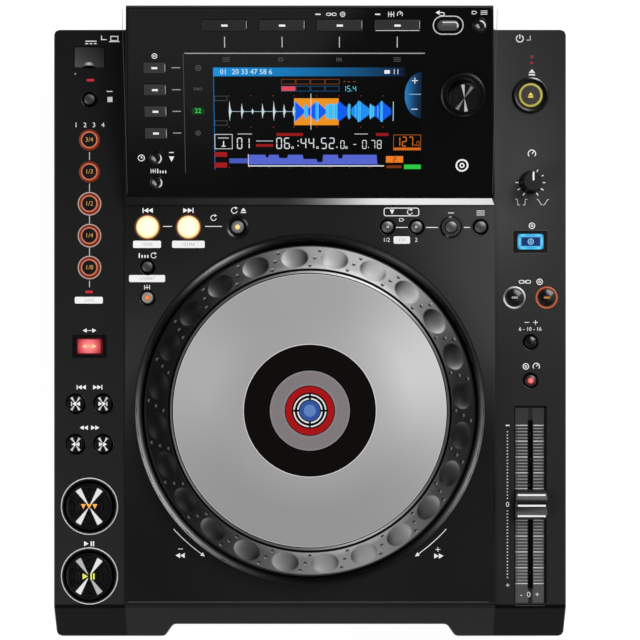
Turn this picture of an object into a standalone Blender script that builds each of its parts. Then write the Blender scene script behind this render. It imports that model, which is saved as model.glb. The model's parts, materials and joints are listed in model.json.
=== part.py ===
"""A slot-loading tabletop disc player, modelled as an assembly of separate pieces.

The origin lies under the middle of the player on the table. +X is the player's right
hand side, +Y its rear and +Z up. Every length is in metres and every angle in radians.
"""

import math

import bmesh
import bpy
from mathutils import Matrix, Vector

# Fits and sheets
CLEARANCE = 0.0003
WALL = 0.0025
SHEET = 0.0015
BOARD = 0.0016
BOSS_RADIUS = 0.0028
BOARD_GAP = 0.0012
SHARP_ANGLE = math.radians(35.0)
CUT = 0.004

# Jog wheel
JOG_RADIUS = 0.0982
JOG_EDGE = 0.0021
JOG_RING_WIDTH = 0.0127
JOG_SKIRT = 0.0024
JOG_HEIGHT = 0.0140
JOG_GAP = 0.0009
SKIRT_LIFT = 0.0030
GROOVE_WIDTH = 0.0014
GROOVE_DEPTH = 0.0017
WEB_THICKNESS = 0.0026
PLATE_THICKNESS = 0.0027
PLATE_PROUD = 0.0010
PLATE_CHAMFER = 0.0011
LABEL_RADIUS = 0.0242
SPINDLE_RADIUS = 0.0120
SPINDLE_BORE = 0.0090
HUB_WALL = 0.0030
SHOULDER_RISE = 0.0020
DIMPLE_COUNT = 24
DIMPLE_LENGTH = 0.0159
DIMPLE_WIDTH = 0.0103
DIMPLE_DEPTH = 0.0018
DIMPLE_BOWL_SHARE = 0.55
DIMPLE_BOWL_DEPTH = 0.0013
DIMPLE_START = math.radians(95.7)

# Case in plan
SURROUND_WIDTH = 0.0053
SURROUND_INNER_SLOPE = 0.0016
SURROUND_OUTER_SLOPE = 0.0013
DECK_SIDE_MARGIN = 0.0058
COLUMN_WIDTH = 0.0423
DECK_FRONT_MARGIN = 0.0112
DECK_EDGE_MARGIN = 0.0024
SLOPE_RUN = 0.0112
POD_PROJECTION = 0.0081
POD_WIDTH = 0.0705
POD_SLANT = 0.0055
LOOP_ROW_DEPTH = 0.0174
DISPLAY_DEPTH = 0.1131
DISPLAY_OVERHANG = 0.0087
CORNER_RADIUS = 0.0030

# Case in height
FOOT_HEIGHT = 0.0060
FOOT_RADIUS = 0.0100
FOOT_INSET = 0.0270
LOWER_HEIGHT = 0.0160
UPPER_HEIGHT = 0.0440
DECK_RISE = 0.0020
SURROUND_RISE = 0.0018
WELL_DEPTH = 0.0060
FRONT_SLOPE = math.radians(36.5)
EDGE_BEVEL = 0.0007
DECK_BEVEL = 0.0009

# Display housing
DISPLAY_TILT = math.radians(17.0)
DISPLAY_LIP = 0.0008
DISPLAY_CHAMFER = 0.0035
DISPLAY_FRONT_RISE = 0.0037
DISPLAY_TAPER = 0.0035
DISPLAY_REAR_RADIUS = 0.0022
DISPLAY_SHELL = 0.0022
DISPLAY_CAVITY_START = 0.0090
WINDOW_THICKNESS = 0.0016
WINDOW_MARGIN = 0.0014
SCREEN_LEFT_INSET = 0.0540
SCREEN_RIGHT_INSET = 0.0446
SCREEN_FRONT = 0.0175
SCREEN_DEPTH = 0.0609
DISPLAY_BOARD_DROP = 0.0035
DISPLAY_BOARD_START = 0.0200
DISPLAY_BOARD_MARGIN = 0.0062
DISPLAY_BOSS_INSET = 0.0382
DISPLAY_BOSS_FRONT = 0.0300
DISPLAY_BOSS_PITCH = 0.0650

# Buttons: cap radius, dish radius around it, height above the panel, travel
SMALL_CAP = 0.0034
SMALL_DISH = 0.0047
LOOP_CAP = 0.0068
LOOP_DISH = 0.0076
BEAT_CAP = 0.0052
BEAT_DISH = 0.0060
SEARCH_CAP = 0.0051
SEARCH_DISH = 0.0062
PLAY_CAP = 0.0137
PLAY_DISH = 0.0156
PLAY_RING = 0.0169
SYNC_CAP = 0.0052
SYNC_DISH = 0.0064
EJECT_CAP = 0.0073
EJECT_COLLAR = 0.0106
GUARD_CAP = 0.0038
GUARD_COLLAR = 0.0063
RELOOP_DISH = 0.0066
DISH_DEPTH = 0.0010
COLLAR_RISE = 0.0012
RING_RISE = 0.0006
CAP_CHAMFER = 0.0004
SMALL_HEIGHT = 0.0014
LARGE_HEIGHT = 0.0022
SMALL_TRAVEL = 0.0005
LARGE_TRAVEL = 0.0012
STEM_SHARE = 0.45
DIRECTION_WIDTH = 0.0151
DIRECTION_DEPTH = 0.0097
JOG_MODE_WIDTH = 0.0153
JOG_MODE_DEPTH = 0.0091
FRAME_BORDER = 0.0024
SOURCE_WIDTH = 0.0130
SOURCE_DEPTH = 0.0064
MENU_GAP = 0.0068
BACK_WIDTH = 0.0128

# Places of the controls in the left column, from its rear or its front edge
USB_STOP_SETBACK = 0.0416
BEAT_GAP = 0.0241
BEAT_PITCH = 0.0190
DIRECTION_GAP = 0.0469
PLAY_SETBACK = 0.0188
CUE_PITCH = 0.0415
SEARCH_PITCH = 0.0370
TRACK_PITCH = 0.0241
SEARCH_SPREAD = 0.0082

# Places of the controls in the right column, each from the one behind it
EJECT_SETBACK = 0.0391
SPEED_PITCH = 0.0520
JOG_MODE_PITCH = 0.0352
SYNC_PITCH = 0.0333
SYNC_SPREAD = 0.0096
TEMPO_RANGE_PITCH = 0.0265
MASTER_TEMPO_PITCH = 0.0229

# Places of the controls on the deck, from its side edges inward
LOOP_ROW_SETBACK = 0.0133
LOOP_IN_INSET = 0.0136
LOOP_OUT_PITCH = 0.0244
RELOOP_PITCH = 0.0292
MEMORY_INSET = 0.0089
DELETE_PITCH = 0.0174
CALL_FORWARD_PITCH = 0.0206
CALL_BACK_PITCH = 0.0173
FOUR_BEAT_PITCH = 0.0236
SLIP_PITCH = 0.0184

# Places of the controls on the display, from the deck's side edges and along the slope
SOURCE_INSET = 0.0201
SOURCE_START = 0.0394
SOURCE_PITCH = 0.01286
MENU_LEFT_INSET = 0.0070
MENU_RIGHT_INSET = 0.0149
MENU_SETBACK = 0.0119
TAG_INSET = 0.0117
BACK_PITCH = 0.0185
SELECTOR_INSET = 0.0208
SELECTOR_ROW = 0.0625
TIME_MODE_ROW = 0.0245
QUANTIZE_ROW = 0.0099

# Tempo fader and rotary controls
FADER_SETBACK = 0.0613
FADER_POCKET_WIDTH = 0.0193
FADER_POCKET_LENGTH = 0.1178
FADER_POCKET_DEPTH = 0.0008
FADER_SLOT_WIDTH = 0.0024
FADER_STEM_LENGTH = 0.0050
FADER_TRAVEL = 0.0470
FADER_CAP_WIDTH = 0.0185
FADER_CAP_LENGTH = 0.0183
FADER_CAP_HEIGHT = 0.0085
FADER_CAP_RIDGE = 0.0038
FADER_CAP_VALLEY = 0.0014
FADER_CAP_DIP = 0.0009
FADER_CAP_SHOULDER = 0.0038
FADER_CAP_LEAN = 0.0009
SPEED_KNOB_RADIUS = 0.0066
SPEED_KNOB_TOP = 0.0055
SPEED_KNOB_HEIGHT = 0.0170
SELECTOR_SKIRT = 0.0129
SELECTOR_KNOB_RADIUS = 0.0093
SELECTOR_KNOB_HEIGHT = 0.0120
SELECTOR_ROUND = 0.0007
SELECTOR_TRAVEL = 0.0006
SHAFT_RADIUS = 0.0030

# USB well and its door
USB_SETBACK = 0.0164
USB_DOOR_WIDTH = 0.0179
USB_DOOR_DEPTH = 0.0122
USB_DOOR_THICKNESS = 0.0015
USB_WELL_LEDGE = 0.0012
USB_SOCKET_WIDTH = 0.0132
USB_SOCKET_DEPTH = 0.0058
USB_SOCKET_HEIGHT = 0.0125
USB_SOCKET_WALL = 0.0005
USB_TONGUE = 0.0018
THUMB_NOTCH_RADIUS = 0.0060
THUMB_NOTCH_REACH = 0.0018

# Disc drive
DISC_HEIGHT = 0.0395
SLOT_WIDTH = 0.1260
SLOT_HEIGHT = 0.0060
DRIVE_SIDES = 0.0140
DRIVE_LENGTH = 0.1400
DRIVE_BELOW = 0.0130
DRIVE_ABOVE = 0.0105
BAY_BELOW = 0.0100
BAY_ABOVE = 0.0070
TURNTABLE_RADIUS = 0.0140
TURNTABLE_SETBACK = 0.0660
MOTOR_RADIUS = 0.0105
MOTOR_RISE = 0.0040
ROLLER_SETBACK = 0.0140
ROLLER_RADIUS = 0.0033
ROLLER_WAIST = 0.0027
ROLLER_MARGIN = 0.0080
AXLE_RADIUS = 0.0015
SLED_WIDTH = 0.0220
SLED_RISE = 0.0035

# Circuit boards and rear sockets
BOARD_STANDOFF = 0.0080
CONTROL_BOARD_SPACE = 0.0054
CONTROL_BOARD_MARGIN = 0.0040
CONTROL_BOSS_SETBACK = 0.0326
MAIN_BOARD_LENGTH = 0.1450
MAIN_BOARD_RIGHT = 0.0640
POWER_BOARD_SPACE = 0.0040
POWER_BOARD_LENGTH = 0.1150
PHONO_RADIUS = 0.0042
PHONO_BORE = 0.0016
PHONO_REACH = 0.0075
PHONO_BLOCK = 0.0120
PHONO_LEFT_X = 0.0300
PHONO_PITCH = 0.0150
LAN_PITCH = 0.0400
LAN_WIDTH = 0.0160
LAN_HEIGHT = 0.0135
LAN_DEPTH = 0.0150
LAN_WALL = 0.0020
USB_PORT_INSET = 0.0505
USB_PORT_WIDTH = 0.0120
USB_PORT_HEIGHT = 0.0108
USB_PORT_WALL = 0.0016
USB_PORT_POST_WIDTH = 0.0054
USB_PORT_POST_HEIGHT = 0.0032
INLET_PITCH = 0.0300
INLET_WIDTH = 0.0230
INLET_HEIGHT = 0.0150
INLET_DEPTH = 0.0190
INLET_WALL = 0.0032
INLET_PIN_SPREAD = 0.0043
INLET_PIN_RADIUS = 0.0011
SWITCH_CHAMFER = 0.0005
SWITCH_INSET = 0.0225
SWITCH_WIDTH = 0.0120
SWITCH_HEIGHT = 0.0080
SWITCH_PROUD = 0.0045
SWITCH_TRAVEL = 0.0025
TRANSFORMER_SIZE = 0.0300
TRANSFORMER_HEIGHT = 0.0240

# Roundness of turned pieces
WHEEL_STEPS = 60
PLATE_STEPS = 48
HUB_STEPS = 20
LARGE_STEPS = 20
MEDIUM_STEPS = 12
SMALL_STEPS = 10
POST_STEPS = 8
DIMPLE_STEPS = 10
CORNER_STEPS = 2

# Levels worked out from the sizes above
PARTING_Z = FOOT_HEIGHT + LOWER_HEIGHT
SIDE_TOP_Z = PARTING_Z + UPPER_HEIGHT
DECK_TOP_Z = SIDE_TOP_Z + DECK_RISE
PANEL_UNDER_Z = SIDE_TOP_Z - WALL
RIM_TOP_Z = DECK_TOP_Z + JOG_HEIGHT
PLATE_TOP_Z = RIM_TOP_Z + PLATE_PROUD
WEB_TOP_Z = PLATE_TOP_Z - PLATE_THICKNESS - CLEARANCE
WELL_FLOOR_Z = DECK_TOP_Z - WELL_DEPTH
SHOULDER_Z = WELL_FLOOR_Z + SHOULDER_RISE
CONTROL_BOARD_Z = PANEL_UNDER_Z - CONTROL_BOARD_SPACE
TRAY_FLOOR_Z = FOOT_HEIGHT + SHEET
LOW_BOARD_Z = TRAY_FLOOR_Z + BOARD_STANDOFF + CLEARANCE
DRIVE_BASE_Z = DISC_HEIGHT - DRIVE_BELOW
DISPLAY_BASE_Z = DECK_TOP_Z + CLEARANCE

# Plan lines worked out from the sizes above
WELL_RADIUS = JOG_RADIUS + JOG_GAP
SURROUND_RADIUS = WELL_RADIUS + SURROUND_WIDTH
DECK_HALF = SURROUND_RADIUS + DECK_SIDE_MARGIN
BODY_HALF = DECK_HALF + COLUMN_WIDTH
COLUMN_X = DECK_HALF + COLUMN_WIDTH / 2
POD_INNER = BODY_HALF - POD_WIDTH
BODY_DEPTH = (POD_PROJECTION + SLOPE_RUN + DECK_EDGE_MARGIN + DECK_FRONT_MARGIN
              + 2 * SURROUND_RADIUS + LOOP_ROW_DEPTH + DISPLAY_DEPTH)
FRONT_Y = -BODY_DEPTH / 2
MID_FRONT_Y = FRONT_Y + POD_PROJECTION
COLUMN_FRONT_Y = MID_FRONT_Y + SLOPE_RUN
DECK_FRONT_Y = COLUMN_FRONT_Y + DECK_EDGE_MARGIN
JOG_Y = DECK_FRONT_Y + DECK_FRONT_MARGIN + SURROUND_RADIUS
DISPLAY_FRONT_Y = JOG_Y + SURROUND_RADIUS + LOOP_ROW_DEPTH
DISPLAY_REAR_Y = DISPLAY_FRONT_Y + DISPLAY_DEPTH
REAR_Y = DISPLAY_REAR_Y - DISPLAY_OVERHANG
DRIVE_FRONT_Y = MID_FRONT_Y + WALL + CLEARANCE

# Places across, worked out from the sizes above
LOOP_IN_X = -DECK_HALF + LOOP_IN_INSET
LOOP_OUT_X = LOOP_IN_X + LOOP_OUT_PITCH
RELOOP_X = LOOP_OUT_X + RELOOP_PITCH
MEMORY_X = DECK_HALF - MEMORY_INSET
DELETE_X = MEMORY_X - DELETE_PITCH
CALL_FORWARD_X = DELETE_X - CALL_FORWARD_PITCH
CALL_BACK_X = CALL_FORWARD_X - CALL_BACK_PITCH
SOURCE_X = -DECK_HALF + SOURCE_INSET
SCREEN_LEFT = -DECK_HALF + SCREEN_LEFT_INSET
SCREEN_RIGHT = DECK_HALF - SCREEN_RIGHT_INSET
MENU_X = SCREEN_LEFT + MENU_LEFT_INSET
MENU_PITCH = (SCREEN_RIGHT - MENU_RIGHT_INSET - MENU_X) / 3
MENU_WIDTH = MENU_PITCH - MENU_GAP
TAG_X = DECK_HALF - TAG_INSET
BACK_X = TAG_X - BACK_PITCH
SELECTOR_X = DECK_HALF - SELECTOR_INSET
POWER_BOARD_LEFT = MAIN_BOARD_RIGHT + POWER_BOARD_SPACE
USB_PORT_X = -BODY_HALF + USB_PORT_INSET
LAN_X = USB_PORT_X + LAN_PITCH
SWITCH_X = BODY_HALF - SWITCH_INSET
INLET_X = SWITCH_X - INLET_PITCH
DRIVE_WIDTH = SLOT_WIDTH + DRIVE_SIDES
ROLLER_LENGTH = SLOT_WIDTH - ROLLER_MARGIN

# Rows of controls in the side columns, worked out from the sizes above
USB_STOP_Y = REAR_Y - USB_STOP_SETBACK
BEAT_Y = USB_STOP_Y - BEAT_GAP
DIRECTION_Y = BEAT_Y - 4 * BEAT_PITCH - DIRECTION_GAP
PLAY_Y = COLUMN_FRONT_Y + PLAY_SETBACK
CUE_Y = PLAY_Y + CUE_PITCH
SEARCH_Y = CUE_Y + SEARCH_PITCH
TRACK_Y = SEARCH_Y + TRACK_PITCH
EJECT_Y = REAR_Y - EJECT_SETBACK
SPEED_Y = EJECT_Y - SPEED_PITCH
JOG_MODE_Y = SPEED_Y - JOG_MODE_PITCH
SYNC_Y = JOG_MODE_Y - SYNC_PITCH
TEMPO_RANGE_Y = SYNC_Y - TEMPO_RANGE_PITCH
MASTER_TEMPO_Y = TEMPO_RANGE_Y - MASTER_TEMPO_PITCH
LOOP_ROW_Y = DISPLAY_FRONT_Y - LOOP_ROW_SETBACK

# The sloping display panel's own frame: x across, y up the slope, z out of the glass
PANEL_FRAME = (Matrix.Translation((0.0, DISPLAY_FRONT_Y + DISPLAY_CHAMFER,
                                   DISPLAY_BASE_Z + DISPLAY_FRONT_RISE))
               @ Matrix.Rotation(DISPLAY_TILT, 4, "X"))
PANEL_LENGTH = (DISPLAY_DEPTH - DISPLAY_CHAMFER) / math.cos(DISPLAY_TILT)
PANEL_BACKING = WINDOW_THICKNESS + DISPLAY_SHELL
DISPLAY_BOARD_W = -PANEL_BACKING - DISPLAY_BOARD_DROP
MENU_ROW = PANEL_LENGTH - MENU_SETBACK


def clear_scene():
    """Remove whatever the file held before."""
    for item in list(bpy.data.objects):
        bpy.data.objects.remove(item, do_unlink=True)


def to_object(bm, name, matrix=None):
    """Turn a bmesh into a linked object with outward faces."""
    bmesh.ops.recalc_face_normals(bm, faces=bm.faces)
    mesh = bpy.data.meshes.new(name)
    bm.to_mesh(mesh)
    bm.free()
    item = bpy.data.objects.new(name, mesh)
    bpy.context.scene.collection.objects.link(item)
    if matrix is not None:
        item.matrix_world = matrix
    bpy.context.view_layer.update()
    return item


def combine(target, tool, operation):
    """Join, cut or intersect two solids and keep the result in the target."""
    modifier = target.modifiers.new(operation.lower(), "BOOLEAN")
    modifier.operation = operation
    modifier.solver = "EXACT"
    modifier.object = tool
    graph = bpy.context.evaluated_depsgraph_get()
    mesh = bpy.data.meshes.new_from_object(target.evaluated_get(graph))
    target.modifiers.clear()
    target.data = mesh
    bpy.data.objects.remove(tool, do_unlink=True)


def cut(target, tool):
    """Take the tool's volume out of the target."""
    combine(target, tool, "DIFFERENCE")


def join(target, tool):
    """Add the tool's volume to the target."""
    combine(target, tool, "UNION")


def dress(item, colour, roughness, metallic=0.0):
    """Give an object its own plain material and smooth round faces."""
    material = bpy.data.materials.new(item.name)
    material.use_nodes = True
    shader = material.node_tree.nodes["Principled BSDF"]
    shader.inputs["Base Color"].default_value = (*colour, 1.0)
    shader.inputs["Roughness"].default_value = roughness
    shader.inputs["Metallic"].default_value = metallic
    item.data.materials.clear()
    item.data.materials.append(material)
    item.data.shade_smooth()
    item.data.set_sharp_from_angle(angle=SHARP_ANGLE)
    item.data.name = item.name
    return item


def circle(radius, steps, centre=(0.0, 0.0), start=0.0):
    """Points of a circle, anticlockwise."""
    turns = [start + 2 * math.pi * step / steps for step in range(steps)]
    return [(centre[0] + radius * math.cos(turn), centre[1] + radius * math.sin(turn)) for turn in turns]


def rounded(corners, radius, steps=CORNER_STEPS):
    """Round the corners of a closed outline with arcs that touch both sides."""
    points = []
    for index, corner in enumerate(corners):
        middle = Vector(corner)
        before = (Vector(corners[index - 1]) - middle).normalized()
        after = (Vector(corners[(index + 1) % len(corners)]) - middle).normalized()
        half = before.angle(after) / 2
        centre = middle + (before + after).normalized() * radius / math.sin(half)
        start = middle + before * radius / math.tan(half) - centre
        end = middle + after * radius / math.tan(half) - centre
        first = math.atan2(start.y, start.x)
        sweep = (math.atan2(end.y, end.x) - first + math.pi) % (2 * math.pi) - math.pi
        for step in range(steps + 1):
            angle = first + sweep * step / steps
            points.append((centre.x + radius * math.cos(angle), centre.y + radius * math.sin(angle)))
    return points


def rectangle(width, depth, centre=(0.0, 0.0), radius=0.0, steps=1):
    """An upright rectangle's outline, with round corners where a radius is given."""
    x, y = centre
    corners = [(x - width / 2, y - depth / 2), (x + width / 2, y - depth / 2),
               (x + width / 2, y + depth / 2), (x - width / 2, y + depth / 2)]
    return rounded(corners, radius, steps) if radius else corners


def inset(corners, distance):
    """Move every side of an anticlockwise outline inward by one distance."""
    moved = []
    for index, corner in enumerate(corners):
        middle = Vector(corner)
        arrive = (middle - Vector(corners[index - 1])).normalized()
        leave = (Vector(corners[(index + 1) % len(corners)]) - middle).normalized()
        normal = Vector((-arrive.y - leave.y, arrive.x + leave.x)).normalized()
        reach = distance / normal.dot(Vector((-arrive.y, arrive.x)))
        moved.append(tuple(middle + normal * reach))
    return moved


def loft(name, sections, matrix=None):
    """A closed solid through outlines of equal point counts, each with its own height."""
    bm = bmesh.new()
    rings = [[bm.verts.new((x, y, z)) for x, y in outline] for outline, z in sections]
    bm.faces.new(rings[0])
    bm.faces.new(rings[-1])
    for low, high in zip(rings, rings[1:]):
        for index in range(len(low)):
            bm.faces.new((low[index - 1], low[index], high[index], high[index - 1]))
    return to_object(bm, name, matrix)


def prism(name, outline, low, high, matrix=None):
    """An outline raised from one height to another."""
    return loft(name, [(outline, low), (outline, high)], matrix)


def box(name, low, high, matrix=None):
    """A block between two opposite corners."""
    centre = ((low[0] + high[0]) / 2, (low[1] + high[1]) / 2)
    outline = rectangle(high[0] - low[0], high[1] - low[1], centre)
    return prism(name, outline, low[2], high[2], matrix)


def revolve(name, profile, steps, matrix=None):
    """Turn a closed profile of (radius, height) points about the upright axis."""
    bm = bmesh.new()
    points = [bm.verts.new((radius, 0.0, height)) for radius, height in profile]
    edges = [bm.edges.new((points[index - 1], points[index])) for index in range(len(points))]
    bmesh.ops.spin(bm, geom=points + edges, axis=(0, 0, 1), cent=(0, 0, 0), dvec=(0, 0, 0),
                   angle=2 * math.pi, steps=steps, use_merge=True)
    bmesh.ops.remove_doubles(bm, verts=bm.verts, dist=CLEARANCE / 1000)
    loose = [edge for edge in bm.edges if not edge.link_faces]
    bmesh.ops.delete(bm, geom=loose, context="EDGES")
    return to_object(bm, name, matrix)


def along_x(name, outline, low, high):
    """An outline drawn in (y, z) and raised along +X."""
    turn = Matrix(((0, 0, 1, 0), (1, 0, 0, 0), (0, 1, 0, 0), (0, 0, 0, 1)))
    return prism(name, outline, low, high, turn)


def along_y(name, outline, low, high):
    """An outline drawn in (x, z) and raised along +Y."""
    turn = Matrix(((1, 0, 0, 0), (0, 0, 1, 0), (0, 1, 0, 0), (0, 0, 0, 1)))
    return prism(name, outline, low, high, turn)


def at(x, y, z):
    """A plain shift."""
    return Matrix.Translation((x, y, z))


def on_panel(across, along, out=0.0):
    """A place on the sloping display panel."""
    return PANEL_FRAME @ Matrix.Translation((across, along, out))


def settle(item):
    """Bake a turned object's matrix into its mesh."""
    item.data.transform(item.matrix_world)
    item.matrix_world = Matrix.Identity(4)
    item.data.update()
    return item


class Button:
    """One push button: where it sits, its outline, and how far it travels.

    The outline function takes an inset, so that the chamfer, the hole and the stem all
    follow from the same cap.
    """

    def __init__(self, name, frame, outline, height, travel, dish=None, look="black"):
        """Keep the button's own frame, whose z axis leaves the panel at its surface."""
        self.name = name
        self.frame = frame
        self.outline = outline
        self.height = height
        self.travel = travel
        self.dish = dish
        self.look = look

    def hole(self, depth):
        """The cutter of the hole that the cap slides in, with its dish."""
        clear = self.outline(-CLEARANCE)
        if self.dish is None:
            return loft("hole", [(clear, -depth), (clear, CUT)], self.frame)
        rim = self.dish(0.0)
        return loft("hole", [(clear, -depth), (clear, -DISH_DEPTH), (rim, 0.0), (rim, CUT)], self.frame)

    def build(self, floor_depth):
        """The cap and its stem, which ends just above the switch on its board."""
        stem_end = -floor_depth + self.travel + CLEARANCE
        cap_end = max(-WALL - CLEARANCE, stem_end / 2)
        shape = self.outline(0.0)
        middle = Vector((sum(x for x, y in shape), sum(y for x, y in shape))) / len(shape)
        stem = [tuple(middle + (Vector(point) - middle) * STEM_SHARE) for point in shape]
        sections = [(stem, stem_end), (shape, cap_end), (shape, self.height - CAP_CHAMFER),
                    (self.outline(CAP_CHAMFER), self.height)]
        item = loft(self.name, sections, self.frame)
        colours = {"black": (0.02, 0.02, 0.022), "warm": (0.95, 0.88, 0.55), "red": (0.85, 0.22, 0.25),
                   "blue": (0.15, 0.6, 0.85), "grey": (0.16, 0.16, 0.17)}
        return dress(item, colours[self.look], 0.35)


def round_cap(radius, steps=SMALL_STEPS):
    """An outline function for a round cap."""
    return lambda distance: circle(radius - distance, steps)


def square_cap(width, depth, radius=0.0008):
    """An outline function for a cap with four sides and small round corners."""
    return lambda distance: rectangle(width - 2 * distance, depth - 2 * distance, radius=radius)


def left_column_buttons():
    """The buttons of the left column, from the rear to the front."""
    def place(dx, y):
        return at(-COLUMN_X + dx, y, SIDE_TOP_Z)

    beat_cap = round_cap(BEAT_CAP, MEDIUM_STEPS)
    beat_dish = round_cap(BEAT_DISH, MEDIUM_STEPS)
    search_cap = round_cap(SEARCH_CAP, MEDIUM_STEPS)
    search_dish = round_cap(SEARCH_DISH, MEDIUM_STEPS)
    play_cap = round_cap(PLAY_CAP, LARGE_STEPS)
    play_dish = round_cap(PLAY_DISH, LARGE_STEPS)
    buttons = [Button("usb_stop_button", place(0.0, USB_STOP_Y), round_cap(SMALL_CAP), SMALL_HEIGHT,
                      SMALL_TRAVEL, round_cap(SMALL_DISH))]
    for index, beat in enumerate(("3_4", "1_3", "1_2", "1_4", "1_8")):
        spot = place(0.0, BEAT_Y - index * BEAT_PITCH)
        buttons.append(Button(f"beat_{beat}_button", spot, beat_cap, SMALL_HEIGHT, SMALL_TRAVEL, beat_dish))
    buttons.append(Button("direction_button", place(0.0, DIRECTION_Y),
                          square_cap(DIRECTION_WIDTH, DIRECTION_DEPTH), SMALL_HEIGHT, SMALL_TRAVEL,
                          square_cap(DIRECTION_WIDTH + FRAME_BORDER, DIRECTION_DEPTH + FRAME_BORDER),
                          look="red"))
    for kind, row in (("track_search", TRACK_Y), ("search", SEARCH_Y)):
        for side, spread in (("back", -SEARCH_SPREAD), ("forward", SEARCH_SPREAD)):
            buttons.append(Button(f"{kind}_{side}_button", place(spread, row), search_cap,
                                  SMALL_HEIGHT, SMALL_TRAVEL, search_dish))
    buttons.append(Button("cue_button", place(0.0, CUE_Y), play_cap, LARGE_HEIGHT, LARGE_TRAVEL, play_dish))
    buttons.append(Button("play_pause_button", place(0.0, PLAY_Y), play_cap, LARGE_HEIGHT, LARGE_TRAVEL,
                          play_dish))
    return buttons


def right_column_buttons():
    """The buttons of the right column, from the rear to the front."""
    def place(dx, y):
        return at(COLUMN_X + dx, y, SIDE_TOP_Z)

    sync_cap = round_cap(SYNC_CAP, MEDIUM_STEPS)
    sync_dish = round_cap(SYNC_DISH, MEDIUM_STEPS)
    small = round_cap(SMALL_CAP)
    small_dish = round_cap(SMALL_DISH)
    return [
        Button("eject_button", place(0.0, EJECT_Y), round_cap(EJECT_CAP, LARGE_STEPS), SMALL_HEIGHT,
               LARGE_TRAVEL),
        Button("jog_mode_button", place(0.0, JOG_MODE_Y),
               square_cap(JOG_MODE_WIDTH, JOG_MODE_DEPTH), SMALL_HEIGHT, SMALL_TRAVEL,
               square_cap(JOG_MODE_WIDTH + FRAME_BORDER, JOG_MODE_DEPTH + FRAME_BORDER), look="blue"),
        Button("sync_button", place(-SYNC_SPREAD, SYNC_Y), sync_cap, SMALL_HEIGHT, SMALL_TRAVEL, sync_dish),
        Button("master_button", place(SYNC_SPREAD, SYNC_Y), sync_cap, SMALL_HEIGHT, SMALL_TRAVEL, sync_dish),
        Button("tempo_range_button", place(0.0, TEMPO_RANGE_Y), small, SMALL_HEIGHT, SMALL_TRAVEL,
               small_dish),
        Button("master_tempo_button", place(0.0, MASTER_TEMPO_Y), small, SMALL_HEIGHT, SMALL_TRAVEL,
               small_dish),
    ]


def deck_buttons():
    """The loop, cue point and memory buttons on the deck."""
    def place(x, y):
        return at(x, y, DECK_TOP_Z)

    small = round_cap(SMALL_CAP)
    small_dish = round_cap(SMALL_DISH)
    guard = round_cap(GUARD_CAP)
    loop_cap = round_cap(LOOP_CAP, MEDIUM_STEPS)
    loop_dish = round_cap(LOOP_DISH, MEDIUM_STEPS)
    row = LOOP_ROW_Y
    four_beat_y = row - FOUR_BEAT_PITCH
    return [
        Button("loop_in_button", place(LOOP_IN_X, row), loop_cap, SMALL_HEIGHT, SMALL_TRAVEL, loop_dish,
               "warm"),
        Button("loop_out_button", place(LOOP_OUT_X, row), loop_cap, SMALL_HEIGHT, SMALL_TRAVEL, loop_dish,
               "warm"),
        Button("reloop_button", place(RELOOP_X, row), guard, SMALL_HEIGHT, SMALL_TRAVEL,
               round_cap(RELOOP_DISH)),
        Button("call_back_button", place(CALL_BACK_X, row), guard, SMALL_HEIGHT, SMALL_TRAVEL, small_dish),
        Button("call_forward_button", place(CALL_FORWARD_X, row), guard, SMALL_HEIGHT, SMALL_TRAVEL,
               small_dish),
        Button("delete_button", place(DELETE_X, row), guard, SMALL_HEIGHT, SMALL_TRAVEL),
        Button("memory_button", place(MEMORY_X, row), guard, SMALL_HEIGHT, SMALL_TRAVEL, small_dish),
        Button("four_beat_loop_button", place(LOOP_IN_X, four_beat_y), small, SMALL_HEIGHT, SMALL_TRAVEL,
               small_dish),
        Button("slip_button", place(LOOP_IN_X, four_beat_y - SLIP_PITCH), small, SMALL_HEIGHT, SMALL_TRAVEL,
               small_dish),
    ]


def display_buttons():
    """The buttons that pass through the glass of the display housing."""
    source = square_cap(SOURCE_WIDTH, SOURCE_DEPTH)
    menu = square_cap(MENU_WIDTH, SOURCE_DEPTH)
    back = square_cap(BACK_WIDTH, SOURCE_DEPTH, SOURCE_DEPTH / 2 - CLEARANCE * 2)
    small = round_cap(SMALL_CAP)
    buttons = []
    for index in range(4):
        spot = on_panel(SOURCE_X, SOURCE_START + index * SOURCE_PITCH)
        buttons.append(Button(f"source_{index + 1}_button", spot, source, SMALL_HEIGHT, SMALL_TRAVEL))
    for index in range(4):
        spot = on_panel(MENU_X + index * MENU_PITCH, MENU_ROW)
        buttons.append(Button(f"menu_{index + 1}_button", spot, menu, SMALL_HEIGHT, SMALL_TRAVEL))
    buttons.append(Button("back_button", on_panel(BACK_X, MENU_ROW), back, SMALL_HEIGHT, SMALL_TRAVEL))
    buttons.append(Button("tag_track_button", on_panel(TAG_X, MENU_ROW), small, SMALL_HEIGHT, SMALL_TRAVEL))
    buttons.append(Button("time_mode_button", on_panel(SOURCE_X, TIME_MODE_ROW), small, SMALL_HEIGHT,
                          SMALL_TRAVEL))
    buttons.append(Button("quantize_button", on_panel(SOURCE_X, QUANTIZE_ROW), small, SMALL_HEIGHT,
                          SMALL_TRAVEL))
    return buttons


def display_floor(row):
    """How deep a display button's stem may reach: to its board, or to the deck in front of it."""
    board = -DISPLAY_BOARD_W
    nearest = row - STEM_SHARE * SMALL_CAP
    rise = DISPLAY_FRONT_RISE + CLEARANCE + nearest * math.sin(DISPLAY_TILT)
    return min(board, rise / math.cos(DISPLAY_TILT))


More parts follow.
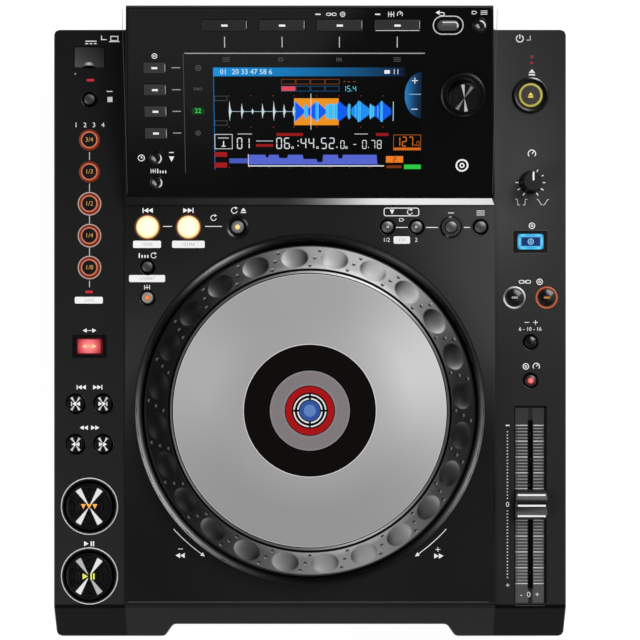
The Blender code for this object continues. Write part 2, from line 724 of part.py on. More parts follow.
def case_corners():
    """The case's plan, anticlockwise, with the two pods that flank the disc slot."""
    slant = POD_INNER + POD_SLANT
    right = [(slant, FRONT_Y), (BODY_HALF, FRONT_Y), (BODY_HALF, REAR_Y)]
    left = [(-BODY_HALF, REAR_Y), (-BODY_HALF, FRONT_Y), (-slant, FRONT_Y), (-POD_INNER, MID_FRONT_Y)]
    return [(POD_INNER, MID_FRONT_Y)] + right + left


def case_block(name, margin, low, high, slope_drop):
    """The case's plan as a block whose front is sliced off along the sloping front."""
    radius = max(CORNER_RADIUS - margin, CLEARANCE)
    block = prism(name, rounded(inset(case_corners(), margin), radius), low, high)
    bm = bmesh.new()
    bm.from_mesh(block.data)
    point = Vector((0.0, COLUMN_FRONT_Y, SIDE_TOP_Z - slope_drop / math.cos(FRONT_SLOPE)))
    normal = Vector((0.0, -math.sin(FRONT_SLOPE), math.cos(FRONT_SLOPE)))
    bmesh.ops.bisect_plane(bm, geom=bm.verts[:] + bm.edges[:] + bm.faces[:], plane_co=point,
                           plane_no=normal, clear_outer=True)
    open_edges = [edge for edge in bm.edges if edge.is_boundary]
    bmesh.ops.holes_fill(bm, edges=open_edges, sides=0)
    bmesh.ops.recalc_face_normals(bm, faces=bm.faces)
    bm.to_mesh(block.data)
    bm.free()
    return block


def soften(item, low, width):
    """Bevel the sharp upper edges of a block that lie above one height."""
    bm = bmesh.new()
    bm.from_mesh(item.data)
    upward = math.cos(math.pi / 3)
    edges = [edge for edge in bm.edges
             if min(vert.co.z for vert in edge.verts) > low
             and edge.calc_face_angle(0.0) > SHARP_ANGLE
             and any(face.normal.z > upward for face in edge.link_faces)]
    bmesh.ops.bevel(bm, geom=edges, offset=width, segments=1, profile=0.5, affect="EDGES")
    bm.to_mesh(item.data)
    bm.free()


def jog_well():
    """The cup that the jog turns in, with its raised surround and the hollow spindle."""
    floor_under = WELL_FLOOR_Z - WALL
    lip_top = DECK_TOP_Z + SURROUND_RISE
    cup_outer = WELL_RADIUS + WALL
    eye = (SPINDLE_BORE + SPINDLE_RADIUS) / 2
    cup_profile = [
        (eye, floor_under), (eye, WELL_FLOOR_Z), (WELL_RADIUS, WELL_FLOOR_Z),
        (WELL_RADIUS, DECK_TOP_Z + SURROUND_RISE / 3), (WELL_RADIUS + SURROUND_INNER_SLOPE, lip_top),
        (SURROUND_RADIUS - SURROUND_OUTER_SLOPE, lip_top), (SURROUND_RADIUS, DECK_TOP_Z - CLEARANCE),
        (cup_outer, DECK_TOP_Z - WALL / 2), (cup_outer, floor_under),
    ]
    cup = revolve("jog_well", cup_profile, PLATE_STEPS, at(0.0, JOG_Y, 0.0))
    spindle_top = WEB_TOP_Z + CLEARANCE
    shoulder = SPINDLE_RADIUS + CLEARANCE + HUB_WALL
    foot = floor_under - SHEET
    spindle_profile = [
        (SPINDLE_BORE, foot), (shoulder, foot), (shoulder, SHOULDER_Z), (SPINDLE_RADIUS, SHOULDER_Z),
        (SPINDLE_RADIUS, spindle_top), (SPINDLE_BORE, spindle_top),
    ]
    join(cup, revolve("spindle", spindle_profile, HUB_STEPS, at(0.0, JOG_Y, 0.0)))
    return cup


def control_board_bosses():
    """Where the bosses stand that hold the control board under the top cover."""
    x = BODY_HALF - WALL - BOSS_RADIUS * 2
    rows = (REAR_Y - CONTROL_BOSS_SETBACK, DIRECTION_Y + DIRECTION_DEPTH, (PLAY_Y + CUE_Y) / 2)
    return [(side * x, row) for side in (-1, 1) for row in rows]


def usb_centre():
    """The middle of the USB well in plan."""
    return (-COLUMN_X, REAR_Y - USB_SETBACK)


def fader_centre():
    """The middle of the tempo fader's slot in plan."""
    return (COLUMN_X, COLUMN_FRONT_Y + FADER_SETBACK)


def build_top_cover(buttons):
    """The moulded upper case: side columns, raised deck, jog well, pods and USB well."""
    cover = case_block("top_cover", 0.0, PARTING_Z + CLEARANCE, SIDE_TOP_Z, 0.0)
    soften(cover, PARTING_Z + WALL, EDGE_BEVEL)
    deck = box("deck", (-DECK_HALF, DECK_FRONT_Y, SIDE_TOP_Z - WALL / 2), (DECK_HALF, REAR_Y, DECK_TOP_Z))
    soften(deck, SIDE_TOP_Z, DECK_BEVEL)
    join(cover, deck)
    cavity = case_block("cavity", WALL, 0.0, PANEL_UNDER_Z, WALL)
    cut(cover, cavity)
    rear = box("rear", (-BODY_HALF + WALL, REAR_Y - 2 * WALL, 0.0),
               (BODY_HALF - WALL, REAR_Y + CUT, PANEL_UNDER_Z))
    cut(cover, rear)
    cut(cover, prism("jog_hole", circle(WELL_RADIUS + WALL / 2, WHEEL_STEPS, (0.0, JOG_Y)),
                     PARTING_Z, DECK_TOP_Z + CUT))
    join(cover, jog_well())
    cut_slot(cover)
    add_collars(cover)
    cut_fader_pocket(cover)
    add_usb_well(cover)
    for x, y in control_board_bosses():
        join(cover, prism("boss", circle(BOSS_RADIUS, POST_STEPS, (x, y)),
                          CONTROL_BOARD_Z + CLEARANCE, PANEL_UNDER_Z + WALL / 2))
    for button in buttons:
        cut(cover, button.hole(UPPER_HEIGHT / 2))
    speed = speed_knob_place()
    cut(cover, prism("shaft_hole", circle(SHAFT_RADIUS + CLEARANCE, SMALL_STEPS, speed),
                     CONTROL_BOARD_Z, SIDE_TOP_Z + CUT))
    return dress(cover, (0.022, 0.022, 0.024), 0.5)


def cut_slot(cover):
    """Open the front wall for the disc, down to the parting line where the lower case rises."""
    top = DISC_HEIGHT + SLOT_HEIGHT / 2
    cut(cover, box("slot", (-SLOT_WIDTH / 2, MID_FRONT_Y - CUT, 0.0),
                   (SLOT_WIDTH / 2, MID_FRONT_Y + WALL + CUT, top)))


def add_collars(cover):
    """Raised rings: the guards of eject and delete, and the thin rings of cue and play."""
    root = SIDE_TOP_Z - WALL / 2
    collars = [
        (COLUMN_X, EJECT_Y, EJECT_COLLAR, root, SIDE_TOP_Z + COLLAR_RISE, LARGE_STEPS),
        (DELETE_X, LOOP_ROW_Y, GUARD_COLLAR, root, DECK_TOP_Z + COLLAR_RISE, MEDIUM_STEPS),
        (-COLUMN_X, PLAY_Y, PLAY_RING, root, SIDE_TOP_Z + RING_RISE, LARGE_STEPS),
        (-COLUMN_X, CUE_Y, PLAY_RING, root, SIDE_TOP_Z + RING_RISE, LARGE_STEPS),
    ]
    for x, y, radius, low, high, steps in collars:
        shoulder = high - RING_RISE
        sections = [(circle(radius, steps, (x, y)), low), (circle(radius, steps, (x, y)), shoulder),
                    (circle(radius - RING_RISE, steps, (x, y)), high)]
        join(cover, loft("collar", sections))


def cut_fader_pocket(cover):
    """The shallow pocket around the tempo fader and the slot in its middle."""
    x, y = fader_centre()
    pocket = rectangle(FADER_POCKET_WIDTH, FADER_POCKET_LENGTH, (x, y), FADER_POCKET_DEPTH)
    slot_length = 2 * FADER_TRAVEL + FADER_STEM_LENGTH + 2 * CLEARANCE
    cut(cover, prism("pocket", pocket, SIDE_TOP_Z - FADER_POCKET_DEPTH, SIDE_TOP_Z + CUT))
    cut(cover, prism("slot", rectangle(FADER_SLOT_WIDTH, slot_length, (x, y)),
                     CONTROL_BOARD_Z, SIDE_TOP_Z + CUT))


def add_usb_well(cover):
    """The open well with a ledge on either side for the door and a crescent for the thumb."""
    x, y = usb_centre()
    depth = USB_DOOR_DEPTH + 2 * CLEARANCE
    door = rectangle(USB_DOOR_WIDTH + 2 * CLEARANCE, depth, (x, y))
    ledge = rectangle(USB_DOOR_WIDTH - 2 * USB_WELL_LEDGE, depth, (x, y))
    outer = rectangle(USB_DOOR_WIDTH + 2 * USB_WELL_LEDGE, depth + 2 * USB_WELL_LEDGE, (x, y))
    join(cover, prism("well", outer, CONTROL_BOARD_Z + CLEARANCE, SIDE_TOP_Z - WALL / 2))
    seat = SIDE_TOP_Z - USB_DOOR_THICKNESS - CLEARANCE
    cut(cover, prism("well_hole", ledge, PARTING_Z, SIDE_TOP_Z + CUT))
    cut(cover, prism("door_seat", door, seat, SIDE_TOP_Z + CUT))
    notch_y = y - USB_DOOR_DEPTH / 2 - THUMB_NOTCH_REACH + THUMB_NOTCH_RADIUS
    notch = circle(THUMB_NOTCH_RADIUS, MEDIUM_STEPS, (x, notch_y))
    cut(cover, prism("thumb", notch, SIDE_TOP_Z - USB_DOOR_THICKNESS / 2, SIDE_TOP_Z + CUT))


def build_lower_case():
    """The folded steel tray with its rear panel, the slot's lower lip, posts and feet."""
    case = case_block("lower_case", 0.0, FOOT_HEIGHT, PARTING_Z, 0.0)
    panel_x = BODY_HALF - WALL - CLEARANCE
    join(case, box("rear_panel", (-panel_x, REAR_Y - SHEET, FOOT_HEIGHT),
                   (panel_x, REAR_Y, PANEL_UNDER_Z - CLEARANCE)))
    lip_x = SLOT_WIDTH / 2 - CLEARANCE
    join(case, box("lip", (-lip_x, MID_FRONT_Y, FOOT_HEIGHT),
                   (lip_x, MID_FRONT_Y + SHEET, DISC_HEIGHT - SLOT_HEIGHT / 2)))
    cut(case, case_block("inside", SHEET, TRAY_FLOOR_Z, PARTING_Z + CUT, 0.0))
    for x, y, top in post_places():
        join(case, prism("post", circle(BOSS_RADIUS, POST_STEPS, (x, y)), TRAY_FLOOR_Z - SHEET / 2, top))
    foot_x = BODY_HALF - FOOT_INSET
    for x in (-foot_x, foot_x):
        for y in (FRONT_Y + FOOT_INSET, REAR_Y - FOOT_INSET):
            foot = [(circle(FOOT_RADIUS - SHEET, SMALL_STEPS, (x, y)), 0.0),
                    (circle(FOOT_RADIUS, SMALL_STEPS, (x, y)), SHEET),
                    (circle(FOOT_RADIUS, SMALL_STEPS, (x, y)), FOOT_HEIGHT + SHEET / 2)]
            join(case, loft("foot", foot))
    for cutter in rear_cutters():
        cut(case, cutter)
    return dress(case, (0.03, 0.03, 0.032), 0.55, 0.6)


def post_places():
    """The posts on the tray: where they stand and how high they reach."""
    board_top = LOW_BOARD_Z - CLEARANCE
    drive_top = DRIVE_BASE_Z - CLEARANCE
    edge = BOSS_RADIUS * 2
    main_front = REAR_Y - SHEET - CLEARANCE - MAIN_BOARD_LENGTH + edge
    power_front = REAR_Y - SHEET - CLEARANCE - POWER_BOARD_LENGTH + edge
    rear = REAR_Y - SHEET - LAN_DEPTH - INLET_DEPTH
    left = -BODY_HALF + SHEET + CONTROL_BOARD_MARGIN + edge
    right = BODY_HALF - SHEET - CONTROL_BOARD_MARGIN - edge
    posts = [(x, y, board_top) for x in (left, MAIN_BOARD_RIGHT - edge) for y in (main_front, rear)]
    posts += [(x, y, board_top) for x in (POWER_BOARD_LEFT + edge, right) for y in (power_front, rear)]
    for x in (-DRIVE_WIDTH / 2 + edge, DRIVE_WIDTH / 2 - edge):
        for y in (DRIVE_FRONT_Y + edge, DRIVE_FRONT_Y + DRIVE_LENGTH - edge):
            posts.append((x, y, drive_top))
    return posts


def socket_level():
    """Height of the phono sockets' middle above the table."""
    return LOW_BOARD_Z + BOARD + PHONO_BLOCK / 2


def switch_level():
    """Height of the power switch's middle above the table."""
    return LOW_BOARD_Z + BOARD + INLET_HEIGHT / 2


def rear_cutters():
    """The holes of the rear panel, each a clearance wider than what looks out of it."""
    low = REAR_Y - SHEET * 2
    high = REAR_Y + CUT
    base = LOW_BOARD_Z + BOARD
    cutters = []
    for index in range(3):
        spot = (PHONO_LEFT_X - index * PHONO_PITCH, socket_level())
        cutters.append(along_y("phono_hole", circle(PHONO_RADIUS + CLEARANCE, SMALL_STEPS, spot), low, high))
    for x, width, height in ((LAN_X, LAN_WIDTH, LAN_HEIGHT), (USB_PORT_X, USB_PORT_WIDTH, USB_PORT_HEIGHT),
                             (INLET_X, INLET_WIDTH, INLET_HEIGHT)):
        tall = height + BOARD / 2
        spot = (x, base + height - tall / 2)
        cutters.append(along_y("socket_hole", rectangle(width + 2 * CLEARANCE, tall + 2 * CLEARANCE, spot),
                               low, high))
    spot = (SWITCH_X, switch_level())
    cutters.append(along_y("switch_hole", rectangle(SWITCH_WIDTH + 2 * CLEARANCE,
                                                    SWITCH_HEIGHT + 2 * CLEARANCE, spot), low, high))
    return cutters


def build_main_board():
    """The main circuit board with the sockets that its rear edge carries."""
    rear = REAR_Y - SHEET - CLEARANCE
    left = -BODY_HALF + SHEET + CONTROL_BOARD_MARGIN
    top = LOW_BOARD_Z + BOARD
    board = box("main_board", (left, rear - MAIN_BOARD_LENGTH, LOW_BOARD_Z), (MAIN_BOARD_RIGHT, rear, top))
    for index in range(3):
        x = PHONO_LEFT_X - index * PHONO_PITCH
        half = PHONO_BLOCK / 2
        join(board, box("block", (x - half, rear - PHONO_BLOCK, top - BOARD / 2),
                        (x + half, rear, top + PHONO_BLOCK)))
        join(board, along_y("barrel", circle(PHONO_RADIUS, SMALL_STEPS, (x, socket_level())),
                            rear - PHONO_BLOCK / 2, rear + PHONO_REACH))
        cut(board, along_y("bore", circle(PHONO_BORE, SMALL_STEPS // 2, (x, socket_level())),
                           rear - CLEARANCE, rear + PHONO_REACH + CUT))
    face = REAR_Y
    add_socket(board, LAN_X, LAN_WIDTH, LAN_HEIGHT, LAN_DEPTH, LAN_WALL, face)
    add_socket(board, USB_PORT_X, USB_PORT_WIDTH, USB_PORT_HEIGHT, LAN_DEPTH, USB_PORT_WALL, face)
    post_x = USB_PORT_POST_WIDTH / 2
    post_z = USB_PORT_POST_HEIGHT / 2
    middle = top + USB_PORT_HEIGHT / 2
    join(board, box("post", (USB_PORT_X - post_x, face - LAN_DEPTH, middle - post_z),
                    (USB_PORT_X + post_x, face - SHEET, middle + post_z)))
    return dress(board, (0.02, 0.12, 0.06), 0.5)


def add_socket(board, x, width, height, depth, wall, face):
    """A square socket on a board's rear edge, open to the rear."""
    top = LOW_BOARD_Z + BOARD
    join(board, box("shell", (x - width / 2, face - depth, top - BOARD / 2),
                    (x + width / 2, face, top + height)))
    cut(board, box("pocket", (x - width / 2 + wall, face - depth + wall, top + wall),
                   (x + width / 2 - wall, face + CUT, top + height - wall)))


def build_power_board():
    """The power supply with its transformer, the mains inlet and the switch body."""
    rear = REAR_Y - SHEET - CLEARANCE
    right = BODY_HALF - SHEET - CONTROL_BOARD_MARGIN
    top = LOW_BOARD_Z + BOARD
    board = box("power_board", (POWER_BOARD_LEFT, rear - POWER_BOARD_LENGTH, LOW_BOARD_Z), (right, rear, top))
    half = TRANSFORMER_SIZE / 2
    middle_x = (POWER_BOARD_LEFT + right) / 2
    middle_y = rear - POWER_BOARD_LENGTH / 2
    join(board, box("transformer", (middle_x - half, middle_y - half, top - BOARD / 2),
                    (middle_x + half, middle_y + half, top + TRANSFORMER_HEIGHT)))
    add_socket(board, INLET_X, INLET_WIDTH, INLET_HEIGHT, INLET_DEPTH, INLET_WALL, REAR_Y)
    for side in (-1, 1):
        spot = (INLET_X + side * INLET_PIN_SPREAD, top + INLET_HEIGHT / 2)
        join(board, along_y("pin", circle(INLET_PIN_RADIUS, SMALL_STEPS // 2, spot),
                            REAR_Y - INLET_DEPTH + INLET_WALL / 2, REAR_Y - INLET_WALL))
    body_front = REAR_Y - SHEET - INLET_DEPTH
    join(board, box("switch_body", (SWITCH_X - SWITCH_WIDTH / 2, body_front, top - BOARD / 2),
                    (SWITCH_X + SWITCH_WIDTH / 2, switch_rear() - SWITCH_TRAVEL - CLEARANCE,
                     switch_level() + SWITCH_HEIGHT / 2)))
    return dress(board, (0.16, 0.11, 0.04), 0.5)


def switch_rear():
    """Where the power switch's own inner end lies at rest."""
    return REAR_Y - SHEET - SWITCH_PROUD


def build_power_switch():
    """The push switch for the mains at the rear."""
    outline = square_cap(SWITCH_WIDTH, SWITCH_HEIGHT)
    sections = [(outline(0.0), switch_rear() - REAR_Y), (outline(0.0), SWITCH_PROUD - SWITCH_CHAMFER),
                (outline(SWITCH_CHAMFER), SWITCH_PROUD)]
    turn = Matrix(((1, 0, 0, 0), (0, 0, 1, 0), (0, 1, 0, 0), (0, 0, 0, 1)))
    item = loft("power_switch", sections, turn)
    settle(item)
    bm = bmesh.new()
    bm.from_mesh(item.data)
    bmesh.ops.recalc_face_normals(bm, faces=bm.faces)
    bm.to_mesh(item.data)
    bm.free()
    item.location = (SWITCH_X, REAR_Y, switch_level())
    return dress(item, (0.03, 0.03, 0.03), 0.4)


def build_control_board():
    """The board under the buttons, cut away round the jog well, with the upright USB socket."""
    edge = BODY_HALF - WALL - BOARD_GAP
    rear = REAR_Y - SHEET - CONTROL_BOARD_MARGIN
    front = COLUMN_FRONT_Y + CONTROL_BOARD_MARGIN
    top = CONTROL_BOARD_Z
    board = box("control_board", (-edge, front, top - BOARD), (edge, rear, top))
    cut(board, prism("well_gap", circle(WELL_RADIUS + WALL + BOARD_GAP, LARGE_STEPS * 2, (0.0, JOG_Y)),
                     top - CUT, top + CUT))
    x, y = usb_centre()
    half_x = USB_SOCKET_WIDTH / 2
    half_y = USB_SOCKET_DEPTH / 2
    join(board, box("socket", (x - half_x, y - half_y, top - USB_SOCKET_HEIGHT + CLEARANCE),
                    (x + half_x, y + half_y, top + CLEARANCE)))
    inner_x = half_x - USB_SOCKET_WALL
    inner_y = half_y - USB_SOCKET_WALL
    floor = top - USB_SOCKET_HEIGHT + WALL
    cut(board, box("socket_bore", (x - inner_x, y - inner_y, floor), (x + inner_x, y + inner_y, top + CUT)))
    tongue_x = inner_x - CLEARANCE
    tongue_y = y + inner_y - CLEARANCE
    join(board, box("tongue", (x - tongue_x, tongue_y - USB_TONGUE, floor - BOARD / 2),
                    (x + tongue_x, tongue_y, top - SHEET)))
    return dress(board, (0.02, 0.1, 0.05), 0.5)


def display_profile(shell):
    """The display housing's side view in (y, z), inside or outside of its wall."""
    slope = math.tan(DISPLAY_TILT)
    front = DISPLAY_FRONT_Y
    panel_z = DISPLAY_BASE_Z + DISPLAY_FRONT_RISE
    if shell:
        start = front + DISPLAY_CAVITY_START
        rear = DISPLAY_REAR_Y - DISPLAY_SHELL
        drop = PANEL_BACKING / math.cos(DISPLAY_TILT)
        heights = [panel_z + (y - front - DISPLAY_CHAMFER) * slope - drop for y in (start, rear)]
        return [(start, DISPLAY_BASE_Z - CUT), (rear, DISPLAY_BASE_Z - CUT), (rear, heights[1]),
                (start, heights[0])]
    rear_z = panel_z + (DISPLAY_DEPTH - DISPLAY_CHAMFER) * slope
    top = [(DISPLAY_REAR_Y, rear_z)]
    corners = [(front + DISPLAY_CHAMFER, panel_z), (DISPLAY_REAR_Y, DISPLAY_BASE_Z)] + top
    arc = rounded(corners, DISPLAY_REAR_RADIUS, 3)[-4:]
    return [(front, DISPLAY_BASE_Z), (DISPLAY_REAR_Y, DISPLAY_BASE_Z)] + arc + \
           [(front + DISPLAY_CHAMFER, panel_z), (front, DISPLAY_BASE_Z + DISPLAY_LIP)]


def taper_sides(item, margin):
    """Slice both sides of a display solid, so that it narrows to the rear."""
    bm = bmesh.new()
    bm.from_mesh(item.data)
    lean = math.atan2(DISPLAY_TAPER, DISPLAY_DEPTH)
    for side in (-1, 1):
        point = Vector((side * (DECK_HALF - DISPLAY_LIP - margin), DISPLAY_FRONT_Y, 0.0))
        normal = Vector((side * math.cos(lean), math.sin(lean), 0.0))
        bmesh.ops.bisect_plane(bm, geom=bm.verts[:] + bm.edges[:] + bm.faces[:], plane_co=point,
                               plane_no=normal, clear_outer=True)
        open_edges = [edge for edge in bm.edges if edge.is_boundary]
        bmesh.ops.holes_fill(bm, edges=open_edges, sides=0)
    bmesh.ops.recalc_face_normals(bm, faces=bm.faces)
    bm.to_mesh(item.data)
    bm.free()


def window_outline(gap):
    """The glass's outline on the panel, a little narrower at the rear."""
    front_half = DECK_HALF - DISPLAY_LIP - WINDOW_MARGIN - gap
    rear_half = front_half - DISPLAY_TAPER
    near = WINDOW_MARGIN + gap
    far = PANEL_LENGTH - DISPLAY_REAR_RADIUS - gap
    return [(-front_half, near), (front_half, near), (rear_half, far), (-rear_half, far)]


def screen_outline(gap):
    """The screen's outline on the panel."""
    centre = ((SCREEN_LEFT + SCREEN_RIGHT) / 2, SCREEN_FRONT + SCREEN_DEPTH / 2)
    return rectangle(SCREEN_RIGHT - SCREEN_LEFT + 2 * gap, SCREEN_DEPTH + 2 * gap, centre)


def display_boss_places():
    """The four bosses that carry the display board."""
    rows = (DISPLAY_BOSS_FRONT, DISPLAY_BOSS_FRONT + DISPLAY_BOSS_PITCH)
    x = DECK_HALF - DISPLAY_BOSS_INSET
    return [(side * x, row) for side in (-1, 1) for row in rows]


def build_display_housing(buttons):
    """The wedge-shaped housing at the rear, open below, with a seat for the glass."""
    outer = settle(along_x("display_housing", display_profile(False), -DECK_HALF, DECK_HALF))
    taper_sides(outer, 0.0)
    inner = settle(along_x("inside", display_profile(True), -DECK_HALF, DECK_HALF))
    taper_sides(inner, DISPLAY_SHELL)
    cut(outer, inner)
    cut(outer, prism("seat", window_outline(-CLEARANCE), -WINDOW_THICKNESS - CLEARANCE, CUT, PANEL_FRAME))
    cut(outer, prism("screen_gap", screen_outline(CLEARANCE), -PANEL_BACKING - CUT, CUT, PANEL_FRAME))
    for x, row in display_boss_places():
        join(outer, prism("boss", circle(BOSS_RADIUS, POST_STEPS, (x, row)), DISPLAY_BOARD_W + CLEARANCE,
                          -PANEL_BACKING + DISPLAY_SHELL / 2, PANEL_FRAME))
    for button in buttons:
        cut(outer, button.hole(PANEL_BACKING + SHEET))
    cut(outer, prism("shaft_hole", circle(SHAFT_RADIUS + CLEARANCE, SMALL_STEPS, (SELECTOR_X, SELECTOR_ROW)),
                     -PANEL_BACKING - SHEET, CUT, PANEL_FRAME))
    return dress(outer, (0.02, 0.02, 0.022), 0.35)


def build_display_window(buttons):
    """The sheet of tinted glass over the whole display panel."""
    window = prism("display_window", window_outline(0.0), -WINDOW_THICKNESS, 0.0, PANEL_FRAME)
    for button in buttons:
        cut(window, button.hole(WINDOW_THICKNESS + SHEET))
    cut(window, prism("shaft_hole", circle(SHAFT_RADIUS + CLEARANCE, SMALL_STEPS, (SELECTOR_X, SELECTOR_ROW)),
                      -WINDOW_THICKNESS - SHEET, CUT, PANEL_FRAME))
    return dress(window, (0.008, 0.008, 0.01), 0.05)


def build_display_board():
    """The display's circuit board with the screen module standing on it."""
    half = DECK_HALF - DISPLAY_LIP - DISPLAY_TAPER - DISPLAY_SHELL - BOARD_GAP
    centre_row = (DISPLAY_BOARD_START + PANEL_LENGTH - DISPLAY_BOARD_MARGIN) / 2
    length = PANEL_LENGTH - DISPLAY_BOARD_MARGIN - DISPLAY_BOARD_START
    board = prism("display_board", rectangle(2 * half, length, (0.0, centre_row)),
                  DISPLAY_BOARD_W - BOARD, DISPLAY_BOARD_W, PANEL_FRAME)
    join(board, prism("screen", screen_outline(0.0), DISPLAY_BOARD_W - BOARD / 2,
                      -WINDOW_THICKNESS - CLEARANCE, PANEL_FRAME))
    return dress(board, (0.05, 0.09, 0.2), 0.4)


def dimple_cutters():
    """The finger dimples of the rim: shallow oval bowls in a ring, as one mesh of closed bowls."""
    bm = bmesh.new()
    steps = DIMPLE_STEPS
    ring = JOG_RADIUS - JOG_EDGE - JOG_RING_WIDTH / 2
    levels = ((DIMPLE_BOWL_SHARE, DIMPLE_BOWL_DEPTH), (1.0, 0.0), (1.0, -DIMPLE_DEPTH))
    for index in range(DIMPLE_COUNT):
        angle = DIMPLE_START + 2 * math.pi * index / DIMPLE_COUNT
        outward = Vector((math.cos(angle), math.sin(angle), 0.0))
        tangent = Vector((-outward.y, outward.x, 0.0))
        centre = outward * ring + Vector((0.0, 0.0, RIM_TOP_Z))
        bottom = bm.verts.new(centre - Vector((0.0, 0.0, DIMPLE_DEPTH)))
        rings = []
        for share, depth in levels:
            verts = []
            for step in range(steps):
                turn = 2 * math.pi * step / steps
                offset = tangent * (share * DIMPLE_LENGTH / 2 * math.cos(turn))
                offset += outward * (share * DIMPLE_WIDTH / 2 * math.sin(turn))
                verts.append(bm.verts.new(centre + offset - Vector((0.0, 0.0, depth))))
            rings.append(verts)
        for step in range(steps):
            bm.faces.new((bottom, rings[0][step], rings[0][step - 1]))
            for low, high in zip(rings, rings[1:]):
                bm.faces.new((low[step - 1], low[step], high[step], high[step - 1]))
        bm.faces.new(rings[-1])
    return to_object(bm, "dimples", at(0.0, JOG_Y, 0.0))


def build_jog_rim():
    """The turning jog wheel: hub, web, skirt and the dimpled finger ring."""
    groove = JOG_RADIUS - JOG_EDGE - JOG_RING_WIDTH
    bore = SPINDLE_RADIUS + CLEARANCE
    hub = bore + HUB_WALL
    skirt_bottom = WELL_FLOOR_Z + SKIRT_LIFT
    web_under = WEB_TOP_Z - WEB_THICKNESS
    turns = [math.radians(degrees) for degrees in (0.0, 45.0, 90.0)]
    shoulder = [(JOG_RADIUS - JOG_EDGE * (1 - math.cos(turn)),
                 RIM_TOP_Z - 2 * JOG_EDGE * (1 - math.sin(turn))) for turn in turns]
    ring_profile = [
        (groove, web_under), (JOG_RADIUS - JOG_SKIRT, web_under), (JOG_RADIUS - JOG_SKIRT, skirt_bottom),
        (JOG_RADIUS, skirt_bottom), *shoulder, (groove, RIM_TOP_Z),
    ]
    rim = revolve("jog_rim", ring_profile, WHEEL_STEPS, at(0.0, JOG_Y, 0.0))
    web_edge = groove + JOG_RING_WIDTH / 3
    hub_profile = [
        (bore, SHOULDER_Z + CLEARANCE), (hub, SHOULDER_Z + CLEARANCE), (hub, web_under),
        (web_edge, web_under), (web_edge, WEB_TOP_Z), (bore, WEB_TOP_Z),
    ]
    join(rim, revolve("hub", hub_profile, HUB_STEPS, at(0.0, JOG_Y, 0.0)))
    cut(rim, dimple_cutters())
    return dress(rim, (0.16, 0.16, 0.165), 0.3, 0.8)


def build_jog_plate():
    """The touch plate on the web, with a chamfered edge and an eye for the fixed display."""
    outer = JOG_RADIUS - JOG_EDGE - JOG_RING_WIDTH - GROOVE_WIDTH
    eye = LABEL_RADIUS + CLEARANCE
    bottom = PLATE_TOP_Z - PLATE_THICKNESS
    profile = [(eye, bottom), (outer, bottom), (outer, PLATE_TOP_Z - GROOVE_DEPTH),
               (outer - PLATE_CHAMFER, PLATE_TOP_Z), (eye, PLATE_TOP_Z)]
    plate = revolve("jog_plate", profile, PLATE_STEPS, at(0.0, JOG_Y, 0.0))
    return dress(plate, (0.5, 0.5, 0.51), 0.3, 0.9)


def build_jog_display():
    """The round display in the middle, which stands still on the hollow spindle."""
    stem = SPINDLE_BORE - CLEARANCE
    bottom = WEB_TOP_Z + 2 * CLEARANCE
    profile = [(0.0, WELL_FLOOR_Z), (stem, WELL_FLOOR_Z), (stem, bottom), (LABEL_RADIUS, bottom),
               (LABEL_RADIUS, PLATE_TOP_Z), (0.0, PLATE_TOP_Z)]
    item = revolve("jog_display", profile, HUB_STEPS, at(0.0, JOG_Y, 0.0))
    return dress(item, (0.1, 0.1, 0.12), 0.2)


def build_drive_frame():
    """The slot drive's frame: a steel bay open to the front, with its motor and pickup sled."""
    half = DRIVE_WIDTH / 2
    rear = DRIVE_FRONT_Y + DRIVE_LENGTH
    frame = box("drive_frame", (-half, DRIVE_FRONT_Y, DRIVE_BASE_Z), (half, rear, DISC_HEIGHT + DRIVE_ABOVE))
    bay_half = (SLOT_WIDTH + WALL) / 2
    floor = DISC_HEIGHT - BAY_BELOW
    cut(frame, box("bay", (-bay_half, DRIVE_FRONT_Y - CUT, floor), (bay_half, rear - SHEET * 2,
                                                                   DISC_HEIGHT + BAY_ABOVE)))
    turntable_y = DRIVE_FRONT_Y + TURNTABLE_SETBACK
    join(frame, prism("motor", circle(MOTOR_RADIUS, MEDIUM_STEPS, (0.0, turntable_y)), floor - SHEET,
                      floor + MOTOR_RISE))
    join(frame, box("sled", (-SLED_WIDTH / 2, turntable_y + TURNTABLE_RADIUS + CUT, floor - SHEET),
                    (SLED_WIDTH / 2, turntable_y + TURNTABLE_RADIUS + CUT + SLED_WIDTH, floor + SLED_RISE)))
    axle = circle(AXLE_RADIUS + CLEARANCE, SMALL_STEPS, roller_place())
    cut(frame, settle(along_x("axle_hole", axle, -half - CUT, half + CUT)))
    return dress(frame, (0.4, 0.4, 0.41), 0.4, 0.9)


def roller_place():
    """The loading roller's axis in (y, z)."""
    floor = DISC_HEIGHT - BAY_BELOW
    return (DRIVE_FRONT_Y + ROLLER_SETBACK, floor + ROLLER_RADIUS + CLEARANCE * 2)


def build_disc_turntable():
    """The turntable that the disc sits on, with its centring hub."""
    base = DISC_HEIGHT - BAY_BELOW + MOTOR_RISE + CLEARANCE
    top = DISC_HEIGHT - SLOT_HEIGHT / 2 + CLEARANCE
    seat = (base + top) / 2
    hub = TURNTABLE_RADIUS / 2
    profile = [(0.0, 0.0), (TURNTABLE_RADIUS, 0.0), (TURNTABLE_RADIUS, seat - base), (hub, seat - base),
               (hub - (top - seat), top - base), (0.0, top - base)]
    place = at(0.0, DRIVE_FRONT_Y + TURNTABLE_SETBACK, base)
    item = revolve("disc_turntable", profile, MEDIUM_STEPS, place)
    return dress(item, (0.05, 0.05, 0.05), 0.5)


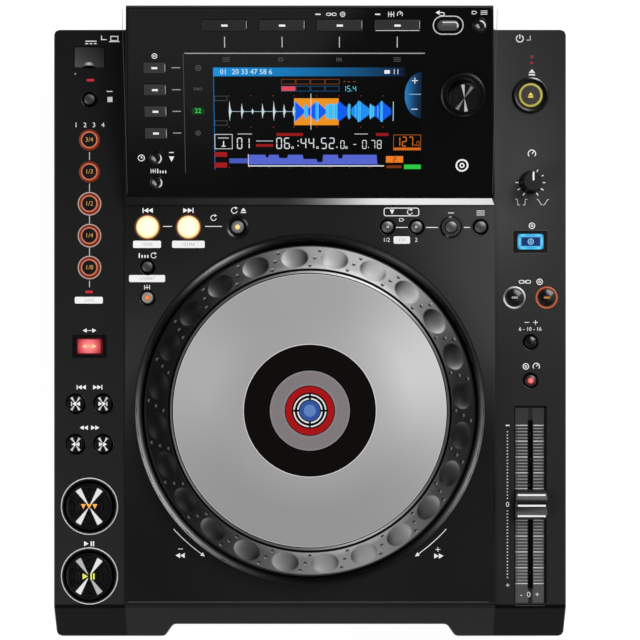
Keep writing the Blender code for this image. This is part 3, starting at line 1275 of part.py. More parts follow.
def build_loading_roller():
    """The waisted rubber roller on its steel axle, lying across the slot."""
    half = ROLLER_LENGTH / 2
    end = DRIVE_WIDTH / 2 - CLEARANCE
    profile = [(0.0, -end), (AXLE_RADIUS, -end), (AXLE_RADIUS, -half), (ROLLER_RADIUS, -half),
               (ROLLER_WAIST, 0.0), (ROLLER_RADIUS, half), (AXLE_RADIUS, half), (AXLE_RADIUS, end),
               (0.0, end)]
    item = revolve("loading_roller", profile, SMALL_STEPS, Matrix.Rotation(math.pi / 2, 4, "Y"))
    settle(item)
    y, z = roller_place()
    item.location = (0.0, y, z)
    return dress(item, (0.03, 0.03, 0.03), 0.8)


def build_usb_door():
    """The flap over the USB well, hinged along its rounded rear edge."""
    half = USB_DOOR_THICKNESS / 2
    depth = USB_DOOR_DEPTH
    arc = [(half * math.cos(turn), half * math.sin(turn))
           for turn in (-math.pi / 2, -math.pi / 4, 0.0, math.pi / 4, math.pi / 2)]
    side_view = arc + [(half - depth, half), (half - depth, -half)]
    item = settle(along_x("usb_door", side_view, -USB_DOOR_WIDTH / 2, USB_DOOR_WIDTH / 2))
    item.location = usb_hinge()
    return dress(item, (0.05, 0.05, 0.052), 0.4)


def usb_hinge():
    """The door's hinge line, half its thickness in from the rear edge and the top."""
    x, y = usb_centre()
    half = USB_DOOR_THICKNESS / 2
    return (x, y + USB_DOOR_DEPTH / 2 - half, SIDE_TOP_Z - half)


def build_selector_shaft():
    """The encoder shaft, which turns the knob's push into a click of the switch."""
    low = DISPLAY_BOARD_W + SELECTOR_TRAVEL + CLEARANCE
    high = SELECTOR_KNOB_HEIGHT - SHEET
    item = prism("selector_shaft", circle(SHAFT_RADIUS, SMALL_STEPS), low, high,
                 on_panel(SELECTOR_X, SELECTOR_ROW))
    return dress(item, (0.5, 0.5, 0.5), 0.3, 1.0)


def build_selector_knob():
    """The rotary selector's knob with its wide skirt, hollow over the shaft."""
    base = SELECTOR_TRAVEL + CLEARANCE
    bore = SHAFT_RADIUS + CLEARANCE
    ceiling = SELECTOR_KNOB_HEIGHT - SHEET + CLEARANCE
    top = SELECTOR_KNOB_HEIGHT + SELECTOR_ROUND
    profile = [(bore, base), (SELECTOR_SKIRT, base), (SELECTOR_SKIRT - SELECTOR_ROUND, base + SHEET),
               (SELECTOR_KNOB_RADIUS + SELECTOR_ROUND / 2, base + SHEET),
               (SELECTOR_KNOB_RADIUS, top - SELECTOR_ROUND), (SELECTOR_KNOB_RADIUS - SELECTOR_ROUND, top),
               (0.0, top), (0.0, ceiling), (bore, ceiling)]
    item = revolve("selector_knob", profile, HUB_STEPS, on_panel(SELECTOR_X, SELECTOR_ROW))
    return dress(item, (0.05, 0.05, 0.052), 0.3)


def speed_knob_place():
    """The middle of the speed adjust knob in plan."""
    return (COLUMN_X, SPEED_Y)


def build_speed_adjust_knob():
    """The small tapered knob on its own shaft."""
    low = CONTROL_BOARD_Z + CLEARANCE - SIDE_TOP_Z
    top = SPEED_KNOB_HEIGHT
    profile = [(0.0, low), (SHAFT_RADIUS, low), (SHAFT_RADIUS, CLEARANCE), (SPEED_KNOB_RADIUS, CLEARANCE),
               (SPEED_KNOB_TOP, top - CAP_CHAMFER), (SPEED_KNOB_TOP - CAP_CHAMFER, top), (0.0, top)]
    x, y = speed_knob_place()
    item = revolve("speed_adjust_knob", profile, MEDIUM_STEPS, at(x, y, SIDE_TOP_Z))
    return dress(item, (0.03, 0.03, 0.032), 0.5)


def build_tempo_fader_cap():
    """The fader cap: a saddle across the finger's path on a thin stem."""
    half = FADER_CAP_LENGTH / 2
    low = CLEARANCE - FADER_POCKET_DEPTH
    high = FADER_CAP_HEIGHT
    right_side = [(half, low), (half - FADER_CAP_LEAN, FADER_CAP_SHOULDER), (FADER_CAP_RIDGE, high),
                  (FADER_CAP_VALLEY, high - FADER_CAP_DIP)]
    side_view = right_side + [(-y, z) for y, z in reversed(right_side)]
    item = settle(along_x("tempo_fader_cap", side_view, -FADER_CAP_WIDTH / 2, FADER_CAP_WIDTH / 2))
    stem_half = FADER_SLOT_WIDTH / 2 - CLEARANCE
    stem_low = CONTROL_BOARD_Z + CLEARANCE - SIDE_TOP_Z
    stem = box("stem", (-stem_half, -FADER_STEM_LENGTH / 2, stem_low),
               (stem_half, FADER_STEM_LENGTH / 2, FADER_CAP_SHOULDER))
    join(item, stem)
    x, y = fader_centre()
    item.location = (x, y, SIDE_TOP_Z)
    return dress(item, (0.04, 0.04, 0.042), 0.4)


def main():
    """Build every piece of the player."""
    clear_scene()
    side = left_column_buttons() + right_column_buttons()
    deck = deck_buttons()
    display = display_buttons()
    build_top_cover(side + deck)
    build_lower_case()
    build_display_housing(display)
    build_display_window(display)
    build_display_board()
    build_control_board()
    build_main_board()
    build_power_board()
    build_drive_frame()
    build_disc_turntable()
    build_loading_roller()
    build_jog_rim()
    build_jog_plate()
    build_jog_display()
    build_usb_door()
    build_power_switch()
    build_selector_shaft()
    build_selector_knob()
    build_speed_adjust_knob()
    build_tempo_fader_cap()
    for button in side:
        button.build(SIDE_TOP_Z - CONTROL_BOARD_Z)
    for button in deck:
        button.build(DECK_TOP_Z - CONTROL_BOARD_Z)
    for button in display:
        row = (PANEL_FRAME.inverted() @ button.frame.translation).y
        button.build(display_floor(row))


main()
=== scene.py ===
"""How the tabletop disc player looks: its smooth pieces, prints, finishes, light and camera."""
import json
import logging
import math
from dataclasses import dataclass, field
from enum import Enum
from typing import Sequence

import bmesh
import bpy
import numpy as np
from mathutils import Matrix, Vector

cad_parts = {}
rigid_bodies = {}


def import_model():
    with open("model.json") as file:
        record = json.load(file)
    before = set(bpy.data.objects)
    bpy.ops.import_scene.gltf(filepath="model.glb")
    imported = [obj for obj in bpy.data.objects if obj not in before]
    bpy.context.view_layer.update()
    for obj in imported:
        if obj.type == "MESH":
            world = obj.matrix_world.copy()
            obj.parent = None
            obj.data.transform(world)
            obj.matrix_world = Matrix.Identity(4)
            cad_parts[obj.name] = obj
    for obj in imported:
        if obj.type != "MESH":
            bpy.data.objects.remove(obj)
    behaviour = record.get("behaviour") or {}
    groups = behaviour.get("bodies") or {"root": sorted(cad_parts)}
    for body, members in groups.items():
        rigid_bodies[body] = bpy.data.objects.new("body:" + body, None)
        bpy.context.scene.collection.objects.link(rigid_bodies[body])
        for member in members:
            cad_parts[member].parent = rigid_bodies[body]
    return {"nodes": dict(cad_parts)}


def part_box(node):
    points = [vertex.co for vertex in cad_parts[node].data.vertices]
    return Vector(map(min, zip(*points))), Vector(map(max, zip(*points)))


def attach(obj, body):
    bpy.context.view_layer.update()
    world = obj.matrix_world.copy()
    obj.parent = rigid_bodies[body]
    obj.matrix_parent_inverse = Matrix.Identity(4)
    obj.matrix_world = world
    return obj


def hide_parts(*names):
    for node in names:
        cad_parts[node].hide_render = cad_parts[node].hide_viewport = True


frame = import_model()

LOG = logging.getLogger("player")

Colour = tuple[float, float, float]
Spot = tuple[float, float]

# Sizes that several sub-assemblies share, in metres
SIDE_TOP = 0.066
DECK_TOP = 0.068
DECK_END = -0.1645
JOG_Y = -0.0488
COLUMN_X = 0.13135
PANEL_FOOT = (0.0765, 0.072)
PANEL_TILT = math.radians(17.0)
CAP_EDGE = 0.0004
CAP_ROOT = 0.0016
INK_LOW = -0.00004
INK_HIGH = 0.00005
CLEAR = 0.0001
ROUND_STEPS = 72


def tone(red: float, green: float, blue: float) -> Colour:
    """Turn a display colour into linear light.

    Args:
        red: Red part, 0 to 255.
        green: Green part, 0 to 255.
        blue: Blue part, 0 to 255.

    Returns:
        The same colour as linear light, 0 to 1.
    """
    parts = np.array((red, green, blue)) / 255.0
    linear = np.where(parts <= 0.04045, parts / 12.92, ((parts + 0.055) / 1.055) ** 2.4)
    return tuple(float(part) for part in linear)


WHITE = tone(236, 236, 236)
SOFT_WHITE = tone(196, 196, 196)
GREY = tone(150, 150, 150)
DIM = tone(84, 84, 88)
AMBER = tone(255, 176, 84)


@dataclass(frozen=True)
class Plane:
    """A flat working face where marks and caps are laid out in two numbers.

    Local x runs across, y runs along the face and z leaves it.
    """

    y: float
    z: float
    tilt: float = 0.0

    def lift(self, points: np.ndarray) -> np.ndarray:
        """Carry local points into the object's frame.

        Args:
            points: Local points, one row each.

        Returns:
            The points turned about the x axis by the tilt and moved to the face's foot.
        """
        cosine, sine = math.cos(self.tilt), math.sin(self.tilt)
        x, y, z = points.T
        return np.column_stack((x, self.y + y * cosine - z * sine, self.z + y * sine + z * cosine))


SIDE = Plane(0.0, SIDE_TOP)
DECK = Plane(0.0, DECK_TOP)
PANEL = Plane(*PANEL_FOOT, PANEL_TILT)
REAR = Plane(-0.1774, 0.0, math.radians(90.0))


@dataclass
class Shape:
    """A mesh in plain arrays: points, blocks of faces, and a colour for each point."""

    points: np.ndarray
    faces: list[np.ndarray]
    tint: np.ndarray | None = None

    def dyed(self, colour: Colour) -> "Shape":
        """Give every point one colour."""
        return Shape(self.points, self.faces, np.tile((*colour, 1.0), (len(self.points), 1)))

    def at(self, x: float = 0.0, y: float = 0.0, z: float = 0.0, turn: float = 0.0) -> "Shape":
        """Turn the shape about its own z axis, then move it.

        Args:
            x: Shift across.
            y: Shift along.
            z: Shift outwards.
            turn: Angle in radians.

        Returns:
            The moved shape.
        """
        cosine, sine = math.cos(turn), math.sin(turn)
        rotation = np.array(((cosine, sine, 0.0), (-sine, cosine, 0.0), (0.0, 0.0, 1.0)))
        return Shape(self.points @ rotation + (x, y, z), self.faces, self.tint)

    def mirrored(self) -> "Shape":
        """The shape with left and right exchanged."""
        return Shape(self.points * (-1, 1, 1), [face[:, ::-1] for face in self.faces], self.tint)

    def on(self, plane: Plane) -> "Shape":
        """Lay the shape on a working face."""
        return Shape(plane.lift(self.points), self.faces, self.tint)


def gather(shapes: Sequence[Shape]) -> Shape:
    """Put many shapes into one mesh.

    Args:
        shapes: The shapes, all dyed or none.

    Returns:
        One shape that holds them all.
    """
    starts = np.cumsum([0] + [len(shape.points) for shape in shapes[:-1]])
    faces = [block + start for shape, start in zip(shapes, starts) for block in shape.faces]
    tints = [shape.tint for shape in shapes if shape.tint is not None]
    return Shape(np.concatenate([shape.points for shape in shapes]), faces,
                 np.concatenate(tints) if tints else None)


def weave(rows: int, columns: int, wrap_rows: bool, wrap_columns: bool) -> np.ndarray:
    """Join the points of a grid with four-sided faces.

    Args:
        rows: Number of rows of points.
        columns: Points in each row.
        wrap_rows: Whether the last row joins the first.
        wrap_columns: Whether the last column joins the first.

    Returns:
        Corner numbers, four to a face; a face looks along column direction x row direction.
    """
    row, column = np.meshgrid(np.arange(rows if wrap_rows else rows - 1),
                              np.arange(columns if wrap_columns else columns - 1), indexing="ij")
    next_row, next_column = (row + 1) % rows, (column + 1) % columns
    corners = (row * columns + column, row * columns + next_column,
               next_row * columns + next_column, next_row * columns + column)
    return np.stack(corners, axis=-1).reshape(-1, 4)


def spin(profile: np.ndarray, steps: int = ROUND_STEPS, ring: bool = False) -> Shape:
    """Turn a profile round the z axis: x = r cos(a), y = r sin(a), z as in the profile.

    Args:
        profile: Rows of radius and height, from the bottom outwards and up to the top.
        steps: Points round the axis.
        ring: True where the profile is a closed loop; otherwise both its ends lie on the axis.

    Returns:
        A closed shape.
    """
    angle = np.linspace(0.0, 2 * math.pi, steps, endpoint=False)
    rows = profile if ring else profile[1:-1]
    radius, height = rows[:, :1], rows[:, 1:]
    points = np.stack((radius * np.cos(angle), radius * np.sin(angle), height + 0.0 * angle),
                      axis=-1).reshape(-1, 3)
    faces = [weave(len(rows), steps, ring, True)]
    if not ring:
        bottom, top = len(points), len(points) + 1
        points = np.vstack((points, (0.0, 0.0, profile[0, 1]), (0.0, 0.0, profile[-1, 1])))
        here = np.arange(steps)
        after = (here + 1) % steps
        last = (len(rows) - 1) * steps
        faces.append(np.column_stack((np.full(steps, bottom), after, here)))
        faces.append(np.column_stack((np.full(steps, top), last + here, last + after)))
    return Shape(points, faces)


def ribbon(right: np.ndarray, left: np.ndarray, low: float, high: float, closed: bool) -> Shape:
    """Fill the strip between two lines as a flat bar with a thickness.

    Args:
        right: Points on the right of the way the strip runs.
        left: As many points on its left.
        low: Lower height.
        high: Upper height.
        closed: Whether the strip runs round and meets itself.

    Returns:
        A closed shape.
    """
    count = len(right)
    levels = ((right, low), (right, high), (left, high), (left, low))
    points = np.concatenate([np.column_stack((line, np.full(count, level))) for line, level in levels])
    faces = [weave(4, count, True, closed)]
    if not closed:
        ends = np.arange(4) * count
        faces.append(np.array((ends, ends[::-1] + count - 1)))
    return Shape(points, faces)


def stroke(path: Sequence[Spot], width: float, closed: bool = False, low: float = INK_LOW,
           high: float = INK_HIGH) -> Shape:
    """Draw a line of even width: each point moves half a width along its mitre on both sides.

    Args:
        path: Points of the line.
        width: Width of the line.
        closed: Whether the line meets itself.
        low: Lower height.
        high: Upper height.

    Returns:
        A closed shape.
    """
    points = np.array(path, dtype=float)
    ahead = np.roll(points, -1, axis=0) - points
    behind = points - np.roll(points, 1, axis=0)
    if not closed:
        ahead[-1], behind[0] = behind[-1], ahead[0]
    ahead /= np.linalg.norm(ahead, axis=1, keepdims=True)
    behind /= np.linalg.norm(behind, axis=1, keepdims=True)
    middle = ahead + behind
    middle /= np.linalg.norm(middle, axis=1, keepdims=True)
    reach = width / 2 / np.maximum(np.sum(middle * ahead, axis=1, keepdims=True), 0.3)
    side = np.column_stack((-middle[:, 1], middle[:, 0])) * reach
    return ribbon(points - side, points + side, low, high, closed)


def arc(radius: float, start: float = 0.0, end: float = 360.0, steps: int = 48) -> np.ndarray:
    """Points on an arc, anticlockwise, with both ends.

    Args:
        radius: Radius of the arc.
        start: First angle in degrees.
        end: Last angle in degrees.
        steps: Number of points.

    Returns:
        The points, one row each.
    """
    angle = np.radians(np.linspace(start, end, steps))
    return np.column_stack((radius * np.cos(angle), radius * np.sin(angle)))


def band(inner: float, outer: float, start: float = 0.0, end: float = 360.0, low: float = INK_LOW,
         high: float = INK_HIGH, steps: int = 64) -> Shape:
    """A flat ring, or part of one, between two radii.

    Args:
        inner: Inner radius.
        outer: Outer radius.
        start: First angle in degrees.
        end: Last angle in degrees.
        low: Lower height.
        high: Upper height.
        steps: Points along the arc.

    Returns:
        A closed shape.
    """
    whole = end - start >= 360.0
    stop = end - 360.0 / steps if whole else end
    return ribbon(arc(outer, start, stop, steps), arc(inner, start, stop, steps), low, high, whole)


def rise(outlines: Sequence[np.ndarray], heights: Sequence[float]) -> Shape:
    """Skin a stack of outlines that have equally many points, with a flat face at both ends.

    Args:
        outlines: Outlines in plan, anticlockwise.
        heights: The height of each, going up.

    Returns:
        A closed shape.
    """
    count = len(outlines[0])
    points = np.concatenate([np.column_stack((line, np.full(count, height)))
                             for line, height in zip(outlines, heights)])
    last = (len(outlines) - 1) * count
    ends = [np.arange(count)[::-1][None], np.arange(last, last + count)[None]]
    return Shape(points, [weave(len(outlines), count, False, True), *ends])


def slab(outline: Sequence[Spot], low: float = INK_LOW, high: float = INK_HIGH) -> Shape:
    """A flat plate with the given outline, whichever way round it is listed.

    Args:
        outline: Its corners.
        low: Height of its underside.
        high: Height of its top.

    Returns:
        A closed plate.
    """
    points = np.array(outline, dtype=float)
    x, y = points.T
    area = np.sum(x * np.roll(y, -1) - np.roll(x, -1) * y)
    return rise([points if area > 0 else points[::-1]] * 2, (low, high))


def oblong(width: float, depth: float, radius: float, steps: int = 6) -> np.ndarray:
    """Outline of a box with round corners, anticlockwise round the middle.

    Args:
        width: Size along x.
        depth: Size along y.
        radius: Corner radius.
        steps: Points in each corner.

    Returns:
        The outline's points.
    """
    corners = []
    for x, y, start in ((1, 1, 0), (-1, 1, 90), (-1, -1, 180), (1, -1, 270)):
        middle = (x * (width / 2 - radius), y * (depth / 2 - radius))
        corners.append(arc(radius, start, start + 90, steps) + middle)
    return np.concatenate(corners)


def plate(x0: float, y0: float, x1: float, y1: float, low: float = INK_LOW, high: float = INK_HIGH) -> Shape:
    """A flat box between two corners in plan."""
    return slab(((x0, y0), (x1, y0), (x1, y1), (x0, y1)), low, high)


def numerals(text: str, size: float, low: float = INK_LOW, high: float = INK_HIGH) -> Shape:
    """Plain figures as a thin solid mesh, centred on the middle.

    Args:
        text: Figures and signs.
        size: Type size.
        low: Lower height.
        high: Upper height.

    Returns:
        A closed shape.
    """
    curve = bpy.data.curves.new("figures", "FONT")
    curve.body = text
    curve.size = size
    curve.align_x = "CENTER"
    curve.align_y = "CENTER"
    curve.resolution_u = 3
    curve.extrude = (high - low) / 2
    item = bpy.data.objects.new("figures", curve)
    bpy.context.scene.collection.objects.link(item)
    graph = bpy.context.evaluated_depsgraph_get()
    mesh = bpy.data.meshes.new_from_object(item.evaluated_get(graph))
    work = bmesh.new()
    work.from_mesh(mesh)
    bmesh.ops.remove_doubles(work, verts=work.verts, dist=0.000001)
    bmesh.ops.recalc_face_normals(work, faces=work.faces)
    work.to_mesh(mesh)
    work.free()
    points = np.empty(len(mesh.vertices) * 3)
    mesh.vertices.foreach_get("co", points)
    faces = [np.array([face.vertices[:]]) for face in mesh.polygons]
    for store, data in ((bpy.data.objects, item), (bpy.data.curves, curve), (bpy.data.meshes, mesh)):
        store.remove(data)
    return Shape(points.reshape(-1, 3) + (0.0, 0.0, (high + low) / 2), faces)


SEGMENTS = {"0": "abcdef", "1": "bc", "2": "abdeg", "3": "abcdg", "4": "bcfg", "5": "acdfg", "6": "acdefg",
            "7": "abc", "8": "abcdefg", "9": "abcdfg", "-": "g"}


def lobe(angle: np.ndarray, centre: float, width: float) -> np.ndarray:
    """A soft hill once round the circle: e to the power of minus ((angle - centre) / width) squared."""
    gap = (angle - centre + 180.0) % 360.0 - 180.0
    return np.exp(-(gap / width) ** 2)


def greys(level: np.ndarray) -> np.ndarray:
    """Point colours from display levels of 0 to 255: (level / 255) to the power 2.2, in all three parts."""
    light = (np.clip(level, 0.0, 255.0) / 255.0) ** 2.2
    return np.column_stack((light, light, light, np.ones_like(light)))


def around(points: np.ndarray) -> tuple[np.ndarray, np.ndarray]:
    """Radius and angle in degrees of points round the z axis."""
    return np.hypot(points[:, 0], points[:, 1]), np.degrees(np.arctan2(points[:, 1], points[:, 0]))


def segment_figure(figure: str, width: float, height: float, weight: float) -> list[Shape]:
    """A figure of up to seven bars with pointed ends, as a lit display draws it.

    Args:
        figure: One figure from 0 to 9, or a minus sign.
        width: Width of the figure.
        height: Its height.
        weight: Thickness of a bar.

    Returns:
        One closed shape for each bar, with the figure's lower left corner at the middle.
    """
    half = height / 2
    ends = {"a": ((0, height), (width, height)), "b": ((width, half), (width, height)),
            "c": ((width, 0), (width, half)), "d": ((0, 0), (width, 0)), "e": ((0, 0), (0, half)),
            "f": ((0, half), (0, height)), "g": ((0, half), (width, half))}
    bars = []
    for name in SEGMENTS[figure]:
        start, end = (np.array(point, dtype=float) for point in ends[name])
        along = (end - start) / np.linalg.norm(end - start)
        across = np.array((-along[1], along[0])) * weight / 2
        start, end = start + along * weight * 0.2, end - along * weight * 0.2
        tip = along * weight / 2
        bars.append(slab([start, start + tip - across, end - tip - across, end,
                          end - tip + across, start + tip + across]))
    return bars


class Signal:
    """A number that varies over a surface; Python's own signs add the Math nodes."""

    def __init__(self, sheet: "Sheet", socket: bpy.types.NodeSocket) -> None:
        """Keep the node tree and the socket that gives the number."""
        self.sheet = sheet
        self.socket = socket

    def __add__(self, other: "Signal | float") -> "Signal":
        """Sum of two numbers."""
        return self.sheet.math("ADD", self, other)

    def __radd__(self, other: float) -> "Signal":
        """Sum with the plain number first."""
        return self.sheet.math("ADD", other, self)

    def __sub__(self, other: "Signal | float") -> "Signal":
        """Difference of two numbers."""
        return self.sheet.math("SUBTRACT", self, other)

    def __rsub__(self, other: float) -> "Signal":
        """Difference with the plain number first."""
        return self.sheet.math("SUBTRACT", other, self)

    def __mul__(self, other: "Signal | float") -> "Signal":
        """Product of two numbers."""
        return self.sheet.math("MULTIPLY", self, other)

    def __rmul__(self, other: float) -> "Signal":
        """Product with the plain number first."""
        return self.sheet.math("MULTIPLY", other, self)

    def __truediv__(self, other: "Signal | float") -> "Signal":
        """Ratio of two numbers."""
        return self.sheet.math("DIVIDE", self, other)

    def __pow__(self, power: float) -> "Signal":
        """The number to a power."""
        return self.sheet.math("POWER", self, power)

    def __abs__(self) -> "Signal":
        """The number without its sign."""
        return self.sheet.math("ABSOLUTE", self)

    def held(self) -> "Signal":
        """The number kept between 0 and 1."""
        return self.sheet.math("MINIMUM", self.sheet.math("MAXIMUM", self, 0.0), 1.0)

    def eased(self, low: float, high: float) -> "Signal":
        """0 below low, 1 above high and a soft S between them; low may be the larger one.

        Args:
            low: Where the step begins.
            high: Where it ends.

        Returns:
            The eased signal.
        """
        node = self.sheet.node("ShaderNodeMapRange", {"interpolation_type": "SMOOTHSTEP", "clamp": True},
                               {"Value": self, "From Min": low, "From Max": high})
        return Signal(self.sheet, node.outputs["Result"])


class Sheet:
    """The node tree of one material or of the world."""

    def __init__(self, name: str, tree: bpy.types.NodeTree | None = None) -> None:
        """Start an empty material of that name, or clear the tree that is given.

        Args:
            name: Name of the new material.
            tree: A tree to use in place of a new material's.
        """
        if tree is None:
            self.material = bpy.data.materials.new(name)
            self.material.use_nodes = True
            tree = self.material.node_tree
        self.tree = tree
        self.tree.nodes.clear()

    def node(self, kind: str, settings: dict | None = None, values: dict | None = None) -> bpy.types.Node:
        """Add any node: its settings first, then the values or links of its sockets.

        Args:
            kind: Blender's node type.
            settings: Attributes to set; "stops" holds a colour ramp's places and colours.
            values: Socket names or numbers with a value, a socket or a signal for each.

        Returns:
            The new node.
        """
        node = self.tree.nodes.new(kind)
        for name, value in (settings or {}).items():
            if name == "stops":
                self._set_stops(node.color_ramp, value)
            else:
                setattr(node, name, value)
        for name, value in (values or {}).items():
            value = value.socket if isinstance(value, Signal) else value
            if isinstance(value, bpy.types.NodeSocket):
                self.tree.links.new(value, node.inputs[name])
            else:
                node.inputs[name].default_value = value
        return node

    @staticmethod
    def _set_stops(ramp: bpy.types.ColorRamp, stops: Sequence[tuple[float, Colour]]) -> None:
        """Fill a colour ramp with places and colours.

        Args:
            ramp: The ramp.
            stops: Places from 0 to 1 and their colours.
        """
        while len(ramp.elements) < len(stops):
            ramp.elements.new(1.0)
        for element, (place, colour) in zip(ramp.elements, stops):
            element.position = place
            element.color = (*colour, 1.0)

    def math(self, operation: str, *values: "Signal | float") -> Signal:
        """Add a Math node on signals or plain numbers."""
        node = self.node("ShaderNodeMath", {"operation": operation}, dict(enumerate(values)))
        return Signal(self, node.outputs[0])

    def place(self, centre: Sequence[float] = (0.0, 0.0, 0.0), tilt: float = 0.0) -> bpy.types.NodeSocket:
        """Object coordinates measured from a centre and along a tilted face.

        Args:
            centre: The point that becomes the origin.
            tilt: Turn of the face about the x axis.

        Returns:
            The vector socket.
        """
        source = self.node("ShaderNodeTexCoord").outputs["Object"]
        mapping = self.node("ShaderNodeMapping", {"vector_type": "TEXTURE"},
                            {"Vector": source, "Location": tuple(centre), "Rotation": (tilt, 0.0, 0.0)})
        return mapping.outputs["Vector"]

    def parts(self, vector: bpy.types.NodeSocket) -> tuple[Signal, Signal, Signal]:
        """The three numbers of a vector."""
        node = self.node("ShaderNodeSeparateXYZ", values={0: vector})
        return tuple(Signal(self, output) for output in node.outputs)

    def polar(self, vector: bpy.types.NodeSocket) -> tuple[Signal, Signal]:
        """Distance from the z axis and angle round it."""
        x, y, _ = self.parts(vector)
        return self.math("SQRT", x * x + y * y), self.math("ARCTAN2", y, x)

    def noise(self, vector: bpy.types.NodeSocket, size: float, detail: float = 2.0) -> Signal:
        """Soft random spots of about the given size, 0 to 1."""
        values = {"Vector": vector, "Scale": 1.0 / size, "Detail": detail}
        return Signal(self, self.node("ShaderNodeTexNoise", values=values).outputs[0])

    def spun(self, vector: bpy.types.NodeSocket, pitch: float) -> Signal:
        """Fine rings round the z axis, each a little different, as turning leaves them.

        Args:
            vector: Place from the axis.
            pitch: Width of a ring.

        Returns:
            Values from 0 to 1.
        """
        radius, angle = self.polar(vector)
        flat = self.node("ShaderNodeCombineXYZ", values={0: radius / pitch, 1: abs(angle) * 1.5, 2: 0.0})
        return self.noise(flat.outputs[0], 1.0, 3.0)

    def mix(self, factor: "Signal | float", first: object, second: object) -> bpy.types.NodeSocket:
        """Blend two colours.

        Args:
            factor: 0 gives the first colour, 1 the second.
            first: A colour or a colour socket.
            second: A colour or a colour socket.

        Returns:
            The blended colour's socket.
        """
        ends = [(*end, 1.0) if isinstance(end, tuple) else end for end in (first, second)]
        node = self.node("ShaderNodeMix", {"data_type": "RGBA"}, {0: factor, 6: ends[0], 7: ends[1]})
        return node.outputs[2]

    def bump(self, height: Signal, depth: float, strength: float = 1.0) -> bpy.types.NodeSocket:
        """Turn a height signal of 0 to 1 into a normal."""
        node = self.node("ShaderNodeBump", values={"Height": height, "Distance": depth, "Strength": strength})
        return node.outputs["Normal"]

    def finish(self, values: dict) -> bpy.types.Material:
        """Close the tree with one Principled shader.

        Args:
            values: Socket names with their values or links.

        Returns:
            The finished material.
        """
        values = {name: (*value, 1.0) if isinstance(value, tuple) and len(value) == 3 else value
                  for name, value in values.items()}
        shader = self.node("ShaderNodeBsdfPrincipled", values=values)
        self.node("ShaderNodeOutputMaterial", values={"Surface": shader.outputs[0]})
        return self.material


def darker(colour: Colour, share: float) -> Colour:
    """A share of a colour's light."""
    return tuple(part * share for part in colour)


@dataclass(frozen=True)
class Moulded:
    """Moulded plastic with a fine spark-eroded grain, and painted light that makes it a little lighter to the
    right.
    """

    name: str
    shade: Colour
    roughness: float = 0.4
    grain: float = 0.0005
    depth: float = 0.00002
    # How much lighter the painted light at the right makes the plastic.
    lighter: float = 1.0
    coat: float = 0.0
    gloss: float = 0.4

    def material(self) -> bpy.types.Material:
        """Build the plastic: cloudy colour, painted light towards the right, matt and shiny grains, and a
        grain bump.

        Returns:
            The finished material.
        """
        sheet = Sheet(self.name)
        place = sheet.place()
        fine = sheet.noise(place, self.grain)
        cloud = sheet.noise(place, 0.06, 3.0)
        x, _, _ = sheet.parts(place)
        # The x term is painted light, lighter to the right; cloud and fine give the plastic's own uneven tone
        # and grain.
        blend = x.eased(-0.15, 0.16) * 0.8 + (cloud - 0.5) * 0.4 + (fine - 0.5) * 0.5
        colour = sheet.mix(blend.held(), darker(self.shade, 0.85), darker(self.shade, 1.15 * self.lighter))
        return sheet.finish({
            "Base Color": colour, "Roughness": (fine - 0.5) * 0.16 + (cloud - 0.5) * 0.1 + self.roughness,
            "Specular IOR Level": self.gloss, "Normal": sheet.bump(fine, self.depth),
            "Coat Weight": self.coat, "Coat Roughness": 0.08})


@dataclass(frozen=True)
class Gloss:
    """Polished dark plastic or glass with faint handling haze."""

    name: str
    shade: Colour
    roughness: float = 0.08
    gloss: float = 0.5

    def material(self) -> bpy.types.Material:
        """Build the gloss: an even colour with a slow haze in its polish.

        Returns:
            The finished material.
        """
        sheet = Sheet(self.name)
        place = sheet.place()
        haze = sheet.noise(place, 0.02, 4.0)
        dust = sheet.noise(place, 0.0007, 1.0).eased(0.68, 0.78)
        colour = sheet.mix(dust * 0.3, self.shade, tuple(part + 0.01 for part in self.shade))
        return sheet.finish({"Base Color": colour, "Specular IOR Level": self.gloss,
                             "Roughness": haze * 0.06 + dust * 0.15 + self.roughness})


@dataclass(frozen=True)
class SpunMetal:
    """Metal turned on a lathe, with painted highlight wedges where light would catch its rings."""

    name: str
    centre: tuple[float, float, float]
    dark: Colour
    bright: Colour
    wedges: tuple[tuple[float, float], ...] = ()
    spread: float = 8.0
    blur: float = 5.0
    reach: tuple[float, float] = (0.0, 1.0)
    roughness: float = 0.3
    metallic: float = 0.6
    tilt: float = 0.0
    pitch: float = 0.0004

    def material(self) -> bpy.types.Material:
        """Build the metal: painted highlight wedges that end at two radii, ring streaks in all of it.

        Returns:
            The finished material.
        """
        sheet = Sheet(self.name)
        place = sheet.place(self.centre, self.tilt)
        radius, angle = sheet.polar(place)
        rings = sheet.spun(place, self.pitch)
        light = rings * 0.1 - 0.05
        start, stop = (math.cos(math.radians(self.spread + gap)) for gap in (self.blur, 0.0))
        inner, outer = self.reach
        within = radius.eased(inner, inner * 1.6 + 0.0001) * radius.eased(outer, outer * 0.95)
        # Each wedge is a painted highlight.
        for turn, strength in self.wedges:
            ray = abs(sheet.math("COSINE", angle - math.radians(turn))).eased(start, stop)
            light = light + ray * within * strength
        return sheet.finish({
            "Base Color": sheet.mix(light.held(), self.dark, self.bright),
            "Roughness": self.roughness + (rings - 0.5) * 0.14, "Metallic": self.metallic,
            "Specular IOR Level": 0.2, "Normal": sheet.bump(rings, 0.000012)})


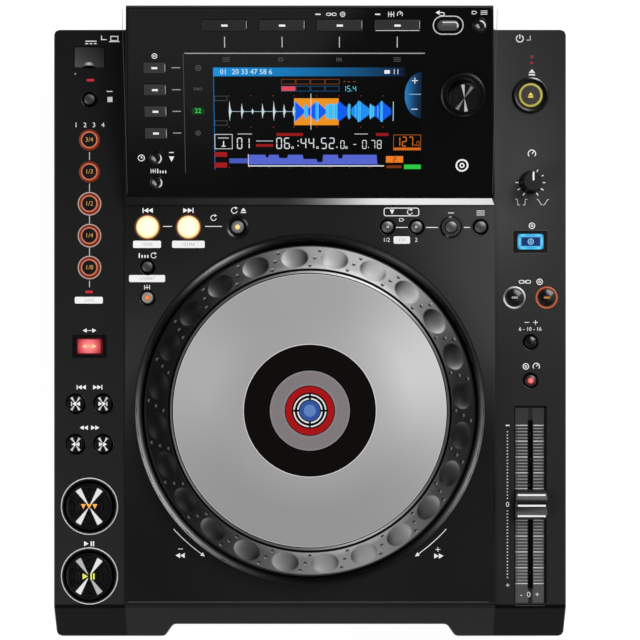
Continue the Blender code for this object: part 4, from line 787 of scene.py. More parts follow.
@dataclass(frozen=True)
class Sheen:
    """Turned metal or smooth plastic whose light and dark parts come from its points' colours."""

    name: str
    centre: tuple[float, float, float] = (0.0, 0.0, 0.0)
    metallic: float = 0.2
    roughness: float = 0.42
    pitch: float = 0.0004
    streak: float = 0.12
    coat: float = 0.0
    gloss: float = 0.3

    def material(self) -> bpy.types.Material:
        """Build the sheen: the points' colour, broken by ring streaks and a satin grain.

        Returns:
            The finished material.
        """
        sheet = Sheet(self.name)
        colour = sheet.node("ShaderNodeAttribute", {"attribute_name": "tint"}).outputs["Color"]
        place = sheet.place(self.centre)
        rings = sheet.spun(place, self.pitch)
        grain = sheet.noise(place, 0.0005)
        dim = (1.0 - rings) * self.streak + (grain - 0.5) * 0.08
        return sheet.finish({
            "Base Color": sheet.mix(dim.held(), colour, (0.0, 0.0, 0.0)), "Metallic": self.metallic,
            "Roughness": self.roughness + (rings - 0.5) * 0.12, "Normal": sheet.bump(rings, 0.000006),
            "Specular IOR Level": self.gloss, "Coat Weight": self.coat, "Coat Roughness": 0.1})


@dataclass(frozen=True)
class CoverPlastic:
    """The cover's black plastic, with painted room light across its deck and down its right column."""

    name: str
    column: float = 0.11
    slope: float = DECK_END
    grain: float = 0.0005

    def material(self) -> bpy.types.Material:
        """Build the plastic: a display level of painted light for each part of the cover, made linear, and a
        grain.

        Returns:
            The finished material.
        """
        sheet = Sheet(self.name)
        place = sheet.place()
        x, y, _ = sheet.parts(place)
        fine = sheet.noise(place, self.grain)
        cloud = sheet.noise(place, 0.05, 3.0)
        side = abs(x).eased(self.column, self.column + 0.0004)
        right = x.eased(-0.05, 0.06)
        # Each level is painted light: it changes across the deck and along the columns as the room light
        # falls, and the front slope has its own.
        columns = self._blend(right, 0.142 - y * 0.2, 0.172 + self._bell(sheet, y - 0.09, 0.075) * 0.085)
        left = 0.103 + x.eased(-0.105, -0.035) * 0.026 + self._bell(sheet, y + 0.018, 0.05) * 0.105
        deck = self._blend(x.eased(0.02, 0.115), left, 0.118 + y.eased(-0.075, -0.005) * 0.149)
        level = self._blend(side, deck, columns + (0.131 - x) * y.eased(0.0, 0.08) * right * 2.2)
        front = y.eased(self.slope, self.slope - 0.0012)
        level = self._blend(front, level, self._blend(side, x * 0.0 + 0.16, x * 0.0 + 0.02))
        shade = sheet.math("MAXIMUM", level ** 2.2 + (cloud - 0.5) * 0.003 + (fine - 0.5) * 0.004, 0.0005)
        white = sheet.mix(shade.held(), (0.0, 0.0, 0.0), (1.0, 0.995, 0.985))
        return sheet.finish({
            "Base Color": white, "Roughness": (fine - 0.5) * 0.16 + (cloud - 0.5) * 0.1 + 0.42,
            "Specular IOR Level": 0.12, "Normal": sheet.bump(fine, 0.00002)})

    @staticmethod
    def _blend(share: Signal, first: Signal, second: Signal) -> Signal:
        """Weigh two numbers: 0 gives the first, 1 the second."""
        return first * (1.0 - share) + second * share

    @staticmethod
    def _bell(sheet: Sheet, gap: Signal, width: float) -> Signal:
        """A soft hill: e to the power of minus (gap / width) squared."""
        return sheet.math("EXPONENT", gap * gap * (-1.0 / width ** 2))


@dataclass(frozen=True)
class Lit:
    """A translucent cap with a lamp under it: light falls off from the middle to the edge."""

    name: str
    centre: tuple[float, float, float]
    radius: float
    stops: tuple[tuple[float, Colour], ...]
    strength: float = 1.0
    tilt: float = 0.0
    roughness: float = 0.3

    def material(self) -> bpy.types.Material:
        """Build the glow: a colour ramp over the distance from the middle.

        Returns:
            The finished material.
        """
        sheet = Sheet(self.name)
        place = sheet.place(self.centre, self.tilt)
        radius, _ = sheet.polar(place)
        mottle = sheet.noise(place, self.radius * 0.4, 3.0)
        share = radius / self.radius + (mottle - 0.5) * 0.04
        ramp = sheet.node("ShaderNodeValToRGB", {"stops": self.stops}, {0: share})
        glow = sheet.mix(0.35, (0.0, 0.0, 0.0), ramp.outputs[0])
        return sheet.finish({
            "Base Color": glow, "Emission Color": ramp.outputs[0], "Emission Strength": self.strength,
            "Roughness": self.roughness + (mottle - 0.5) * 0.1})


@dataclass(frozen=True)
class Ink:
    """Screen-printed ink, or lit picture elements, in the colour of each point."""

    name: str
    glow: float = 0.0
    shown: float = 1.0

    def material(self) -> bpy.types.Material:
        """Build the ink: the points' colour with a slightly uneven, matt film.

        Returns:
            The finished material.
        """
        sheet = Sheet(self.name)
        colour = sheet.node("ShaderNodeAttribute", {"attribute_name": "tint"}).outputs["Color"]
        film = sheet.noise(sheet.place(), 0.0004)
        base = sheet.mix(0.08 * film + (1.0 - self.shown), colour, (0.0, 0.0, 0.0))
        return sheet.finish({
            "Base Color": base, "Roughness": 0.45 + (film - 0.5) * 0.2, "Specular IOR Level": 0.15,
            "Emission Color": colour, "Emission Strength": self.glow})


@dataclass(frozen=True)
class SheetSteel:
    """Painted or bare sheet steel: rolled streaks along x and a fine orange-peel."""

    name: str
    shade: Colour
    metallic: float = 0.0
    roughness: float = 0.45

    def material(self) -> bpy.types.Material:
        """Build the steel: stretched noise for the rolling, small noise for the skin.

        Returns:
            The finished material.
        """
        sheet = Sheet(self.name)
        place = sheet.place()
        x, y, z = sheet.parts(place)
        flat = sheet.node("ShaderNodeCombineXYZ", values={0: x * 30.0, 1: y * 900.0, 2: z * 900.0})
        streak = sheet.noise(flat.outputs[0], 1.0)
        peel = sheet.noise(place, 0.0009)
        colour = sheet.mix((streak * 0.6 + peel * 0.4).held(), darker(self.shade, 0.8),
                           darker(self.shade, 1.2))
        return sheet.finish({
            "Base Color": colour, "Metallic": self.metallic,
            "Roughness": self.roughness + (streak - 0.5) * 0.2, "Normal": sheet.bump(peel, 0.00002)})


@dataclass(frozen=True)
class Board:
    """A circuit board: solder mask with tracks running both ways and small pads."""

    name: str
    mask: Colour

    def material(self) -> bpy.types.Material:
        """Build the board: square waves for the tracks, cells for the pads.

        Returns:
            The finished material.
        """
        sheet = Sheet(self.name)
        place = sheet.place()
        x, y, _ = sheet.parts(place)
        wander = sheet.noise(place, 0.01, 1.0)
        lines = [abs(sheet.math("SINE", value * 2400.0 + wander * 9.0)).eased(0.9, 0.96) for value in (x, y)]
        cells = sheet.node("ShaderNodeTexVoronoi",
                           values={"Vector": place, "Scale": 240.0}).outputs["Distance"]
        pads = Signal(sheet, cells).eased(0.2, 0.15)
        tracks = ((lines[0] * wander.eased(0.5, 0.52) + lines[1] * wander.eased(0.5, 0.48)) * 0.35).held()
        colour = sheet.mix(tracks, self.mask, tuple(part * 2.4 + 0.01 for part in self.mask))
        colour = sheet.mix(pads * 0.8, colour, tone(190, 186, 170))
        return sheet.finish({"Base Color": colour, "Roughness": 0.42 - pads * 0.15, "Metallic": pads * 0.8})


@dataclass(frozen=True)
class Rubber:
    """Soft black rubber with a dusty bloom."""

    name: str
    shade: Colour = (0.016, 0.016, 0.017)

    def material(self) -> bpy.types.Material:
        """Build the rubber: bloom in the colour, fine pores in the bump.

        Returns:
            The finished material.
        """
        sheet = Sheet(self.name)
        place = sheet.place()
        bloom = sheet.noise(place, 0.006, 4.0)
        pores = sheet.noise(place, 0.0006)
        colour = sheet.mix(bloom, self.shade, tuple(part * 1.8 for part in self.shade))
        return sheet.finish({"Base Color": colour, "Roughness": 0.72 + (bloom - 0.5) * 0.2,
                             "Normal": sheet.bump(pores, 0.00004)})


Finish = Moulded | Gloss | SpunMetal | Sheen | CoverPlastic | Lit | Ink | SheetSteel | Board | Rubber

# Print ink that glows a little, a painted light; some painted highlights and a painted shadow are drawn in it
# too.
INK = Ink("print_ink_and_painted_light", glow=0.22)
GLOW = Ink("lit_marks", glow=0.9, shown=0.25)
BLACK_CAP = Moulded("cap_black", (0.004, 0.004, 0.0045), 0.2, grain=0.0003, depth=0.000004, coat=0.3)
DOMED = Sheen("cap_domed", metallic=0.0, roughness=0.3, streak=0.03, coat=0.15, gloss=0.2)
BEZEL = Moulded("bezel_black", (0.0015, 0.0015, 0.0018), 0.24, grain=0.0004, depth=0.000004, coat=0.1)


class Workshop:
    """Makes pieces from shapes and finishes, and keeps one material for each finish."""

    def __init__(self) -> None:
        """Start with no materials and no pieces."""
        self.materials: dict[Finish, bpy.types.Material] = {}
        self.count = 0

    def material(self, finish: Finish) -> bpy.types.Material:
        """The material of a finish, built the first time it is asked for.

        Args:
            finish: What is asked for.

        Returns:
            Its material.
        """
        if finish not in self.materials:
            self.materials[finish] = finish.material()
        return self.materials[finish]

    def piece(self, name: str, shape: Shape, finish: Finish, body: str = "chassis",
              replaces: Sequence[str] = (), slot: str | None = None, sharp: float = 32.0) -> None:
        """Make one piece of the object.

        Args:
            name: The piece's own name.
            shape: Its mesh, in the object's frame.
            finish: What it is made of.
            body: The body that it rides on.
            replaces: Nodes that it stands for.
            slot: The record's material slot; it is not used.
            sharp: Angle in degrees past which an edge stays crisp.
        """
        mesh = bpy.data.meshes.new(name)
        faces = [row.tolist() for block in shape.faces for row in block]
        mesh.from_pydata(shape.points.tolist(), [], faces)
        if shape.tint is not None:
            tint = mesh.attributes.new("tint", "FLOAT_COLOR", "POINT")
            tint.data.foreach_set("color", shape.tint.astype(np.float32).ravel())
        mesh.shade_smooth()
        mesh.set_sharp_from_angle(angle=math.radians(sharp))
        mesh.materials.append(self.material(finish))
        item = bpy.data.objects.new(name, mesh)
        bpy.context.scene.collection.objects.link(item)
        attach(item, body)
        if replaces:
            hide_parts(*replaces)
        self.count += 1
        LOG.info("%s: %d faces on %s", name, len(faces), body)

    def marks(self, name: str, shapes: Sequence[Shape], plane: Plane, ink: Finish = INK) -> None:
        """Lay dyed shapes on a working face as one piece."""
        self.piece(name, gather(shapes).on(plane), ink)

    def dress(self, node: str, finish: Finish) -> None:
        """Give a CAD node a better material in each of its slots.

        Args:
            node: The node.
            finish: What it is made of.
        """
        item = frame["nodes"][node]
        for slot in item.material_slots:
            slot.material = self.material(finish)
        LOG.info("%s: dressed as %s", node, finish.name)


def plan_centre(node: str) -> Spot:
    """The middle of a node in plan, from the CAD's own box."""
    low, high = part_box(node)
    return ((low.x + high.x) / 2, (low.y + high.y) / 2)


def cap_profile(radius: float, height: float, edge: float = CAP_EDGE, crown: float = 0.0,
                root: float = CAP_ROOT) -> np.ndarray:
    """Side view of a round cap: straight wall, quarter-round edge, top as crown (1 - r2 / R2).

    Args:
        radius: Radius of the cap.
        height: Height above the face that it leaves.
        edge: Radius of its edge.
        crown: Rise of the middle, or its dip where it is negative.
        root: How far the cap goes down below the face.

    Returns:
        Rows of radius and height, from the bottom to the top of the axis.
    """
    bend = np.radians(np.linspace(0.0, 90.0, 6))
    corner = np.column_stack((radius - edge + edge * np.cos(bend), height - edge + edge * np.sin(bend)))
    inner = radius - edge
    across = inner * np.linspace(0.88, 0.0, 9)
    top = np.column_stack((across, height + crown * (1.0 - (across / inner) ** 2)))
    return np.vstack(((0.0, -root), (radius, -root), corner, top))


def bezel_profile(hole: float, dish: float, lip: float, rise_by: float) -> np.ndarray:
    """Side view of the ring round a cap: a lip at the face and a cone down to the cap.

    Args:
        hole: Inner radius, just clear of the cap.
        dish: Radius where the cone meets the face.
        lip: How much further the lip reaches.
        rise_by: How far the lip stands up.

    Returns:
        A closed loop of radius and height.
    """
    facet = dish * 0.955
    return np.array(((hole, -0.0016), (dish + lip, -0.0003), (dish + lip, rise_by * 0.5),
                     (dish + lip * 0.7, rise_by), (dish, rise_by), (facet, 0.00008),
                     (hole + (facet - hole) * 0.5, -0.0004), (hole, -0.001)))


def bar(x: float, y: float, half_width: float, half_depth: float, colour: Colour = WHITE) -> Shape:
    """A small printed box about a place."""
    return plate(x - half_width, y - half_depth, x + half_width, y + half_depth).dyed(colour)


def glow(name: str, node: str, plane: Plane, radius: float, rows: Sequence[tuple[float, ...]],
         strength: float) -> Lit:
    """Light a button from below, on a level working face.

    Args:
        name: The finish's name.
        node: The button.
        plane: The face that it stands in.
        radius: Where the light ends.
        rows: Place from the middle, 0 to 1, and the display colour there.
        strength: How bright it is.

    Returns:
        The cap's finish.
    """
    stops = tuple((place, tone(*colour)) for place, *colour in rows)
    return Lit(name, (*plan_centre(node), plane.z), radius, stops, strength)


def label_box(width: float, depth: float, x: float, y: float) -> list[Shape]:
    """A white box with a row of pale grey figures in it.

    Args:
        width: Size along x.
        depth: Size along y.
        x: Middle across.
        y: Middle along.

    Returns:
        The box and its figures.
    """
    room = int(width / 0.003)
    figures = numerals("1234567"[:room], depth * 0.62, high=0.00009).dyed(tone(176, 176, 178))
    return [slab(oblong(width, depth, 0.0008)).at(x, y).dyed(WHITE), figures.at(x, y)]


def triangle(x: float, size: float, way: int) -> Shape:
    """A solid arrowhead that points along x."""
    return slab(((x - way * size * 0.45, size / 2), (x - way * size * 0.45, -size / 2),
                 (x + way * size * 0.45, 0)))


@dataclass(frozen=True, eq=False)
class Glyph:
    """A sign's parts about its middle, in units of its height.

    Arrows are x, y, size and way; boxes are two corners; lines and loops are open and closed strokes.
    """

    arrows: tuple[tuple[float, float, float, int], ...] = ()
    boxes: tuple[tuple[float, float, float, float], ...] = ()
    lines: tuple[Sequence[Spot], ...] = ()
    loops: tuple[Sequence[Spot], ...] = ()
    solids: tuple[Sequence[Spot], ...] = ()
    rings: tuple[Spot, ...] = ()
    weight: float = 0.13

    def draw(self, size: float) -> list[Shape]:
        """Draw the parts.

        Args:
            size: Height of the sign.

        Returns:
            Closed shapes.
        """
        shapes = [triangle(x * size, part * size, way).at(y=y * size) for x, y, part, way in self.arrows]
        shapes += [plate(*(end * size for end in box)) for box in self.boxes]
        for paths, closed in ((self.lines, False), (self.loops, True)):
            shapes += [stroke(np.array(path) * size, self.weight * size, closed) for path in paths]
        shapes += [slab(np.array(outline) * size) for outline in self.solids]
        return shapes + [band(inner * size, outer * size) for inner, outer in self.rings]


BAR = (-0.5, -0.065, 0.5, 0.065)


class Sign(Enum):
    """The plain signs that mark the controls."""

    PLAY_PAUSE = Glyph(((-0.62, 0, 1, 1),), ((0.22, -0.5, 0.48, 0.5), (0.66, -0.5, 0.92, 0.5)))
    EJECT = Glyph(boxes=((-0.5, -0.5, 0.5, -0.26),), solids=(((-0.5, -0.08), (0.5, -0.08), (0, 0.5)),))
    SKIP_BACK = Glyph(((-0.3, 0, 1, -1), (0.6, 0, 1, -1)), ((-0.98, -0.5, -0.78, 0.5),))
    SKIP_FORWARD = Glyph(((0.3, 0, 1, 1), (-0.6, 0, 1, 1)), ((0.78, -0.5, 0.98, 0.5),))
    WIND_BACK = Glyph(((-0.46, 0, 1, -1), (0.46, 0, 1, -1)))
    WIND_FORWARD = Glyph(((-0.46, 0, 1, 1), (0.46, 0, 1, 1)))
    BOTH_WAYS = Glyph(((-1.1, 0, 1, -1), (1.1, 0, 1, 1)), ((-0.7, -0.065, 0.7, 0.065),))
    RETURN = Glyph(((-0.55, 0.25, 0.7, -1),), lines=(
        np.vstack(((-0.5, 0.25), arc(0.25, 90, -90, 12) + (0.3, 0), (-0.2, -0.25))),))
    POWER = Glyph(boxes=((-0.065, 0, 0.065, 0.575),), lines=(arc(0.45, 120, 420, 24),))
    LAPTOP = Glyph(boxes=((-0.75, -0.4, 0.75, -0.275),),
                   loops=(((-0.5, -0.2), (0.5, -0.2), (0.5, 0.4), (-0.5, 0.4)),))
    DIRECT_CURRENT = Glyph(boxes=((-0.8, 0.13, 0.8, 0.26), (-0.8, -0.208, -0.416, -0.078),
                                  (-0.192, -0.208, 0.192, -0.078), (0.416, -0.208, 0.8, -0.078)))
    STOP = Glyph(boxes=((-0.5, -0.5, 0.5, 0.5),))
    LOOP = Glyph(((0.375, 0.425, 0.5, 1),), lines=(arc(0.5, 60, 350, 28),))
    BEATS = Glyph(boxes=((-1.03, -0.5, -0.77, 0.5), (-0.43, -0.5, -0.17, 0.1), (0.17, -0.5, 0.43, 0.1),
                         (0.77, -0.5, 1.03, 0.1)))
    CLOCK = Glyph(lines=(((0, 0.3), (0, 0), (0.225, 0)),), loops=(arc(0.5, 0, 352, 28),))
    GRID = Glyph(boxes=(BAR, *((x - 0.065, -0.5, x + 0.065, 0.5) for x in (-0.5, 0, 0.5))))
    TAG = Glyph(loops=(((-0.5, -0.3), (0.2, -0.3), (0.5, 0), (0.2, 0.3), (-0.5, 0.3)),))
    DISC = Glyph(rings=((0.37, 0.5), (0.1, 0.2)))
    PLUS = Glyph(boxes=(BAR, (-0.065, -0.5, 0.065, -0.065), (-0.065, 0.065, 0.065, 0.5)))
    MINUS = Glyph(boxes=(BAR,))
    LINKED = Glyph(boxes=((-0.3, -0.065, 0.3, 0.065),), loops=tuple(oblong(0.9, 0.5, 0.24) + (x, 0)
                                                                    for x in (-0.55, 0.55)))
    MARKER = Glyph(solids=(((-0.5, 0.5), (0.5, 0.5), (0, -0.5)),))
    LIST = Glyph(boxes=tuple((-0.8, y - 0.065, 0.8, y + 0.065) for y in (-0.4, 0, 0.4)))
    DIAL = Glyph(lines=(arc(0.5, -40, 220, 24), ((0, 0), (0.25, 0.3))))
    FAST_RISE = Glyph(lines=(((-0.5, 0.5), (-0.15, 0.5), (-0.05, -0.5), (0.3, -0.5)),))
    SLOW_RISE = Glyph(lines=(((-0.5, 0.5), (-0.25, 0.4), (0.25, -0.4), (0.5, -0.5)),))


def sign(kind: Sign, size: float, colour: Colour = WHITE) -> list[Shape]:
    """Draw a sign of a given height and ink about the middle."""
    return [shape.dyed(colour) for shape in kind.value.draw(size)]


def signs(placed: Sequence[tuple[Sign, float, float, float]], colour: Colour = WHITE,
          x: float = 0.0) -> list[Shape]:
    """Draw signs that are given by kind, place across and along, and height; x shifts them all."""
    return [shape.at(x + across, along) for kind, across, along, size in placed
            for shape in sign(kind, size, colour)]


@dataclass
class Assembly:
    """Pieces that belong together, made in one workshop."""

    shop: Workshop


@dataclass
class JogWheel(Assembly):
    """The jog wheel: dimpled ring, touch plate and the lit display in its middle."""

    y: float = JOG_Y
    radius: float = 0.0975
    edge: float = 0.0015
    ring_inner: float = 0.0834
    top: float = 0.082
    skirt_inner: float = 0.0958
    skirt_low: float = 0.065
    web_low: float = 0.0774
    web_high: float = 0.08
    hub: float = 0.0153
    bore: float = 0.0123
    hub_low: float = 0.0643
    dimples: int = 24
    first_dimple: float = 95.7
    dimple_length: float = 0.0159
    dimple_middle: float = 0.09
    dimple_width: float = 0.0113
    dimple_depth: float = 0.0016
    bump_places: tuple[Spot, Spot, Spot] = ((0.0856, 1.8), (0.09, 0.0), (0.0944, -1.8))
    bump_size: float = 0.00115
    bump_height: float = 0.0006
    plate_outer: float = 0.0823
    plate_low: float = 0.0803
    plate_top: float = 0.083
    label_outer: float = 0.0388
    display_radius: float = 0.0242
    ticks: int = 120
    steps: int = 1200

    def rim(self) -> Shape:
        """The ring: a closed side view carried round, its top lowered inside each oval, with painted light
        and shade in its points' colours.

        With s along the ring and t across it from a dimple's middle, q = (2s/length)2 + (2t/width)2,
        and the dimple's depth is a softened 1 - q.

        Returns:
            The rim's shape.
        """
        bend = np.radians(np.linspace(0.0, 90.0, 8))
        edge = np.column_stack((self.radius - self.edge * (1 - np.cos(bend)),
                                self.top - self.edge * (1 - np.sin(bend))))
        outer = self.radius - self.edge
        across = np.linspace(outer, self.ring_inner, 38)[1:]
        face = np.column_stack((across, np.full(len(across), self.top)))
        face[-1, 1] -= 0.0002
        under = ((self.hub, self.web_low), (self.skirt_inner, self.web_low),
                 (self.skirt_inner, self.skirt_low), (self.radius, self.skirt_low))
        inside = ((self.ring_inner, self.web_high), (self.bore, self.web_high), (self.bore, self.hub_low),
                  (self.hub, self.hub_low))
        shape = spin(np.vstack((under, edge, face, inside)), self.steps, ring=True)
        radius, angle = around(shape.points)
        pitch = 360.0 / self.dimples
        middle = self.dimple_middle
        turn = (angle - self.first_dimple + pitch / 2) % pitch - pitch / 2
        along = 2 * np.radians(turn) * middle / self.dimple_length
        share = along ** 2 + (2 * (radius - middle) / self.dimple_width) ** 2
        bowl = ((1 - share) + np.sqrt((1 - share) ** 2 + 0.004)) / 2
        on_top = (shape.points[:, 2] > self.top - 0.0001) & (radius > self.ring_inner + 0.0002)
        shape.points[:, 2] -= np.where(on_top, bowl * self.dimple_depth, 0.0)
        # Painted light: the ring's sheen outside each dimple and a painted reflection inside it.
        inside = np.where(on_top, np.clip((1 - share) * 6 + 0.5, 0, 1), 0.0)
        shape.tint = greys(self._sheen(radius, angle) * (1 - inside) + inside
                           * self._mirror(angle - turn, along))
        return shape.at(y=self.y)

    def _sheen(self, radius: np.ndarray, angle: np.ndarray) -> np.ndarray:
        """The ring's painted light: two highlight lobes, a lighter inner edge, and painted shade, near black,
        at both of its sides.

        Args:
            radius: Distances from the axis.
            angle: Angles in degrees.

        Returns:
            Grey levels out of 255.
        """
        inward = 1 + 0.22 * np.clip((0.087 - radius) / 0.0025, 0, 1)
        level = (17 + 184 * lobe(angle, 70, 41) + 132 * lobe(angle, 286, 44)) * inward
        level = level * (1 - 0.94 * np.clip((radius - self.radius + 0.0014) / 0.0008, 0, 1))
        return np.where(radius < self.ring_inner + 0.0001, 3, level)

    @staticmethod
    def _mirror(angle: np.ndarray, along: np.ndarray) -> np.ndarray:
        """A dimple's painted reflection: as a hollow mirror it shows the lobes in reverse along the ring."""
        seen = angle - 13 * along - 24 * along ** 3
        return 18 + 182 * lobe(seen, 70, 38) + 140 * lobe(seen, 284, 42)

    def bumps(self) -> Shape:
        """Small domes in slanting rows between the dimples, each with painted light on its outer side and
        painted shade towards the middle.

        Returns:
            All the domes as one mesh.
        """
        size = self.bump_size
        dome = spin(np.array(((0.0, -0.0003), (size, -0.0003), (size, 0.0),
                              (size * 0.86, self.bump_height * 0.5),
                              (size * 0.6, self.bump_height * 0.85), (size * 0.3, self.bump_height * 0.97),
                              (0.0, self.bump_height))), 16)
        domes = []
        for index in range(self.dimples):
            middle = self.first_dimple + (index + 0.5) * 360.0 / self.dimples
            for radius, turn in self.bump_places:
                angle = math.radians(middle + turn)
                # Painted light: the domes are brighter where the ring's highlight lobes are.
                ring = float(lobe(np.array(middle), 73, 42) + 0.7 * lobe(np.array(middle), 284, 44))
                out = np.array((math.cos(angle), math.sin(angle)))
                inner = np.clip(-(dome.points[:, :2] @ out) / size * 1.7 + 0.35, 0, 1)
                light, dark = 96 + 100 * ring, 14 + 52 * ring
                dot = Shape(dome.points, dome.faces, greys(light * (1 - inner) + dark * inner))
                domes.append(dot.at(radius * out[0], self.y + radius * out[1], self.top))
        return gather(domes)

    def touch_plate(self) -> Shape:
        """The plate: chamfered edge, a fine groove inside it, and a flat face down to its eye.

        Returns:
            The plate, with painted light and shade that change with the angle round it.
        """
        eye = self.display_radius + 0.0003
        outer = self.plate_outer
        top = self.plate_top
        edge = ((eye, self.plate_low), (outer, self.plate_low), (outer, top - 0.0012),
                (outer - 0.0003, top - 0.0005), (outer - 0.0008, top - 0.0002),
                (outer - 0.0014, top - 0.0002), (outer - 0.00145, top - 0.0007),
                (outer - 0.0019, top - 0.0007), (outer - 0.00195, top - 0.00005), (outer - 0.0021, top))
        face = [(outer - 0.0024, top), *((radius, top) for radius in np.linspace(0.076, eye + 0.0002, 14))]
        shape = spin(np.array((*edge, *face, (eye, top - 0.0002))), 360, ring=True)
        radius, angle = around(shape.points)
        # Painted light and shade: a sweep of light over the face, a bright chamfer, a dark groove, highlight
        # lobes on the edge and near black at the eye and the outer gap.
        out = np.clip((radius - 0.04) / 0.02, 0, 1)
        sweep = 60 * lobe(angle, 20, 42) + 27 * lobe(angle, 162, 36) + 8 * lobe(angle, 98, 22)
        level = 163 + out * sweep + (1 - out) * (12 + 20 * lobe(angle, 20, 50))
        rim = 84 + 176 * lobe(angle, 68, 30) + 112 * lobe(angle, 295, 27) + 34 * lobe(angle, 208, 24)
        level = np.where(radius > outer - 0.00215, 232, level)
        level = np.where(radius > outer - 0.00197, 44, level)
        level = np.where(radius > outer - 0.00142, rim, level)
        level = np.where(radius < eye + 0.0008, 6, level)
        shape.tint = greys(np.where(radius > outer - 0.0001, 6, level))
        return shape.at(y=self.y)

    def label(self) -> Shape:
        """The black ring printed on the plate round the display.

        Returns:
            The ring and its white edge line.
        """
        black = band(self.display_radius + 0.0006, self.label_outer, low=-0.0001, high=0.00003, steps=240)
        line = band(self.label_outer, self.label_outer + 0.0004, low=-0.0001, high=0.00003, steps=240)
        ring = gather([black.dyed(tone(13, 9, 8)), line.dyed(tone(232, 232, 232))])
        return ring.at(y=self.y, z=self.plate_top)

    def display(self) -> Shape:
        """The fixed display's round face on its stem.

        Returns:
            A turned solid.
        """
        radius, top = self.display_radius, self.plate_top
        side = np.array(((0.0, 0.062), (0.0087, 0.062), (0.0087, 0.0806), (radius, 0.0806),
                         (radius, top - 0.0002), (radius - 0.0002, top), (radius * 0.5, top), (0.0, top)))
        return spin(side, 180).at(y=self.y)

    def display_marks(self) -> Shape:
        """Rings on the display: grey with ticks, red, two broken white ones and the blue middle.

        Returns:
            The dyed rings.
        """
        ash, tick = tone(139, 132, 135), tone(116, 108, 113)
        marks = [band(0.0148, 0.0235, steps=180).dyed(ash),
                 band(0.0106, 0.0143, steps=120).dyed(tone(172, 8, 14)),
                 spin(cap_profile(0.006, 0.00006, edge=0.00003, root=0.0001), 96).dyed(tone(48, 84, 160)),
                 spin(cap_profile(0.0036, 0.0001, edge=0.00003, root=0.0001), 48).dyed(tone(96, 132, 196))]
        for index in range(self.ticks):
            angle = index * 360.0 / self.ticks
            inner = 0.0165 if index % 2 else 0.0155
            marks.append(band(inner, 0.0224, angle, angle + 1.0, high=0.00008, steps=3).dyed(tick))
        for start in (0.0, 90.0, 180.0, 270.0):
            marks.append(band(0.0066, 0.00745, start + 5, start + 85, steps=24).dyed(WHITE))
            marks.append(band(0.0089, 0.0097, start + 3.5, start + 86.5, steps=24).dyed(WHITE))
        return gather(marks).at(y=self.y, z=self.plate_top)

    def build(self) -> None:
        """Make the wheel's pieces and dress them."""
        centre = (0.0, self.y, self.top)
        satin = Sheen("jog_satin", centre, 0.1, 0.46, gloss=0.15)
        silver = Sheen("plate_silver", centre, 0.15, 0.4, 0.0007, 0.05)
        glass = Gloss("jog_glass", (0.003, 0.003, 0.0035), 0.12, 0.15)
        self.shop.piece("jog_ring", self.rim(), satin, "jog", ["jog_rim"], "jog_ring", 40.0)
        self.shop.piece("jog_bumps", self.bumps(), satin, "jog", slot="jog_ring")
        self.shop.piece("jog_touch_plate", self.touch_plate(), silver, "jog", ["jog_plate"], "jog_top", 20.0)
        self.shop.piece("jog_label", self.label(),
                        Sheen("label_print", centre, 0.0, 0.4, streak=0.02, gloss=0.06), "jog")
        self.shop.piece("jog_screen_glass", self.display(), glass, "chassis", ["jog_display"], "jog_screen")
        self.shop.piece("jog_screen_rings", self.display_marks(), Ink("jog_screen_light", 0.2, 0.85))


@dataclass
class JogSurround(Assembly):
    """The raised, rounded lip round the jog well."""

    y: float = JOG_Y
    well: float = 0.0991
    inner: float = 0.0984
    outer: float = 0.1044
    rise_by: float = 0.0018
    floor: float = 0.062

    def lip(self) -> Shape:
        """A rounded lip: the well's wall, a soft crest and a slope down to the deck.

        Returns:
            The lip, with painted highlights on its crest that change with the angle round it.
        """
        share = np.linspace(0.0, 1.0, 16)
        wall = self.well - CLEAR
        crest = np.column_stack((self.outer + CLEAR - (self.outer + CLEAR - self.inner) * share,
                                 DECK_TOP + self.rise_by * np.sin(np.pi * share ** 0.85 * 0.97) ** 0.45
                                 + CLEAR))
        crest[0, 1] = DECK_TOP - 0.0002
        loop = np.vstack(((wall, self.floor + 0.0001), (wall + 0.0004, self.floor + 0.0001),
                          (self.outer - 0.0004, DECK_TOP - 0.0006), crest, (self.inner, DECK_TOP - 0.0004),
                          (wall, DECK_TOP - 0.0012)))
        shape = spin(loop, 360, ring=True)
        radius, angle = around(shape.points)
        # Painted highlights on the crest, strongest at a few angles round the lip.
        shifted = radius + 0.0012 * lobe(angle, 90, 45)
        crest = np.clip((shifted - 0.0995) / 0.0029, 0, 1) * np.clip((0.1042 - shifted) / 0.0011, 0, 1)
        glint = 205 * lobe(angle, 202, 30) + 116 * lobe(angle, 229, 24) + 150 * lobe(angle, 122, 14)
        glint = glint + 166 * lobe(angle, 337, 23) + 74 * lobe(angle, 60, 16) + 46 * lobe(angle, 4, 12)
        shape.tint = greys(12 + crest * (glint + 16 * lobe(angle, 178, 13)) + 12 * (radius > 0.1036))
        return shape.at(y=self.y)

    def build(self) -> None:
        """Make the lip and dress it."""
        finish = Sheen("surround_black", (0.0, self.y, 0.0), 0.0, 0.42, 0.0006, 0.05, gloss=0.12)
        self.shop.piece("jog_surround", self.lip(), finish, slot="case_top")


